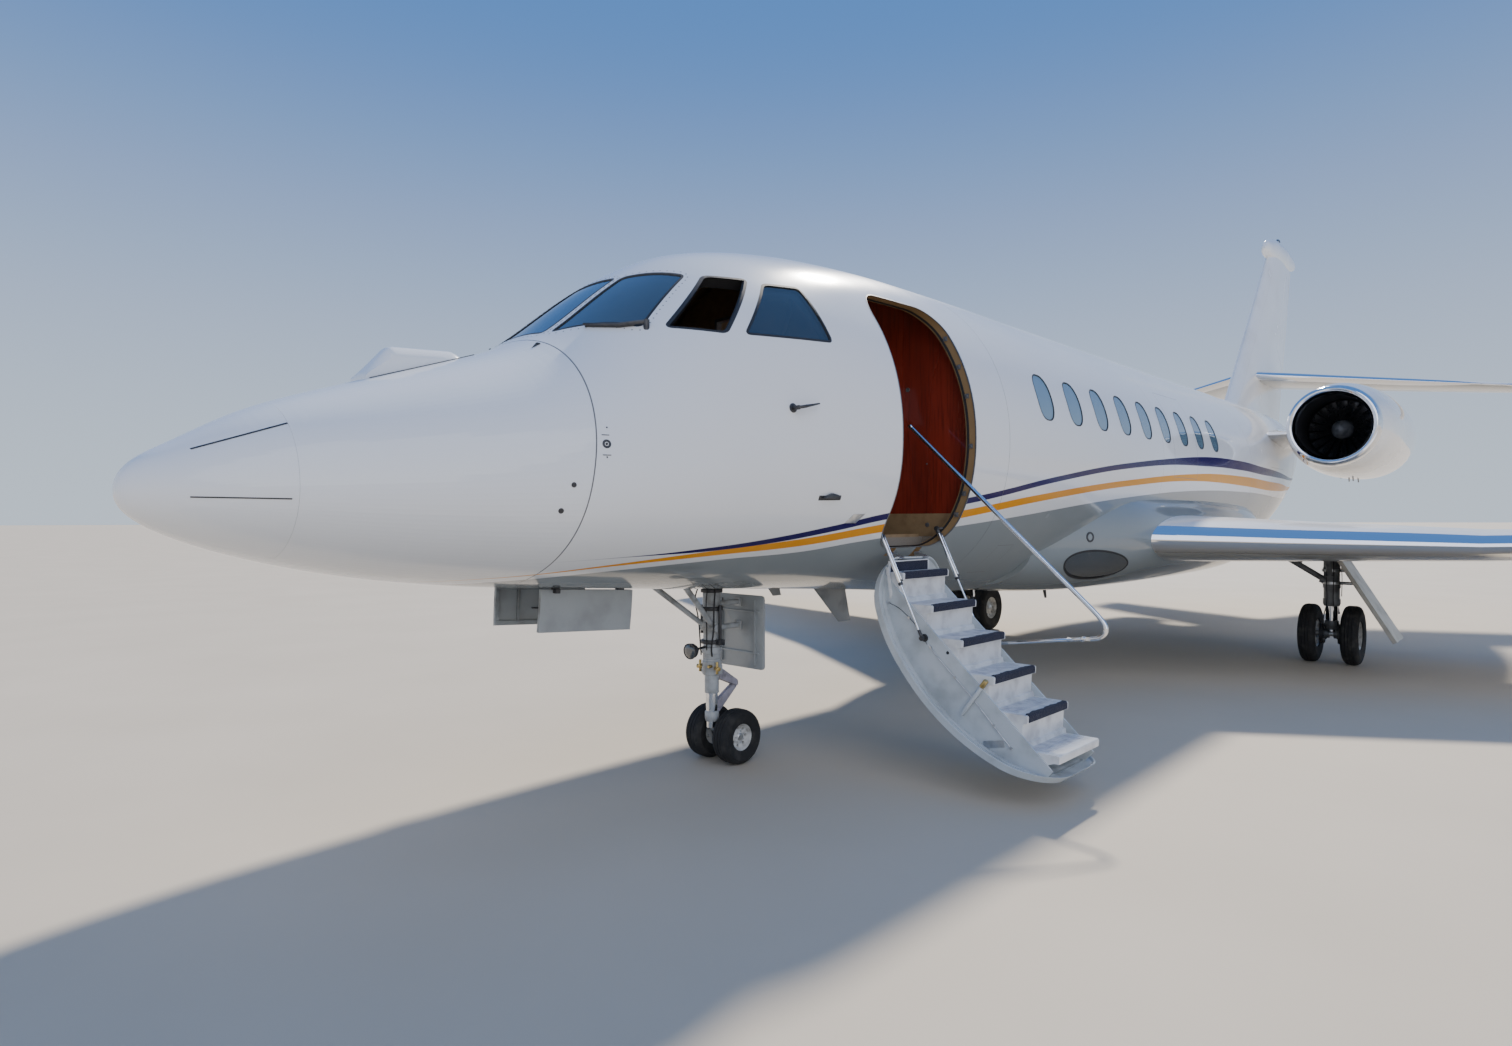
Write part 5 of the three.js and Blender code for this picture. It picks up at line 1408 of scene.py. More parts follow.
bracket = [plate_across(flange, WEB_FACE - 0.009, WEB_FACE + 0.001)]
bracket += [pin(x, z, WEB_FACE - 0.012, WEB_FACE, 0.006) for x, z in ((1.040, 1.27), (1.050, 1.18))]
eyes = []
for s in HINGE_STATIONS:
    arm = rounded([(0.938, 1.395), (0.962, 1.395), (0.936, 1.462), (0.900, 1.462)], 0.006)
    eyes += [swung_open(pin(HINGE.x, HINGE.z, s - 0.025, s + 0.025, 0.012)),
             swung_open(plate_across(arm, s - 0.025, s + 0.025))]
fitted("hinge_brackets", merged(*bracket), stair_white, "stair_shell", body="airstair", bevel=0.002)
fitted("hinge_eyes", merged(*eyes), aluminium, "bare_metal", body="airstair", bevel=0.002)

# Door struts and handrail
# Two telescopic struts with chromed tubes and dark end fittings hold the stair. A chromed rail on its
# rear side bends back at the foot and is carried by a link on a pin.
ux, uz = STRUT["upper"]
lx, lz = STRUT["lower"]
strut_long = math.hypot(lx - ux, lz - uz)


def on_strut(distance, s, beside=0.0):
    """Point on the line of a strut, or beside it."""
    a, b = (lx - ux) / strut_long, (lz - uz) / strut_long
    return ux + a * distance - b * beside, s, uz + b * distance + a * beside


for label, s in (("front", STRUT["front"]), ("rear", STRUT["rear"])):
    tube = turned([(0.030, 0.0128), (STRUT["barrel"], 0.0128), (STRUT["barrel"], 0.0078), (0.030, 0.0078)],
                  on_strut(0, s), (lx - ux, 0, lz - uz), 24, True)
    slim = rod(on_strut(0.045, s, 0.017), on_strut(STRUT["barrel"] - 0.02, s, 0.017), 0.005, 14)
    fitted(f"{label}_strut_tube", merged(tube, slim), plated, "bright_metal", f"{label}_strut_barrel",
           body=f"{label}_strut", bevel=0.001)
    mouth, front = STRUT["barrel"] + 0.001, STRUT["barrel"] - 0.016
    top = [pin(ux, uz, s - 0.009, s + 0.009, 0.017), rod(on_strut(0.010, s), on_strut(0.040, s), 0.0145),
           turned([(front, 0.0150), (mouth, 0.0150), (mouth, 0.0078), (front, 0.0078)], on_strut(0, s),
                  (lx - ux, 0, lz - uz), 24, True)]
    top += [rod(on_strut(a, s, 0.017), on_strut(a + 0.012, s, 0.017), 0.0075, 14)
            for a in (0.045, STRUT["barrel"] - 0.03)]
    fitted(f"{label}_strut_fittings", merged(*top), dark_metal, "bare_metal", body=f"{label}_strut",
           bevel=0.001)
    slide = rod(on_strut(strut_long - 0.04, s), on_strut(strut_long - STRUT["reach"], s), STRUT["rod"], 16)
    end = [pin(lx, lz, s - 0.013, s + 0.013, 0.015),
           rod(on_strut(strut_long - 0.055, s), on_strut(strut_long, s), 0.010)]
    fitted(f"{label}_strut_slide", slide, plated, "bare_metal", f"{label}_strut_rod", body=f"{label}_rod")
    fitted(f"{label}_rod_end", merged(*end), dark_metal, "bare_metal", body=f"{label}_rod", bevel=0.0015)


def eased(points, radius):
    """Open line with its bends rounded."""
    points = [np.array(p, float) for p in points]
    result = [points[0]]
    for before, corner, after in zip(points, points[1:], points[2:]):
        ways = [before - corner, after - corner]
        reach = [min(radius, 0.45 * np.linalg.norm(way)) for way in ways]
        start, end = [corner + way * (r / np.linalg.norm(way)) for way, r in zip(ways, reach)]
        result += [(1 - t) ** 2 * start + 2 * t * (1 - t) * corner + t * t * end
                   for t in np.linspace(0, 1, 8)]
    return result + [points[-1]]


rail_path = eased([(x, RAIL["s"], z) for x, z in RAIL["line"]], 0.05)
ex, ez = RAIL["elbow"]
fx, fz = RAIL["foot"]
tab = rounded([(ex - 0.014, ez - 0.011), (2.085, 0.893), (2.085, 0.915), (ex - 0.014, ez + 0.011)], 0.004)
rail_parts = [bent(rail_path, RAIL["radius"], 18),
              turned([(-0.004, 0.006), (0.002, 0.0145), (0.016, 0.0175), (0.026, 0.0145), (0.030, 0.006)],
                     (0.819, RAIL["s"], 2.263), (-1.291, 0, 1.205), 20),
              plate_across(tab, RAIL["s"] + 0.0002, RAIL["s"] + 0.010),
              pin(ex, ez, RAIL["s"] + 0.0002, RAIL["s"] + 0.013, 0.015)]
fitted("handrail_tube", merged(*rail_parts), plated, "bright_metal", "handrail", body="handrail")
neck = (fx + 0.9 * (ex - fx), fz + 0.9 * (ez - fz))
link_parts = [rod((fx, RAIL["s"], fz), (neck[0], RAIL["s"], neck[1]), 0.011),
              pin(fx, fz, RAIL["s"] - 0.014, RAIL["s"] + 0.014, 0.016),
              pin(ex, ez, RAIL["s"] - 0.011, RAIL["s"] - 0.0003, 0.015),
              plate_across([(neck[0] - 0.012, neck[1] - 0.012), (ex, ez - 0.011), (ex, ez + 0.011),
                            (neck[0] - 0.012, neck[1] + 0.009)], RAIL["s"] - 0.010, RAIL["s"] - 0.0003)]
fitted("rail_link_rod", merged(*link_parts), plated, "bright_metal", "rail_link", body="handrail",
       bevel=0.0008)
knob = turned([(0, 0.005), (0.006, 0.005), (0.008, 0.013), (0.018, 0.016), (0.026, 0.013), (0.029, 0.004)],
              (fx + 0.82 * (ex - fx), RAIL["s"] + 0.008, fz + 0.82 * (ez - fz)), (0, 1, 0), 20)
fitted("rail_link_knob", knob, dark_metal, "bare_metal", body="handrail")

# Wings
# Riveted light-alloy wings, white above and grey below, with polished leading edges. The flaps and
# ailerons are separate panels on hinges, with a rounded front that turns in a cove of the wing.
WING_ROWS = [  # x, station of the leading edge, its level, chord, thickness, fall of the rear edge
    (1.000, 7.490, 1.440, 4.170, 0.500, 0.140),
    (2.225, 8.255, 1.405, 3.450, 0.400, 0.090),
    (3.600, 9.110, 1.372, 2.750, 0.300, 0.040),
    (6.600, 10.705, 1.440, 1.930, 0.205, 0.010),
    (9.500, 12.250, 1.560, 1.110, 0.115, 0.0),
    (9.665, 12.560, 1.575, 0.700, 0.060, 0.0),
]
FLAP = {"from": 1.620, "to": 5.700, "share": (0.79, 0.74), "drop": 0.025}
AILERON = {"from": 6.150, "to": 8.950, "share": (0.74, 0.74), "drop": 0.0}
SECTION = [(0.2969, 0.5), (-0.126, 1), (-0.3516, 2), (0.2843, 3), (-0.1015, 4)]  # factors and powers


def half_thick(row, share):
    """Half thickness of a lifting surface at shares of its chord."""
    return 5 * row[4] * sum(factor * share ** power for factor, power in SECTION) + 0.004 * share


def row_at(rows, value):
    """Row of a table at a value of its first column, by straight lines."""
    rows = np.array(rows)
    return np.array([np.interp(value, rows[:, 0], column) for column in rows.T])


def section_ring(row, upright, grow):
    """Section of a lifting surface, from its rear edge over the top to its front, and back below."""
    share = (1 - np.cos(np.linspace(0, np.pi, 26))) / 2
    over = np.concatenate((share[::-1], share[1:]))
    face = np.concatenate((np.ones(26), -np.ones(25)))
    thick = face * (half_thick(row, over) + grow)
    along = row[1] + over * row[3] - grow * (1 - over)
    if upright:
        return place(thick, along, row[0])
    return place(row[0], along, row[2] - row[5] * over ** 2 + thick)


def blade_solid(name, rows, upright, materials, spots, grow=0.0):
    """Whole lifting surface through the sections of a table, a gap larger all round if grown."""
    rings = [section_ring(row_at(rows, value), upright, grow) for value in spots]
    return outward(object_of(name, *lofted(rings), materials))


def hinge_ends(rows, part, upright=False):
    """Both ends of a hinge, with the half thickness there."""
    ends = []
    for value, share in zip((part["from"], part["to"]), part["share"]):
        row = row_at(rows, value)
        level = value if upright else row[2] - row[5] * share ** 2 - part["drop"]
        point = Vector((0 if upright else value, row[1] + share * row[3] - LENGTH / 2, level))
        ends.append((point, float(half_thick(row, share)) + part["drop"]))
    return ends


def behind_hinge(ends, normal, grow, kind):
    """Cutter of everything aft of a hinge, with a round front about it."""
    along = (ends[1][0] - ends[0][0]).normalized()
    aft = Vector(normal).cross(along).normalized()
    aft = -aft if aft.y < 0 else aft
    up = along.cross(aft).normalized()
    blocks, barrels = [], []
    for (point, half), shift in zip(ends, (-grow, grow)):
        centre = np.array(point + along * shift)
        corners = [(-grow, -0.3), (1.6, -0.3), (1.6, 0.3), (-grow, 0.3)]
        blocks.append(np.array([centre + np.array(aft) * v + np.array(up) * w for v, w in corners]))
        circle = np.outer(np.cos(turns(48)), aft) + np.outer(np.sin(turns(48)), up)
        barrels.append(centre + (half + 0.003 + grow) * circle)
    block = cutter([lofted(blocks)], kind)
    barrel = cutter([lofted(barrels)], kind)
    return carve(block, barrel, "UNION")


def wing_paint(name, rows, flap=False):
    """White above and grey below, with a polished front edge and lines of rivets."""
    material, at = begin(name)
    x, y, z = at.axes()
    across = abs(x)
    front = across.curve([(row[0], row[1]) for row in rows], 10, LENGTH)
    level = across.curve([(row[0], row[2]) for row in rows], 10, 5)
    behind = y + LENGTH / 2 - front
    polished = behind.rise(0.168, 0.170, 1.0, 0.0) * (0.0 if flap else 1.0)
    below = (z - level + behind * 0.03).rise(-0.012, -0.010, 1.0, 0.0)
    paint = below.blend(WHITE, tint(0.36, 0.365, 0.345))
    joint = behind.near(0.169, 0.0015)
    ribs = (across * 1.6).fraction().near(0.5, 0.0022)
    spars = behind.near(0.62, 0.0012)
    colour = (joint.most(spars) * 0.6).blend(paint, SEAM)
    worn = at.grain(1.6, 4.0)
    colour = (worn.rise(0.5, 0.8) * 0.10).blend(colour, tint(0.50, 0.49, 0.46))
    rough = polished.rise(0, 1, 0.28, 0.10)
    height = at.grain(2.4, 1.0) * 0.004 - joint * 0.001 - ribs * (1 - polished) * 0.0004
    return finish(material, Base_Color=polished.blend(colour, tint(0.80, 0.81, 0.83)), Metallic=polished,
                  Roughness=rough, Coat_Weight=(1 - polished) * 0.6, Normal=height.bump(0.5, 1.0))


def mirrored(piece, side):
    """Piece made on the left, moved to its own side."""
    if side < 0:
        piece.data.transform(Matrix.Scale(-1, 4, (1, 0, 0)))
        piece.data.flip_normals()
    return piece


wing_finish = wing_paint("wing_paint", WING_ROWS)
flap_finish = wing_paint("flap_paint", WING_ROWS, True)
wing_spots = sorted({*np.round(np.linspace(1.0, 9.5, 34), 4), *[row[0] for row in WING_ROWS], 9.58, 9.63})
for label, side in SIDES:
    wing = blade_solid(f"wing_shell_{label}", WING_ROWS, False, [wing_finish, bay_grey], wing_spots)
    surfaces = (("flap", FLAP), ("aileron", AILERON))
    for _, part in surfaces:
        carve(wing, behind_hinge(hinge_ends(WING_ROWS, part), (0, 0, 1), MOVING_GAP, 1))
    carve(wing, skin("cutter", fairing, np.linspace(6.1, 13.3, 73), 0, [], 96))
    install(edges(mirrored(wing, side), 30), "airframe", "white_paint", f"wing_{label}")
    for name, part in surfaces:
        ends = hinge_ends(WING_ROWS, part)
        panel = blade_solid(f"{name}_panel_{label}", WING_ROWS, False, [flap_finish, flap_finish],
                            wing_spots)
        carve(panel, behind_hinge(ends, (0, 0, 1), 0.0, 1), "INTERSECT")
        install(edges(mirrored(panel, side), 30), f"{name}_{label}", "white_paint", f"{name}_{label}")


def fairing_pod(x, s, z, long=0.62, wide=0.038, high=0.075):
    """Slim drop-shaped fairing of a flap track, along the jet."""
    rings = []
    for t in np.linspace(0, 1, 15):
        share = max(math.sin(math.pi * t ** 0.62), 0.02)
        rings.append(place(x + wide * share * np.cos(turns(20)), np.full(20, s + long * t),
                           z + high * share * np.sin(turns(20))))
    return lofted(rings)


def pair(name, form, material, slot, *nodes, body="airframe", **how):
    """A piece on each side: left and right end its name, and those of its nodes and its moving body."""
    for label, shape in (("left", form), ("right", flipped(form))):
        rides = body if body == "airframe" else f"{body}_{label}"
        fitted(f"{name}_{label}", shape, material, slot, *[f"{node}_{label}" for node in nodes],
               body=rides, **how)


tracks = [fairing_pod(3.05, 10.72, 1.235), fairing_pod(4.75, 11.05, 1.305)]
pair("flap_track_fairings", merged(*tracks), wing_finish, "white_paint")
for label, side in SIDES:
    lamps = rod((side * 9.50, 12.31, 1.562), (side * 9.56, 12.36, 1.563), 0.028)
    fitted(f"wingtip_light_{label}", lamps, tinted_glass(f"wingtip_light_glass_{label}", 1.0),
           "dark_glass", bevel=0.008)
    wicks = []
    for x in (9.05, 9.25, 9.42):
        row = row_at(WING_ROWS, x)
        wicks.append(pin(side * x, row[2], row[1] + row[3] - 0.004, row[1] + row[3] + 0.045, 0.0035, 8))
    fitted(f"static_wicks_{label}", merged(*wicks), rubber, "white_paint")

# Fin and tailplane
# The swept fin carries a long bullet fairing at its head and the tailplane through its middle. The rudder
# and elevators turn on hinges; the tailplane's front edge is polished like that of the wing.
TAILPLANE_ROWS = [(0.060, 16.330, 4.180, 2.380, 0.215, 0.0), (2.000, 17.700, 4.015, 1.760, 0.160, 0.0),
                  (3.780, 18.970, 3.870, 1.180, 0.100, 0.0), (3.870, 19.170, 3.863, 1.060, 0.050, 0.0)]
FIN_ROWS = [(3.300, 14.850, 0, 3.800, 0.330, 0), (3.800, 15.330, 0, 3.440, 0.310, 0),
            (5.200, 16.590, 0, 2.640, 0.250, 0), (6.660, 17.860, 0, 1.800, 0.180, 0)]
FIN_CAP = [(17.560, 0.020, 6.700, 6.760), (17.700, 0.085, 6.600, 6.900), (18.300, 0.120, 6.560, 7.050),
           (19.100, 0.110, 6.600, 7.060), (19.900, 0.050, 6.760, 6.990), (20.060, 0.012, 6.850, 6.920)]
ELEVATOR = {"from": 0.430, "to": 3.560, "share": (0.7, 0.7), "drop": 0.0}
RUDDER = {"from": 4.870, "to": 6.480, "share": (0.68, 0.68), "drop": 0.0}


def fin_paint():
    material, at = begin("fin_paint")
    x, y, z = at.axes()
    front = (z - 3.3) * 0.898 + 14.85 - LENGTH / 2
    behind = y - front
    edge_line = behind.near(0.30, 0.0015).most(behind.near(1.05, 0.0012))
    worn = at.grain(1.4, 4.0)
    colour = worn.rise(0.4, 0.8).blend(WHITE, tint(0.70, 0.70, 0.69))
    return finish(material, Base_Color=(edge_line * 0.5).blend(colour, SEAM),
                  Roughness=worn.rise(0.3, 0.8, 0.18, 0.3), Coat_Weight=0.8,
                  Normal=(at.grain(2.0, 1.0) * 0.005 - edge_line * 0.001).bump(0.5, 1.0))


fin_finish = fin_paint()
fin_spots = np.linspace(3.3, 6.66, 26)
fin_blade = blade_solid("fin_shell", FIN_ROWS, True, [fin_finish, bay_grey], fin_spots)
rudder_ends = hinge_ends(FIN_ROWS, RUDDER, True)
carve(fin_blade, behind_hinge(rudder_ends, (1, 0, 0), MOVING_GAP, 1))
carve(fin_blade, skin("cutter", hull, np.linspace(14.0, 19.5, 56), 0, [], 96))
install(edges(fin_blade, 30), "airframe", "white_paint", "fin")
rudder_blade = blade_solid("rudder_panel", FIN_ROWS, True, [fin_finish, fin_finish], fin_spots)
carve(rudder_blade, behind_hinge(rudder_ends, (1, 0, 0), 0.0, 1), "INTERSECT")
install(edges(rudder_blade, 30), "rudder", "white_paint", "rudder")
cap_table = np.array(FIN_CAP)
cap_rings = []
for s in np.concatenate((17.56 + 0.14 * np.linspace(0, 1, 8) ** 2, np.linspace(17.8, 20.06, 26))):
    half, low, high = [np.interp(s, cap_table[:, 0], cap_table[:, i]) for i in (1, 2, 3)]
    cap_rings.append(place(half * np.cos(turns(36)), np.full(36, s),
                           (low + high) / 2 + (high - low) / 2 * np.sin(turns(36))))
smooth_rings = [(a + 2 * b + c) / 4 for a, b, c in zip(cap_rings, cap_rings[1:], cap_rings[2:])]
bullet = lofted([cap_rings[0], *smooth_rings, cap_rings[-1]])
fitted("bullet_fairing", bullet, fin_finish, "white_paint", turn=50)
plane_spots = sorted(set(np.round(np.linspace(0.06, 3.78, 20), 4)) | {3.81, 3.84, 3.87})
plane_finish = wing_paint("tailplane_paint", TAILPLANE_ROWS)
for label, side in SIDES:
    ends = hinge_ends(TAILPLANE_ROWS, ELEVATOR)
    fixed = blade_solid(f"tailplane_shell_{label}", TAILPLANE_ROWS, False, [plane_finish, bay_grey],
                        plane_spots)
    carve(fixed, behind_hinge(ends, (0, 0, 1), MOVING_GAP, 1))
    carve(fixed, blade_solid("cutter", FIN_ROWS, True, [], fin_spots, 0.0003))
    moving = blade_solid(f"elevator_panel_{label}", TAILPLANE_ROWS, False, [plane_finish, plane_finish],
                         plane_spots)
    carve(moving, behind_hinge(ends, (0, 0, 1), 0.0, 1), "INTERSECT")
    for piece, body, node in ((fixed, "airframe", f"tailplane_{label}"),
                              (moving, f"elevator_{label}", f"elevator_{label}")):
        install(edges(mirrored(piece, side), 30), body, "white_paint", node)
beacon = turned([(0, 0.05), (0.02, 0.05), (0.05, 0.042), (0.075, 0.020), (0.08, 0.002)], (0, 18.6, 7.045),
                (0, 0, 1), 24)
fitted("tail_beacon", beacon, tinted_glass("beacon_glass", 1.0), "dark_glass")

# Engines
# Two pods on short pylons: a polished lip, a sound-absorbing duct whose near black and darker holes are
# painted shade, a fan of eighteen twisted blades with a grey spinner, stator vanes behind it, a glossy cowl
# with service panels, and a burnt inner cone.
ENGINE = {"x": 1.970, "z": 2.810, "fan": 12.930, "radius": 0.388, "blades": 18}
LIP_PROFILE = [(12.330, 0.5220), (12.280, 0.5155), (12.240, 0.5045), (12.212, 0.4885), (12.200, 0.4670),
               (12.211, 0.4450), (12.238, 0.4265), (12.280, 0.4110), (12.330, 0.4020)]
COWL_OUTER = [(12.3303, 0.522), (12.750, 0.596), (13.500, 0.634), (14.700, 0.606), (15.600, 0.506),
              (16.350, 0.392)]
COWL_INNER = [(16.350, 0.3745), (15.60, 0.455), (14.600, 0.540), (13.400, 0.540)]
DUCT = [(13.080, 0.412), (12.70, 0.403), (12.3303, 0.402)]
PYLON_OUTLINE = [(12.90, 0), (13.04, 0.045), (13.50, 0.095), (14.15, 0.112), (14.80, 0.110),
                 (15.90, 0.060), (16.05, 0)]


def engine_axis(profile, sides=112, closed=True):
    """Ring or body turned about the middle line of the left engine."""
    start = profile[0][0]
    middle = (ENGINE["x"], start, ENGINE["z"])
    return turned([(s - start, radius) for s, radius in profile], middle, (0, 1, 0), sides, closed)


def handed_form(form, side):
    return form if side > 0 else flipped(form)


def cowl_paint(name, side):
    """Glossy paint with the joints of the cowl doors, the outline of a hatch and soot at the rear."""
    material, at = begin(name)
    x, y, z = at.axes()
    s = y + LENGTH / 2
    out = (x - side * ENGINE["x"]) * side
    up = z - ENGINE["z"]
    doors = s.near(13.06, 0.0014).most(s.near(14.52, 0.0014)).most(s.near(15.55, 0.0014))
    split = abs(out + 0.10).near(0.0, 0.0016) * s.rise(13.06, 13.062) * s.rise(14.52, 14.522, 1.0, 0.0)
    split = split * up.rise(-0.1, -0.09, 1.0, 0.0)
    hatch = box_line(s, up, 13.35, 13.75, -0.30, -0.08, 0.003) * out.rise(0.0, 0.01)
    lines = doors.most(split).most(hatch)
    worn = at.grain(1.8, 4.0)
    base = worn.rise(0.4, 0.8).blend(tint(0.80, 0.79, 0.76), tint(0.70, 0.68, 0.64))
    soot = s.rise(15.9, 16.35) * at.grain(9.0, 4.0).rise(0.35, 0.7)
    colour = (soot * 0.6).blend((lines * 0.8).blend(base, SEAM), tint(0.20, 0.19, 0.18))
    return finish(material, Base_Color=colour, Roughness=worn.rise(0.3, 0.8, 0.08, 0.16), Coat_Weight=1.0,
                  Coat_Roughness=0.02, Normal=(at.grain(2.4, 1.0) * 0.004 - lines * 0.001).bump(0.5, 1.0))


# Inlet lining: its near black, and the darker holes, are painted shade of the deep inlet and of the holes.
def duct_lining_in_painted_shade():
    material, at = begin("duct_lining_in_painted_shade")
    holes = at.node("ShaderNodeTexVoronoi", {}, {"Vector": at, "Scale": 220.0}).rise(0.15, 0.35)
    return finish(material, Base_Color=holes.blend(tint(0.003, 0.003, 0.004), tint(0.020, 0.021, 0.024)),
                  Roughness=0.4, Metallic=0.2, Normal=holes.bump(0.3, 0.001))


polished = plain_metal("polished_lip", tint(0.84, 0.85, 0.87), 0.05, tint(0.72, 0.73, 0.75))
duct_in_painted_shade = duct_lining_in_painted_shade()
titanium = worn_surface("titanium_blades", tint(0.20, 0.205, 0.215), tint(0.12, 0.12, 0.13), (30.0, 4.0),
                        (0.35, 0.7), (0.3, 0.7, 0.25, 0.42), Metallic=0.9)
spinner_grey = satin("spinner_grey", tint(0.22, 0.225, 0.23), tint(0.10, 0.10, 0.11), 0.35, 14.0)
lip_form = engine_axis(smooth_line(LIP_PROFILE, 4))
cowl_form = engine_axis(smooth_line(COWL_OUTER, 9) + smooth_line(COWL_INNER, 5) + smooth_line(DUCT, 3))
core_form = engine_axis(smooth_line([(13.060, 0.130), (13.150, 0.330), (13.500, 0.5395), (13.900, 0.5395),
                                     (15.300, 0.340), (16.100, 0.004)], 8), 64, False)
half_outline = smooth_line(PYLON_OUTLINE, 5)
pylon_outline = half_outline + [(s, -z) for s, z in half_outline[-2:0:-1]]
pylon_rings = []
for x in np.concatenate((np.linspace(0.5, 1.20, 8), np.linspace(1.25, ENGINE["x"], 8))):
    flare = 1 + 0.35 * math.exp(-((x - 1.12) / 0.07) ** 2) + 0.5 * math.exp(-((x - 1.46) / 0.08) ** 2)
    pylon_rings.append(place(np.full(len(pylon_outline), x), np.array([p[0] for p in pylon_outline]),
                             ENGINE["z"] - 0.020 + np.array([p[1] for p in pylon_outline]) * flare))
stators = []
for k in range(34):
    turn = 2 * math.pi * k / 34
    ring = []
    for radius in (0.16, 0.29, 0.409):
        share = np.array((0, 0.33, 0.66, 1))
        a = turn + 0.35 * share
        face = np.stack((radius * np.sin(a), 13.063 + 0.055 * share, radius * np.cos(a)), 1)
        back = face[::-1] + 0.003 * np.array((math.cos(turn), 0, -math.sin(turn)))
        both = np.concatenate((face, back))
        ring.append(place(ENGINE["x"] + both[:, 0], both[:, 1], ENGINE["z"] + both[:, 2]))
    stators.append(lofted(ring))


def fan_blade(turn):
    """Blade twisted and widened towards its tip, its front edge swept back at mid height."""
    rings = []
    for share in np.linspace(0, 1, 11):
        radius = 0.100 + share * (ENGINE["radius"] - 0.101)
        half = 0.042 + 0.016 * math.sin(math.pi * min(share, 0.85) / 1.7)
        twist = 1.0 - 0.52 * share
        t = (1 - np.cos(np.linspace(0, np.pi, 9))) / 2
        thick = (0.0055 - 0.0030 * share) * np.sin(np.pi * t) ** 0.7 + 0.0006
        bow = 0.010 * np.sin(np.pi * t)
        chord = np.concatenate((t, t[-2:0:-1])) * 2 * half - half
        off = np.concatenate((bow + thick, (bow - thick)[-2:0:-1]))
        c, d = math.cos(twist), math.sin(twist)
        across, along = chord * c - off * d, chord * d + off * c + 0.012 * math.sin(math.pi * share)
        a = turn + across / radius
        rings.append(place(ENGINE["x"] + radius * np.sin(a), ENGINE["fan"] + 0.055 + along,
                           ENGINE["z"] + radius * np.cos(a)))
    return lofted(rings)


fan_blades = merged(*[fan_blade(2 * math.pi * k / ENGINE["blades"]) for k in range(ENGINE["blades"])])
nose_line = [(-0.150, 0.002), (-0.135, 0.030), (-0.09, 0.070), (-0.02, 0.112), (0.04, 0.127),
             (0.1295, 0.128)]
nose_line = smooth_line([(ENGINE["fan"] + along, radius) for along, radius in nose_line], 5)
spinner_form = engine_axis(nose_line, 48, False)
cowl_rows = np.array(COWL_OUTER)


def on_cowl(s, degrees, high=0.0):
    """Point on the left cowl at a station and an angle from straight out, with its outward direction."""
    radius = float(np.interp(s, cowl_rows[:, 0], cowl_rows[:, 1]))
    a = math.radians(degrees)
    way = (math.cos(a), 0.0, math.sin(a))
    reach = radius + 0.004 + high
    return (ENGINE["x"] + way[0] * reach, s, ENGINE["z"] + way[2] * reach), way


vents = []
for s, degrees, radius in ((12.86, -74, 0.022), (12.98, -58, 0.026), (13.16, -30, 0.020),
                           (13.3, -82, 0.030), (14.2, -80, 0.024)):
    point, way = on_cowl(s, degrees, -0.022)
    vents.append(turned([(0, radius), (0.020, radius), (0.020, radius * 0.7), (0.006, radius * 0.6)],
                        point, way, 24))
latches = []
for s in (13.18, 13.50, 13.82, 14.14, 14.42):
    (px, ps, pz), way = on_cowl(s, -99, -0.008)
    latches.append(brick((px - 0.012, ps - 0.045, pz - 0.006), (px + 0.012, ps + 0.045, pz + 0.006)))
drains = []
for x, s in ((ENGINE["x"] + 0.05, 13.40), (ENGINE["x"] - 0.03, 13.62), (ENGINE["x"] + 0.02, 14.0)):
    drains.append(rod((x, s, ENGINE["z"] - 0.60), (x, s + 0.03, ENGINE["z"] - 0.672), 0.009, 12))
core_line = [(12.3, 0), (12.3, 0.45), *[(s, r - 0.012) for s, r in COWL_OUTER[1:]], (16.6, 0.36), (16.6, 0)]
inside_cowl = engine_axis(core_line, 64, False)
for label, side in SIDES:
    paint = cowl_paint(f"cowl_paint_{label}", side)
    cowl = outward(object_of(f"cowl_{label}", *handed_form(cowl_form, side), [paint, duct_in_painted_shade, burnt]))
    for polygon in cowl.data.polygons:
        s = polygon.center.y + LENGTH / 2
        away = math.hypot(polygon.center.x - side * ENGINE["x"], polygon.center.z - ENGINE["z"])
        inside = away < np.interp(s, cowl_rows[:, 0], cowl_rows[:, 1]) - 0.012
        polygon.material_index = (1 if s < 13.45 else 2) if inside else 0
    install(edges(cowl, 40), "airframe", "white_paint", f"nacelle_{label}")
    pylon = outward(object_of(f"pylon_{label}", *handed_form(lofted(pylon_rings), side), [paint]))
    carve(pylon, object_of("cutter", *handed_form(inside_cowl, side), []))
    carve(pylon, skin("cutter", hull, np.linspace(12.2, 16.8, 47), 0, [], 96))
    install(edges(pylon, 40), "airframe", "white_paint")
pair("inlet_lip_ring", lip_form, polished, "bright_metal", "inlet_lip", turn=60)
pair("engine_cone", core_form, burnt, "bare_metal", "engine_core")
# The stator vanes take the lining's near black, painted shade deep in the inlet.
pair("stator_vanes", merged(*stators), duct_in_painted_shade, "bare_metal")
pair("cowl_vents", merged(*vents), rubber, "white_paint")
pair("cowl_latches", merged(*latches, *drains), aluminium, "bare_metal", bevel=0.002)
pair("fan_blades", fan_blades, titanium, "bare_metal", "fan", body="fan")
pair("spinner", spinner_form, spinner_grey, "bare_metal", body="fan")

# Wheels
# Twin tyres with circumferential grooves on pale forged wheels with cooling holes and a ring of bolts.
# The brake packs sit inside the main wheels, and each pair turns on one axle.
NOSE = {"s": 3.339, "radius": 0.184, "wide": 0.140, "twin": 0.260, "rim": 0.088, "leg": 3.235,
        "sides": 18, "axle": 0.020}
MAIN = {"s": 10.729, "track": 4.450, "radius": 0.330, "wide": 0.168, "twin": 0.400, "rim": 0.155,
        "sides": 22, "axle": 0.030}


def axle_level(gear):
    """Level of an axle: the tyre's solid has flat sides and stands on one of them."""
    return gear["radius"] * math.cos(math.pi / gear["sides"])


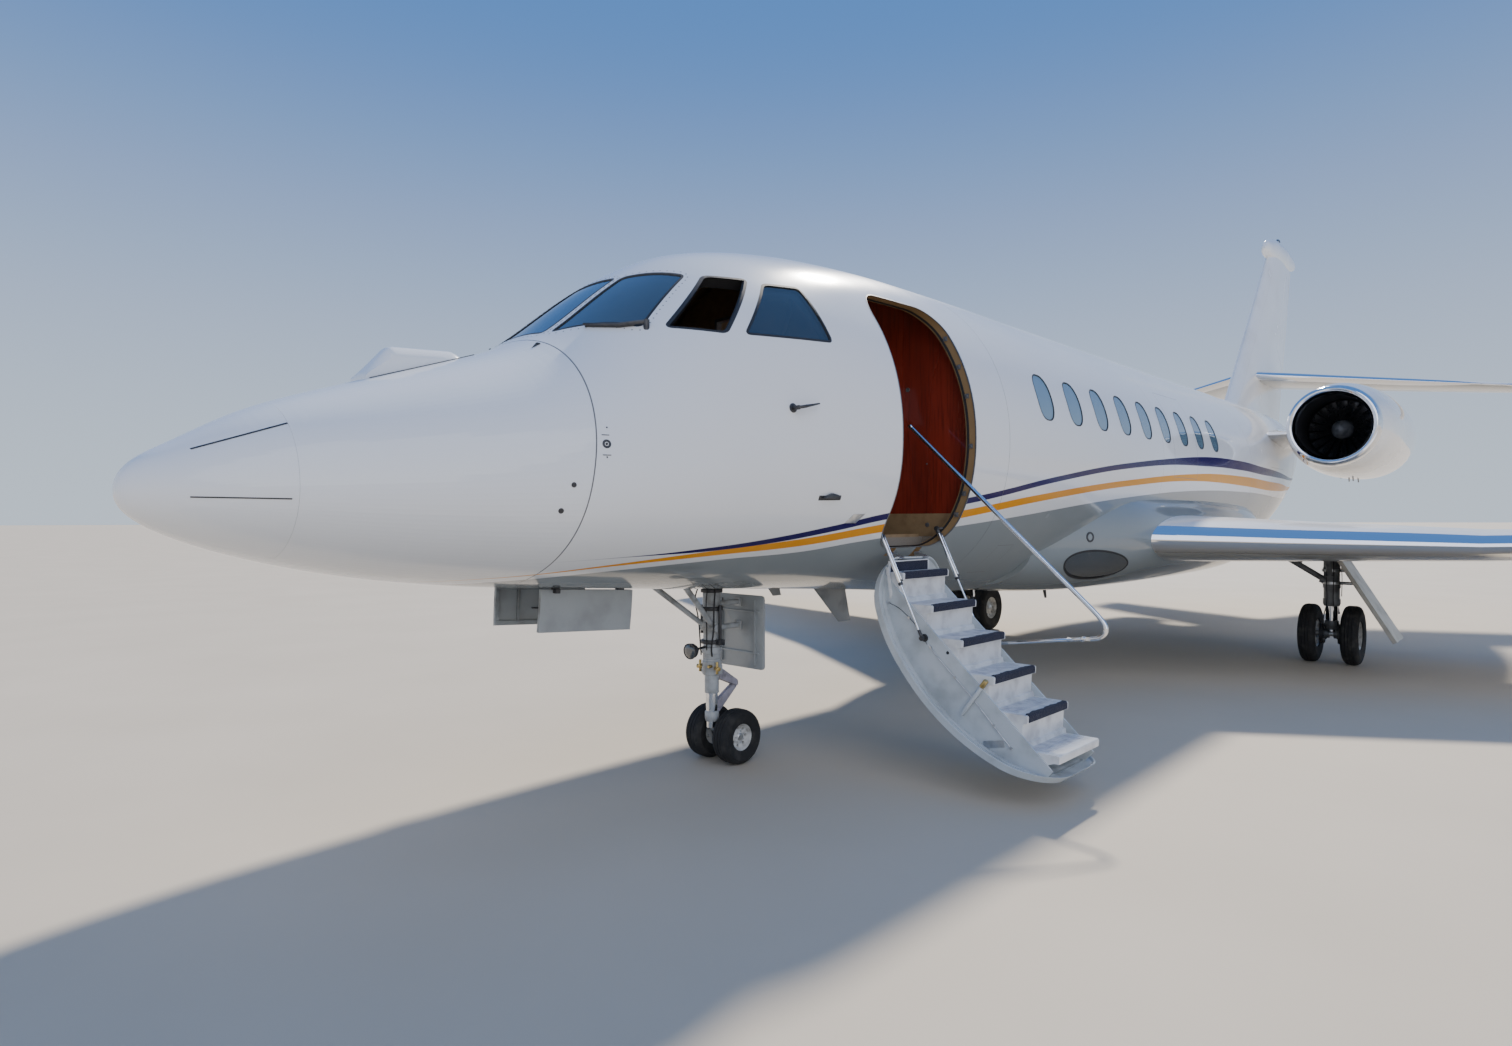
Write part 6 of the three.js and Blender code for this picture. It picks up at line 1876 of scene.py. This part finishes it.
tyre = worn_surface("tyre_rubber", tint(0.012, 0.012, 0.013), tint(0.045, 0.043, 0.040), (12.0, 5.0),
                    (0.45, 0.75), (0.3, 0.7, 0.75, 0.95), (350.0, 0.3, 0.0008))
wheel_paint = satin("wheel_paint", tint(0.58, 0.58, 0.56), tint(0.30, 0.29, 0.27), 0.4, 16.0)


def tyre_form(gear, x, z):
    """Tyre with rounded shoulders, grooves round its tread and a bead at the rim."""
    r, w, rim = z, gear["wide"] / 2, gear["rim"]
    shoulder = smooth_line([(-0.50 * w, 0.98 * rim), (-0.84 * w, 1.06 * rim),
                            (-1.0 * w, 0.62 * r + 0.38 * rim), (-0.99 * w, 0.83 * r),
                            (-0.85 * w, 0.93 * r), (-0.62 * w, 0.982 * r), (-0.40 * w, 0.996 * r)], 4)
    tread = []
    for at in (-0.36, 0.0, 0.36):
        g = 0.028 if at else 0.034
        tread += [((at - g) * w, r), ((at - g * 0.7) * w, r * 0.968), ((at + g * 0.7) * w, r * 0.968),
                  ((at + g) * w, r)]
    profile = shoulder + tread + [(-a, b) for a, b in shoulder[::-1]]
    start = profile[0][0]
    return turned([(a - start, b) for a, b in profile], (x + start, gear["s"], z), (1, 0, 0), 72, True)


def bar(s, z, start, end, radius, sides=20):
    """Round bar across the jet, between two distances from the middle."""
    return rod((start, s, z), (end, s, z), radius, sides)


def beside(s, z, reach, angle):
    """Station and level at a distance from an axle, in a direction."""
    return s + reach * math.cos(angle), z + reach * math.sin(angle)


def hub_piece(name, gear, x, z, out, holes, radius):
    """Wheel centre with a dished face on its outer side and holes round it."""
    w, rim = gear["wide"] / 2, gear["rim"]
    profile = [(-0.62, 0.30), (-0.62, 0.93), (-0.74, 0.99), (-0.74, 1.06), (-0.60, 1.02), (0.60, 1.02),
               (0.74, 1.06), (0.74, 0.99), (0.60, 0.91), (0.34, 0.82), (0.28, 0.56), (0.40, 0.44),
               (0.46, 0.30), (0.46, 0.27)]
    points = [(a * w, b * rim) for a, b in profile]
    start = points[0][0]
    form = turned([(a - start, b) for a, b in points], (x + out * start, gear["s"], z), (out, 0, 0), 56,
                  True)
    hub = outward(object_of(name, *form, [wheel_paint, rubber]))
    spots = [beside(gear["s"], z, 0.69 * rim, a) for a in turns(holes)]
    drills = [rod((x - out * w, *at), (x + out * w, *at), radius, 14) for at in spots]
    return edges(carve(hub, cutter(drills, 0)), 30)


def hub_fittings(gear, x, z, out, bolts):
    """Bolts, grease cap and inner drum of a wheel."""
    w, rim = gear["wide"] / 2, gear["rim"]
    forms = [turned([(0, 0.29 * rim), (0.50 * w, 0.29 * rim), (0.56 * w, 0.24 * rim),
                     (0.58 * w, 0.12 * rim), (0.58 * w, 0.002)], (x, gear["s"], z), (out, 0, 0), 28)]
    bolt = [(0, 0.05 * rim), (0.10 * w, 0.05 * rim), (0.11 * w, 0.03 * rim)]
    stud = [(0, 0.035 * rim), (0.10 * w, 0.035 * rim)]
    for a in turns(bolts) + math.pi / bolts:
        for profile, reach, depth in ((bolt, 0.42, 0.36), (stud, 0.90, 0.50)):
            at = (x + out * depth * w, *beside(gear["s"], z, reach * rim, a))
            forms.append(turned(profile, at, (out, 0, 0), 6))
    return forms


def twin_wheels(label, gear, x, node, holes, radius):
    """Tyres, hubs and axle of a leg, all on the body that is named like the node."""
    z = axle_level(gear)
    ends = [(x + out * gear["twin"] / 2, out) for out in (-1, 1)]
    fitted(f"{label}_tyres", merged(*[tyre_form(gear, end, z) for end, _ in ends]), tyre, "tyre", node,
           body=node, turn=30)
    for end, out in ends:
        which = "outer" if out * (x or 1) > 0 else "inner"
        install(hub_piece(f"{label}_hub_{which}", gear, end, z, out, holes, radius), node, "tyre")
    parts = [bar(gear["s"], z, ends[0][0], ends[1][0], gear["axle"])]
    for end, out in ends:
        parts += hub_fittings(gear, end, z, out, holes)
    fitted(f"{label}_axle_and_bolts", merged(*parts), aluminium, "tyre", body=node)


twin_wheels("nose", NOSE, 0, "nose_wheels", 7, 0.0115)
for label, side in SIDES:
    twin_wheels(f"main_{label}", MAIN, side * MAIN["track"] / 2, f"main_wheels_{label}", 9, 0.0165)

# Nose gear
# A painted leg with collars, a V brace and rear fairing panel; below it the steering collar with brass
# fittings, chromed piston, torque links, and a fork that carries the axle. A lamp and hoses are on the leg.
leg_paint = satin("leg_paint", tint(0.42, 0.44, 0.45), tint(0.22, 0.22, 0.21), 0.4, 12.0)
link_paint = satin("link_paint", tint(0.36, 0.34, 0.40), tint(0.20, 0.19, 0.21), 0.45, 20.0)
panel_grey = satin("door_grey", tint(0.34, 0.365, 0.375), tint(0.24, 0.25, 0.25), 0.3, 4.0)
level = axle_level(NOSE)
leg = NOSE["leg"]
half = BAY["half"] - LOOSE
profile = [(0, 0.060), (0.03, 0.060), (0.035, 0.068), (0.075, 0.068), (0.08, 0.057), (0.20, 0.057),
           (0.205, 0.066), (0.24, 0.066), (0.245, 0.060), (0.62, 0.060)]
parts = [turned(profile, (0, leg, 0.701), (0, 0, 1), 36), bar(leg, 1.26, -half, half, 0.032),
         bar(2.790, 1.255, -half, half, 0.018)]
for side in (-1, 1):
    parts += [rod((side * 0.035, leg - 0.01, 0.900), (side * 0.190, 2.790, 1.255), 0.017, 18, 0.020),
              bar(2.790, 1.255, side * 0.187, side * 0.215, 0.028),
              bar(leg - 0.02, 0.905, side * 0.02, side * 0.075, 0.026)]
parts += [pin(0, z, leg, 3.493, 0.018) for z in (0.90, 1.06)]
parts += [brick((-0.03, 3.480, z - 0.03), (0.03, 3.4905, z + 0.03)) for z in (0.90, 1.06)]
fitted("nose_leg_tube", merged(*parts), leg_paint, "grey_composite", "nose_leg", bevel=0.002)
rear_panel = plate_across(rounded([(-0.235, 0.61), (0.235, 0.61), (0.235, 1.11), (-0.235, 1.11)], 0.03),
                          3.490, 3.506)
stiffeners = [brick((x - 0.006, 3.478, 0.64), (x + 0.006, 3.491, 1.08)) for x in (-0.16, 0.16)]
stiffeners += [brick((-0.2, 3.480, z - 0.006), (0.2, 3.491, z + 0.006)) for z in (0.72, 1.00)]
fitted("nose_rear_panel", merged(rear_panel, *stiffeners), panel_grey, "grey_composite", bevel=0.002)
brackets = [turned([(0, 0.074), (0.022, 0.074), (0.026, 0.069), (0.026, 0.058), (0, 0.058)], (0, leg, z),
                   (0, 0, 1), 36, True) for z in (0.80, 1.02, 1.14)]
brackets += [brick((0.060, leg - 0.025, 0.795), (0.105, leg + 0.02, 0.83)),
             brick((-0.11, leg - 0.02, 1.015), (-0.06, leg + 0.02, 1.05)),
             rod((0.085, leg - 0.005, 0.83), (0.085, leg - 0.005, 1.06), 0.011),
             rod((-0.088, leg, 0.86), (-0.088, leg, 1.015), 0.016),
             rod((0.0, leg - 0.058, 0.78), (0.045, 3.03, 0.78), 0.008)]
fitted("nose_leg_fittings", merged(*brackets), dark_metal, "bare_metal", bevel=0.0015)
hoses = [bent(smooth_line([(0.07, leg - 0.03, 1.20), (0.085, leg - 0.06, 1.05), (0.07, leg - 0.05, 0.9),
                           (0.055, leg - 0.055, 0.78), (0.05, leg - 0.045, 0.72)]), 0.0055),
         bent(smooth_line([(-0.06, leg - 0.04, 1.22), (-0.08, leg - 0.075, 1.1),
                           (-0.075, leg - 0.05, 0.95), (-0.065, leg - 0.045, 0.80),
                           (-0.05, leg - 0.05, 0.72)]), 0.0045),
         bent(smooth_line([(0.03, leg - 0.06, 1.22), (0.035, leg - 0.085, 1.06),
                           (0.03, leg - 0.075, 0.92), (0.02, leg - 0.065, 0.76)]), 0.004)]
fitted("nose_leg_hoses", merged(*hoses), rubber, "grey_composite")
lamp_way = (0.12, -1.0, -0.08)
shell_form = turned([(0, 0.002), (0.004, 0.030), (0.03, 0.047), (0.058, 0.052), (0.062, 0.052),
                     (0.062, 0.045), (0.058, 0.045), (0.03, 0.038)], (0.05, 3.045, 0.782), lamp_way, 36)
fitted("taxi_lamp_housing", shell_form, dark_metal, "bare_metal")
dome = [(0, 0.044), (0.004, 0.044), (0.009, 0.036), (0.012, 0.018), (0.013, 0.002)]
lamp_dome = turned(dome, (0.0569, 2.9885, 0.7775), lamp_way, 36)
fitted("taxi_lamp_glass", lamp_dome, tinted_glass("lamp_glass", 1.0), "dark_glass")
collar = [(0, 0.058), (0.012, 0.066), (0.09, 0.066), (0.098, 0.060), (0.1094, 0.060)]
foot = [(0, 0.043), (0.02, 0.048), (0.06, 0.048), (0.07, 0.043)]
fork = [turned(collar, (0, leg, 0.590), (0, 0, 1), 36), rod((0, leg, 0.470), (0, leg, 0.600), 0.048, 28),
        rod((0, leg - 0.005, level + 0.09), (0, NOSE["s"], level), 0.036, 24),
        turned(foot, (0, leg, level + 0.10), (0, 0, 1), 28)]
eye = [(0, 0.0415), (0.030, 0.0415), (0.030, 0.0215), (0, 0.0215)]
for side in (-1, 1):
    fork += [turned(eye, (side * 0.022, NOSE["s"], level), (side, 0, 0), 28, True),
             brick((side * 0.060 - 0.012, leg - 0.03, 0.60), (side * 0.060 + 0.012, leg + 0.03, 0.66))]
fitted("nose_fork_frame", merged(*fork), leg_paint, "bare_metal", "nose_fork", body="nose_fork",
       bevel=0.0015)
fitted("nose_piston", rod((0, leg, level + 0.06), (0, leg, 0.60), 0.040, 32), plated, "bare_metal",
       body="nose_fork")
upper = [(leg + 0.035, 0.625), (leg + 0.060, 0.632), (leg + 0.217, 0.530), (leg + 0.222, 0.502),
         (leg + 0.205, 0.492), (leg + 0.045, 0.560)]
lower = [(leg + 0.030, 0.330), (leg + 0.055, 0.335), (leg + 0.218, 0.480), (leg + 0.218, 0.508),
         (leg + 0.190, 0.508), (leg + 0.020, 0.400)]
links = []
for side in (-1, 1):
    links += [across_prism(rounded(upper, 0.008), *sorted((side * 0.016, side * 0.030))),
              across_prism(rounded(lower, 0.008), *sorted((side * 0.004, side * 0.0155)))]
links += [bar(leg + 0.205, 0.502, -0.034, 0.034, 0.011), bar(leg + 0.045, 0.595, -0.04, 0.04, 0.012),
          bar(leg + 0.03, 0.352, -0.035, 0.035, 0.012),
          across_prism(rounded([(leg + 0.09, 0.585), (leg + 0.15, 0.548), (leg + 0.15, 0.535),
                                (leg + 0.09, 0.565)], 0.004), -0.018, 0.018)]
fitted("nose_torque_links", merged(*links), link_paint, "bare_metal", body="nose_fork", bevel=0.0015)
fittings = [rod((side * 0.055, leg - 0.02, 0.640), (side * 0.105, leg - 0.035, 0.640), 0.014)
            for side in (-1, 1)]
fittings += [rod((side * 0.082, leg - 0.03, 0.605), (side * 0.082, leg - 0.03, 0.685), 0.009)
             for side in (-1, 1)]
fittings += [pin(side * 0.045, 0.655, leg - 0.045, leg - 0.075, 0.010) for side in (-1, 1)]
fitted("steering_fittings", merged(*fittings), brass, "bare_metal", body="nose_fork", bevel=0.001)

# Nose gear doors
# Two doors that hang open: painted skins with a pressed inner frame, on gooseneck hinges. The left one
# shows its outer face, the right one its inner face and a pull handle.
DOOR_HINGE = [(0.240, 1.780, 1.267), (0.240, 2.380, 1.229)]


def hung_open(form):
    """Form of the shut left nose door, turned open about its hinge."""
    points, faces = form
    a, b = [Vector((x, s - LENGTH / 2, z)) for x, s, z in DOOR_HINGE]
    swing = Matrix.Rotation(math.radians(-86), 4, (b - a).normalized())
    spin = np.array(Matrix.Translation(a) @ swing @ Matrix.Translation(-a))
    return points @ spin[:3, :3].T + spin[:3, 3], faces


def belly_sheet(low, high, top, deep, columns=12, rows=26):
    """Sheet that follows the belly between two corners in x and station."""
    layers = []
    for depth in (deep, top):
        grid = []
        for s in np.linspace(low[1], high[1], rows):
            x = np.linspace(low[0], high[0], columns)
            grid.append(place(x, np.full(columns, s), hull.over(x, np.full(columns, s), depth, False)))
        layers.append(np.concatenate(grid))
    count = rows * columns
    faces = [tuple(reversed(face)) for face in grid_faces(rows, columns, 0, False)]
    faces += grid_faces(rows, columns, count, False)
    rim = list(range(columns)) + [r * columns + columns - 1 for r in range(1, rows)]
    rim += [(rows - 1) * columns + c for c in range(columns - 2, -1, -1)]
    rim += [r * columns for r in range(rows - 2, 0, -1)]
    faces += [(a, b, b + count, a + count) for a, b in zip(rim, rim[1:] + rim[:1])]
    return np.concatenate(layers), faces


outer_skin = belly_sheet((0.004, 1.780), (0.232, 2.380), 0.0, 0.004)
frame_forms = [belly_sheet((x, 1.780), (x + 0.026, 2.380), 0.004, 0.022, 4) for x in (0.004, 0.206)]
frame_forms += [belly_sheet((0.030, s), (0.206, s + 0.026), 0.004, 0.022, 8, 4) for s in (1.780, 2.354)]
frame_forms += [belly_sheet((0.030, s - 0.008), (0.206, s + 0.008), 0.004, 0.018, 8, 3)
                for s in (1.93, 2.08, 2.23)]
pair("nose_door_skin", hung_open(outer_skin), panel_grey, "grey_composite", "nose_door", body="nose_door")
pair("nose_door_frame", hung_open(merged(*frame_forms)), bay_grey, "grey_composite", body="nose_door",
     bevel=0.001)
hinges = []
for s in (1.840, 2.270):
    knuckle = [(0.240, at, 1.267 - 0.0633 * (at - 1.78)) for at in (s, s + 0.046)]
    hinges += [brick((0.214, s + 0.008, 1.2345), (0.236, s + 0.038, 1.262)), rod(*knuckle, 0.009)]
grab = bent(eased([(0.10, 2.02, 1.255), (0.10, 2.02, 1.30), (0.10, 2.14, 1.30), (0.10, 2.14, 1.248)],
                  0.015), 0.005)
pair("nose_door_hinges", hung_open(merged(*hinges, grab)), dark_metal, "bare_metal", body="nose_door")

# Main gear
# Each leg is a banded dark cylinder with a chromed piston, side and drag braces, torque links, brake
# pipes and an axle eye. A slanting beige door with a pressed edge is carried beside it on two links.
beige = satin("leg_door_beige", tint(0.50, 0.47, 0.41), tint(0.36, 0.34, 0.30), 0.35, 5.0)
leg_dark = satin("main_leg_paint", tint(0.16, 0.165, 0.17), tint(0.07, 0.07, 0.07), 0.4, 10.0)
X = MAIN["track"] / 2
S = MAIN["s"]
level = axle_level(MAIN)
bands = [(0, 0.074), (0.03, 0.085), (0.08, 0.085), (0.085, 0.078), (0.20, 0.078), (0.205, 0.085),
         (0.26, 0.085), (0.265, 0.078), (0.38, 0.078), (0.385, 0.085), (0.43, 0.085), (0.435, 0.080),
         (0.66, 0.080)]
main_parts = [turned(bands, (X, S, 0.640), (0, 0, 1), 36),
              rod((1.60, S - 0.03, 1.30), (X - 0.04, S - 0.03, 0.92), 0.032),
              rod((X, S - 0.42, 1.30), (X, S - 0.06, 0.98), 0.026),
              rod((X - 0.10, S - 0.03, 0.945), (X - 0.02, S - 0.03, 0.912), 0.042),
              rod((X, S - 0.09, 0.955), (X, S - 0.05, 0.985), 0.040),
              rod((1.86, S - 0.03, 1.147), (1.93, S - 0.03, 1.104), 0.040)]
axle_eye = [turned([(0, 0.0515), (0.078, 0.0515), (0.078, 0.0315), (0, 0.0315)],
                   (X + way * 0.022, S, level), (way, 0, 0), 32, True) for way in (-1, 1)]
axle_eye += [turned([(0, 0.064), (0.05, 0.072), (0.10, 0.066)], (X, S, level + 0.05), (0, 0, 1), 28)]
brakes = []
for way in (-1, 1):
    disc = [(0, 0.060), (0, 0.112), (0.012, 0.112), (0.012, 0.118), (0.020, 0.118), (0.020, 0.112),
            (0.034, 0.112), (0.034, 0.060)]
    brakes.append(turned(disc, (X + way * 0.070, S, level), (way, 0, 0), 40, True))
    for a in turns(6) + math.radians(20):
        spot = beside(S, level, 0.088, a)
        brakes.append(rod((X + way * 0.060, *spot), (X + way * 0.075, *spot), 0.017, 16))
piston = rod((X, S, level + 0.03), (X, S, 0.66), 0.058, 36)
link_forms = []
upper = [(0.060, 0.72), (0.085, 0.715), (0.252, 0.566), (0.252, 0.530), (0.225, 0.530), (0.060, 0.65)]
lower = [(0.030, 0.34), (0.060, 0.345), (0.240, 0.500), (0.252, 0.545), (0.205, 0.550), (0.030, 0.42)]
for way in (-1, 1):
    link_forms += [across_prism(rounded([(S + a, b) for a, b in upper], 0.010),
                                *sorted((X + way * 0.020, X + way * 0.036))),
                   across_prism(rounded([(S + a, b) for a, b in lower], 0.010),
                                *sorted((X + way * 0.006, X + way * 0.0195)))]
link_forms += [bar(S + 0.236, 0.545, X - 0.04, X + 0.04, 0.014),
               bar(S + 0.07, 0.69, X - 0.05, X + 0.05, 0.015),
               bar(S + 0.045, 0.365, X - 0.045, X + 0.045, 0.015)]
pipes = [bent(smooth_line([(X + way * 0.03, S - 0.088, 1.20), (X + way * 0.035, S - 0.095, 0.95),
                           (X + way * 0.03, S - 0.094, 0.70), (X + way * 0.055, S - 0.105, 0.55),
                           (X + way * 0.075, S - 0.075, 0.42)]), 0.005) for way in (-1, 1)]
pipes += [bent(smooth_line([(X + 0.088, S, 1.15), (X + 0.095, S + 0.01, 0.95),
                            (X + 0.09, S + 0.02, 0.75)]), 0.004)]
door_outline_main = [(X + 0.06, 1.240), (X + 0.082, 1.252), (X + 0.622, 0.312), (X + 0.600, 0.300)]
door_sheet = plate_across(door_outline_main, S - 0.249, S + 0.251)
lip = [plate_across([(X + 0.045, 1.232), (X + 0.06, 1.240), (X + 0.60, 0.300), (X + 0.585, 0.292)],
                    S + at, S + at + 0.012) for at in (-0.249, 0.239)]
lip += [plate_across([(X + 0.585, 0.292), (X + 0.600, 0.300), (X + 0.588, 0.321), (X + 0.573, 0.313)],
                     S - 0.237, S + 0.239)]
struts = [bar(S, 0.900, X + 0.0823, X + 0.262, 0.018), bar(S, 1.040, X + 0.0823, X + 0.182, 0.018)]
struts += [turned([(0, 0.0945), (0.03, 0.0945), (0.03, 0.0862), (0, 0.0862)], (X, S, z), (0, 0, 1), 32,
                  True) for z in (0.885, 1.025)]
under_wing = (("main_leg_tube", merged(*main_parts), leg_dark, "bare_metal", "main_leg"),
              ("leg_door_skin", door_sheet, beige, "grey_composite", "leg_door"))
for label, side in SIDES:
    for name, form, paint, slot, node in under_wing:
        piece = outward(object_of(f"{name}_{label}", *form, [paint]))
        carve(piece, blade_solid("cutter", WING_ROWS, False, [], wing_spots))
        install(edges(mirrored(piece, side)), "airframe", slot, f"{node}_{label}")
pair("leg_door_lips", merged(*lip), beige, "grey_composite", bevel=0.002)
pair("leg_door_links", merged(*struts), aluminium, "bare_metal", bevel=0.001)
pair("main_axle_eye", merged(*axle_eye), leg_dark, "bare_metal", bevel=0.002)
pair("main_piston", piston, plated, "bare_metal")
pair("main_torque_links", merged(*link_forms), link_paint, "bare_metal", bevel=0.002)
pair("brake_packs", merged(*brakes), dark_metal, "bare_metal")
pair("brake_pipes", merged(*pipes), rubber, "bare_metal")

# Belly aerials, landing lights and drain mast
# Blade aerials and a drain mast under the belly, and a landing light on each side of the fairing behind
# an oval of dark glass with a black rim. A wiper rests at the foot of each front pane.
LIGHT = {"s": 6.990, "z": 1.208, "long": 0.425, "high": 0.131, "slope": 0.15}


def light_oval(by):
    """Outline of the landing light's glass on the side of the fairing."""
    turn = turns(56)
    return np.stack((LIGHT["s"] + (LIGHT["long"] + by) * np.cos(turn) - LIGHT["slope"] * np.sin(turn),
                     LIGHT["z"] + (LIGHT["high"] + by) * np.sin(turn)), -1)


def blade_aerial(root, tip, depth_of_root, level, half):
    """Swept blade under the belly: root and tip as front and rear stations."""
    rows = []
    for share in np.linspace(0, 1, 7):
        front, rear = (root[i] + (tip[i] - root[i]) * share for i in (0, 1))
        z = depth_of_root + (level - depth_of_root) * share
        along = (front + rear) / 2 + (rear - front) / 2 * np.cos(turns(28))
        thick = half * (1 - 0.55 * share) * np.sin(turns(28)) * (1.0 - 0.35 * np.cos(turns(28)))
        rows.append(place(thick, along, np.full(28, z)))
    return lofted(rows)


aerial_paint = satin("aerial_paint", tint(0.30, 0.31, 0.31), tint(0.20, 0.21, 0.21), 0.4)
for label, side in SIDES:
    rim = band_on_skin(fairing, "side", light_oval(0.012), light_oval(-0.006), -0.003, 0.010, side)
    glass = sheet_on_skin(fairing, "side", light_oval(-0.0055), -0.0012, 0.008, side)
    fitted(f"landing_light_rim_{label}", rim, rubber, "dark_glass")
    fitted(f"landing_light_glass_{label}", glass, windscreen, "dark_glass")
    arm = [(0.735, 2.085), (0.690, 2.030), (0.640, 1.975), (0.560, 1.925), (0.470, 1.885)]
    spine = [(side * x, s, hull.over(x, s, -0.022)) for x, s in arm]
    wiper = [bent(spine, [0.011, 0.010, 0.009, 0.008, 0.007]),
             bent([(x, s + 0.012, z - 0.008) for x, s, z in spine[1:]], [0.006] * 4),
             rod((spine[0][0], spine[0][1], spine[0][2] - 0.045),
                 (spine[0][0], spine[0][1], spine[0][2] + 0.010), 0.016)]
    fitted(f"wiper_{label}", merged(*wiper), dark_metal, "bare_metal")
under = hull.over(0.0, 4.5, up=False)
blades = [blade_aerial((4.28, 4.68), (4.60, 4.755), under + 0.03, 0.822, 0.016),
          blade_aerial((3.76, 3.90), (3.84, 3.93), hull.over(0.0, 3.8, up=False) + 0.03, 1.075, 0.010),
          blade_aerial((5.35, 5.62), (5.52, 5.66), hull.over(0.0, 5.5, up=False) + 0.03, 0.950, 0.012)]
fitted("belly_aerials", merged(*blades), aerial_paint, "grey_composite")
low = fairing.over(0.0, 8.22, up=False)
mast = blade_aerial((8.17, 8.27), (8.25, 8.30), low + 0.03, low - 0.13, 0.013)
fitted("drain_mast", mast, dark_metal, "bare_metal")
top = hull.over(0.36, 1.657)
vane = across_prism(np.array([(1.635, top - 0.02), (1.690, top - 0.02), (1.700, top + 0.028),
                              (1.678, top + 0.028)]), 0.357, 0.363)
fitted("top_vane", vane, dark_metal, "bare_metal", bevel=0.001)

# Camera, floor and light
# The camera stands low off the port bow, as in the photograph. The floor is plain, and the light is a
# soft overcast with one broad lamp behind the jet.
CAMERA = {"x": 4.139, "s": -0.687, "z": 1.625, "azimuth": 43.555, "pitch": -0.241, "roll": -0.109,
          "focal": 852.5}
PHOTO_WIDTH = 1512
SENSOR = 36.0


def aim(azimuth, pitch, roll):
    """Turn of a camera from its compass direction, tilt and roll in degrees."""
    a, p, r = (math.radians(v) for v in (azimuth, pitch, roll))
    ahead = Vector((-math.sin(a) * math.cos(p), math.cos(a) * math.cos(p), math.sin(p)))
    right = Vector((math.cos(a), math.sin(a), 0))
    above = right.cross(ahead)
    right, above = right * math.cos(r) + above * math.sin(r), above * math.cos(r) - right * math.sin(r)
    return Matrix((right, above, -ahead)).transposed().to_4x4()


lens = bpy.data.cameras.new("camera")
lens.sensor_width = SENSOR
lens.lens = CAMERA["focal"] / PHOTO_WIDTH * SENSOR
lens.clip_end = 1000
camera = bpy.data.objects.new("camera", lens)
spot = (CAMERA["x"], CAMERA["s"] - LENGTH / 2, CAMERA["z"])
camera.matrix_world = Matrix.Translation(spot) @ aim(CAMERA["azimuth"], CAMERA["pitch"], CAMERA["roll"])
bpy.context.scene.collection.objects.link(camera)
bpy.context.scene.camera = camera


def pale_concrete():
    material, at = begin("pale_floor")
    colour = at.grain(0.7, 4.0).blend(tint(0.50, 0.435, 0.34), tint(0.58, 0.51, 0.41))
    return finish(material, Base_Color=colour, Roughness=0.8)


ground = 400 * np.stack((np.cos(turns(64)), np.sin(turns(64)), np.zeros(64)), 1)
object_of("floor_plane", ground, [tuple(range(64))], [pale_concrete()])
world = bpy.data.worlds.new("sky")
bpy.context.scene.world = world
world.use_nodes = True
tree = world.node_tree
sky = tree.nodes["Background"]
coordinates = tree.nodes.new("ShaderNodeTexCoord")
up = Tone(tree, coordinates.outputs["Generated"]).axes()[2]
shade = up.rise(-0.02, 0.55).blend(tint(0.66, 0.76, 0.88), tint(0.10, 0.27, 0.68))
tree.links.new(up.rise(-0.04, 0.0).blend(tint(0.52, 0.46, 0.37), shade).socket, sky.inputs["Color"])
sky.inputs["Strength"].default_value = 1.0


def lamp(name, azimuth, elevation, strength, spread, colour):
    """Broad distant lamp, placed by its direction from the jet."""
    light = bpy.data.lights.new(name, "SUN")
    light.energy = strength
    light.angle = math.radians(spread)
    light.color = colour
    made = bpy.data.objects.new(name, light)
    a, e = math.radians(azimuth), math.radians(elevation)
    way = Vector((-math.sin(a) * math.cos(e), math.cos(a) * math.cos(e), math.sin(e)))
    made.matrix_world = way.to_track_quat("Z", "Y").to_matrix().to_4x4()
    bpy.context.scene.collection.objects.link(made)


lamp("broad_lamp", 22, 42, 6.0, 4, (1.0, 0.93, 0.82))
lamp("fill_lamp", 235, 30, 1.1, 60, (1.0, 0.95, 0.88))
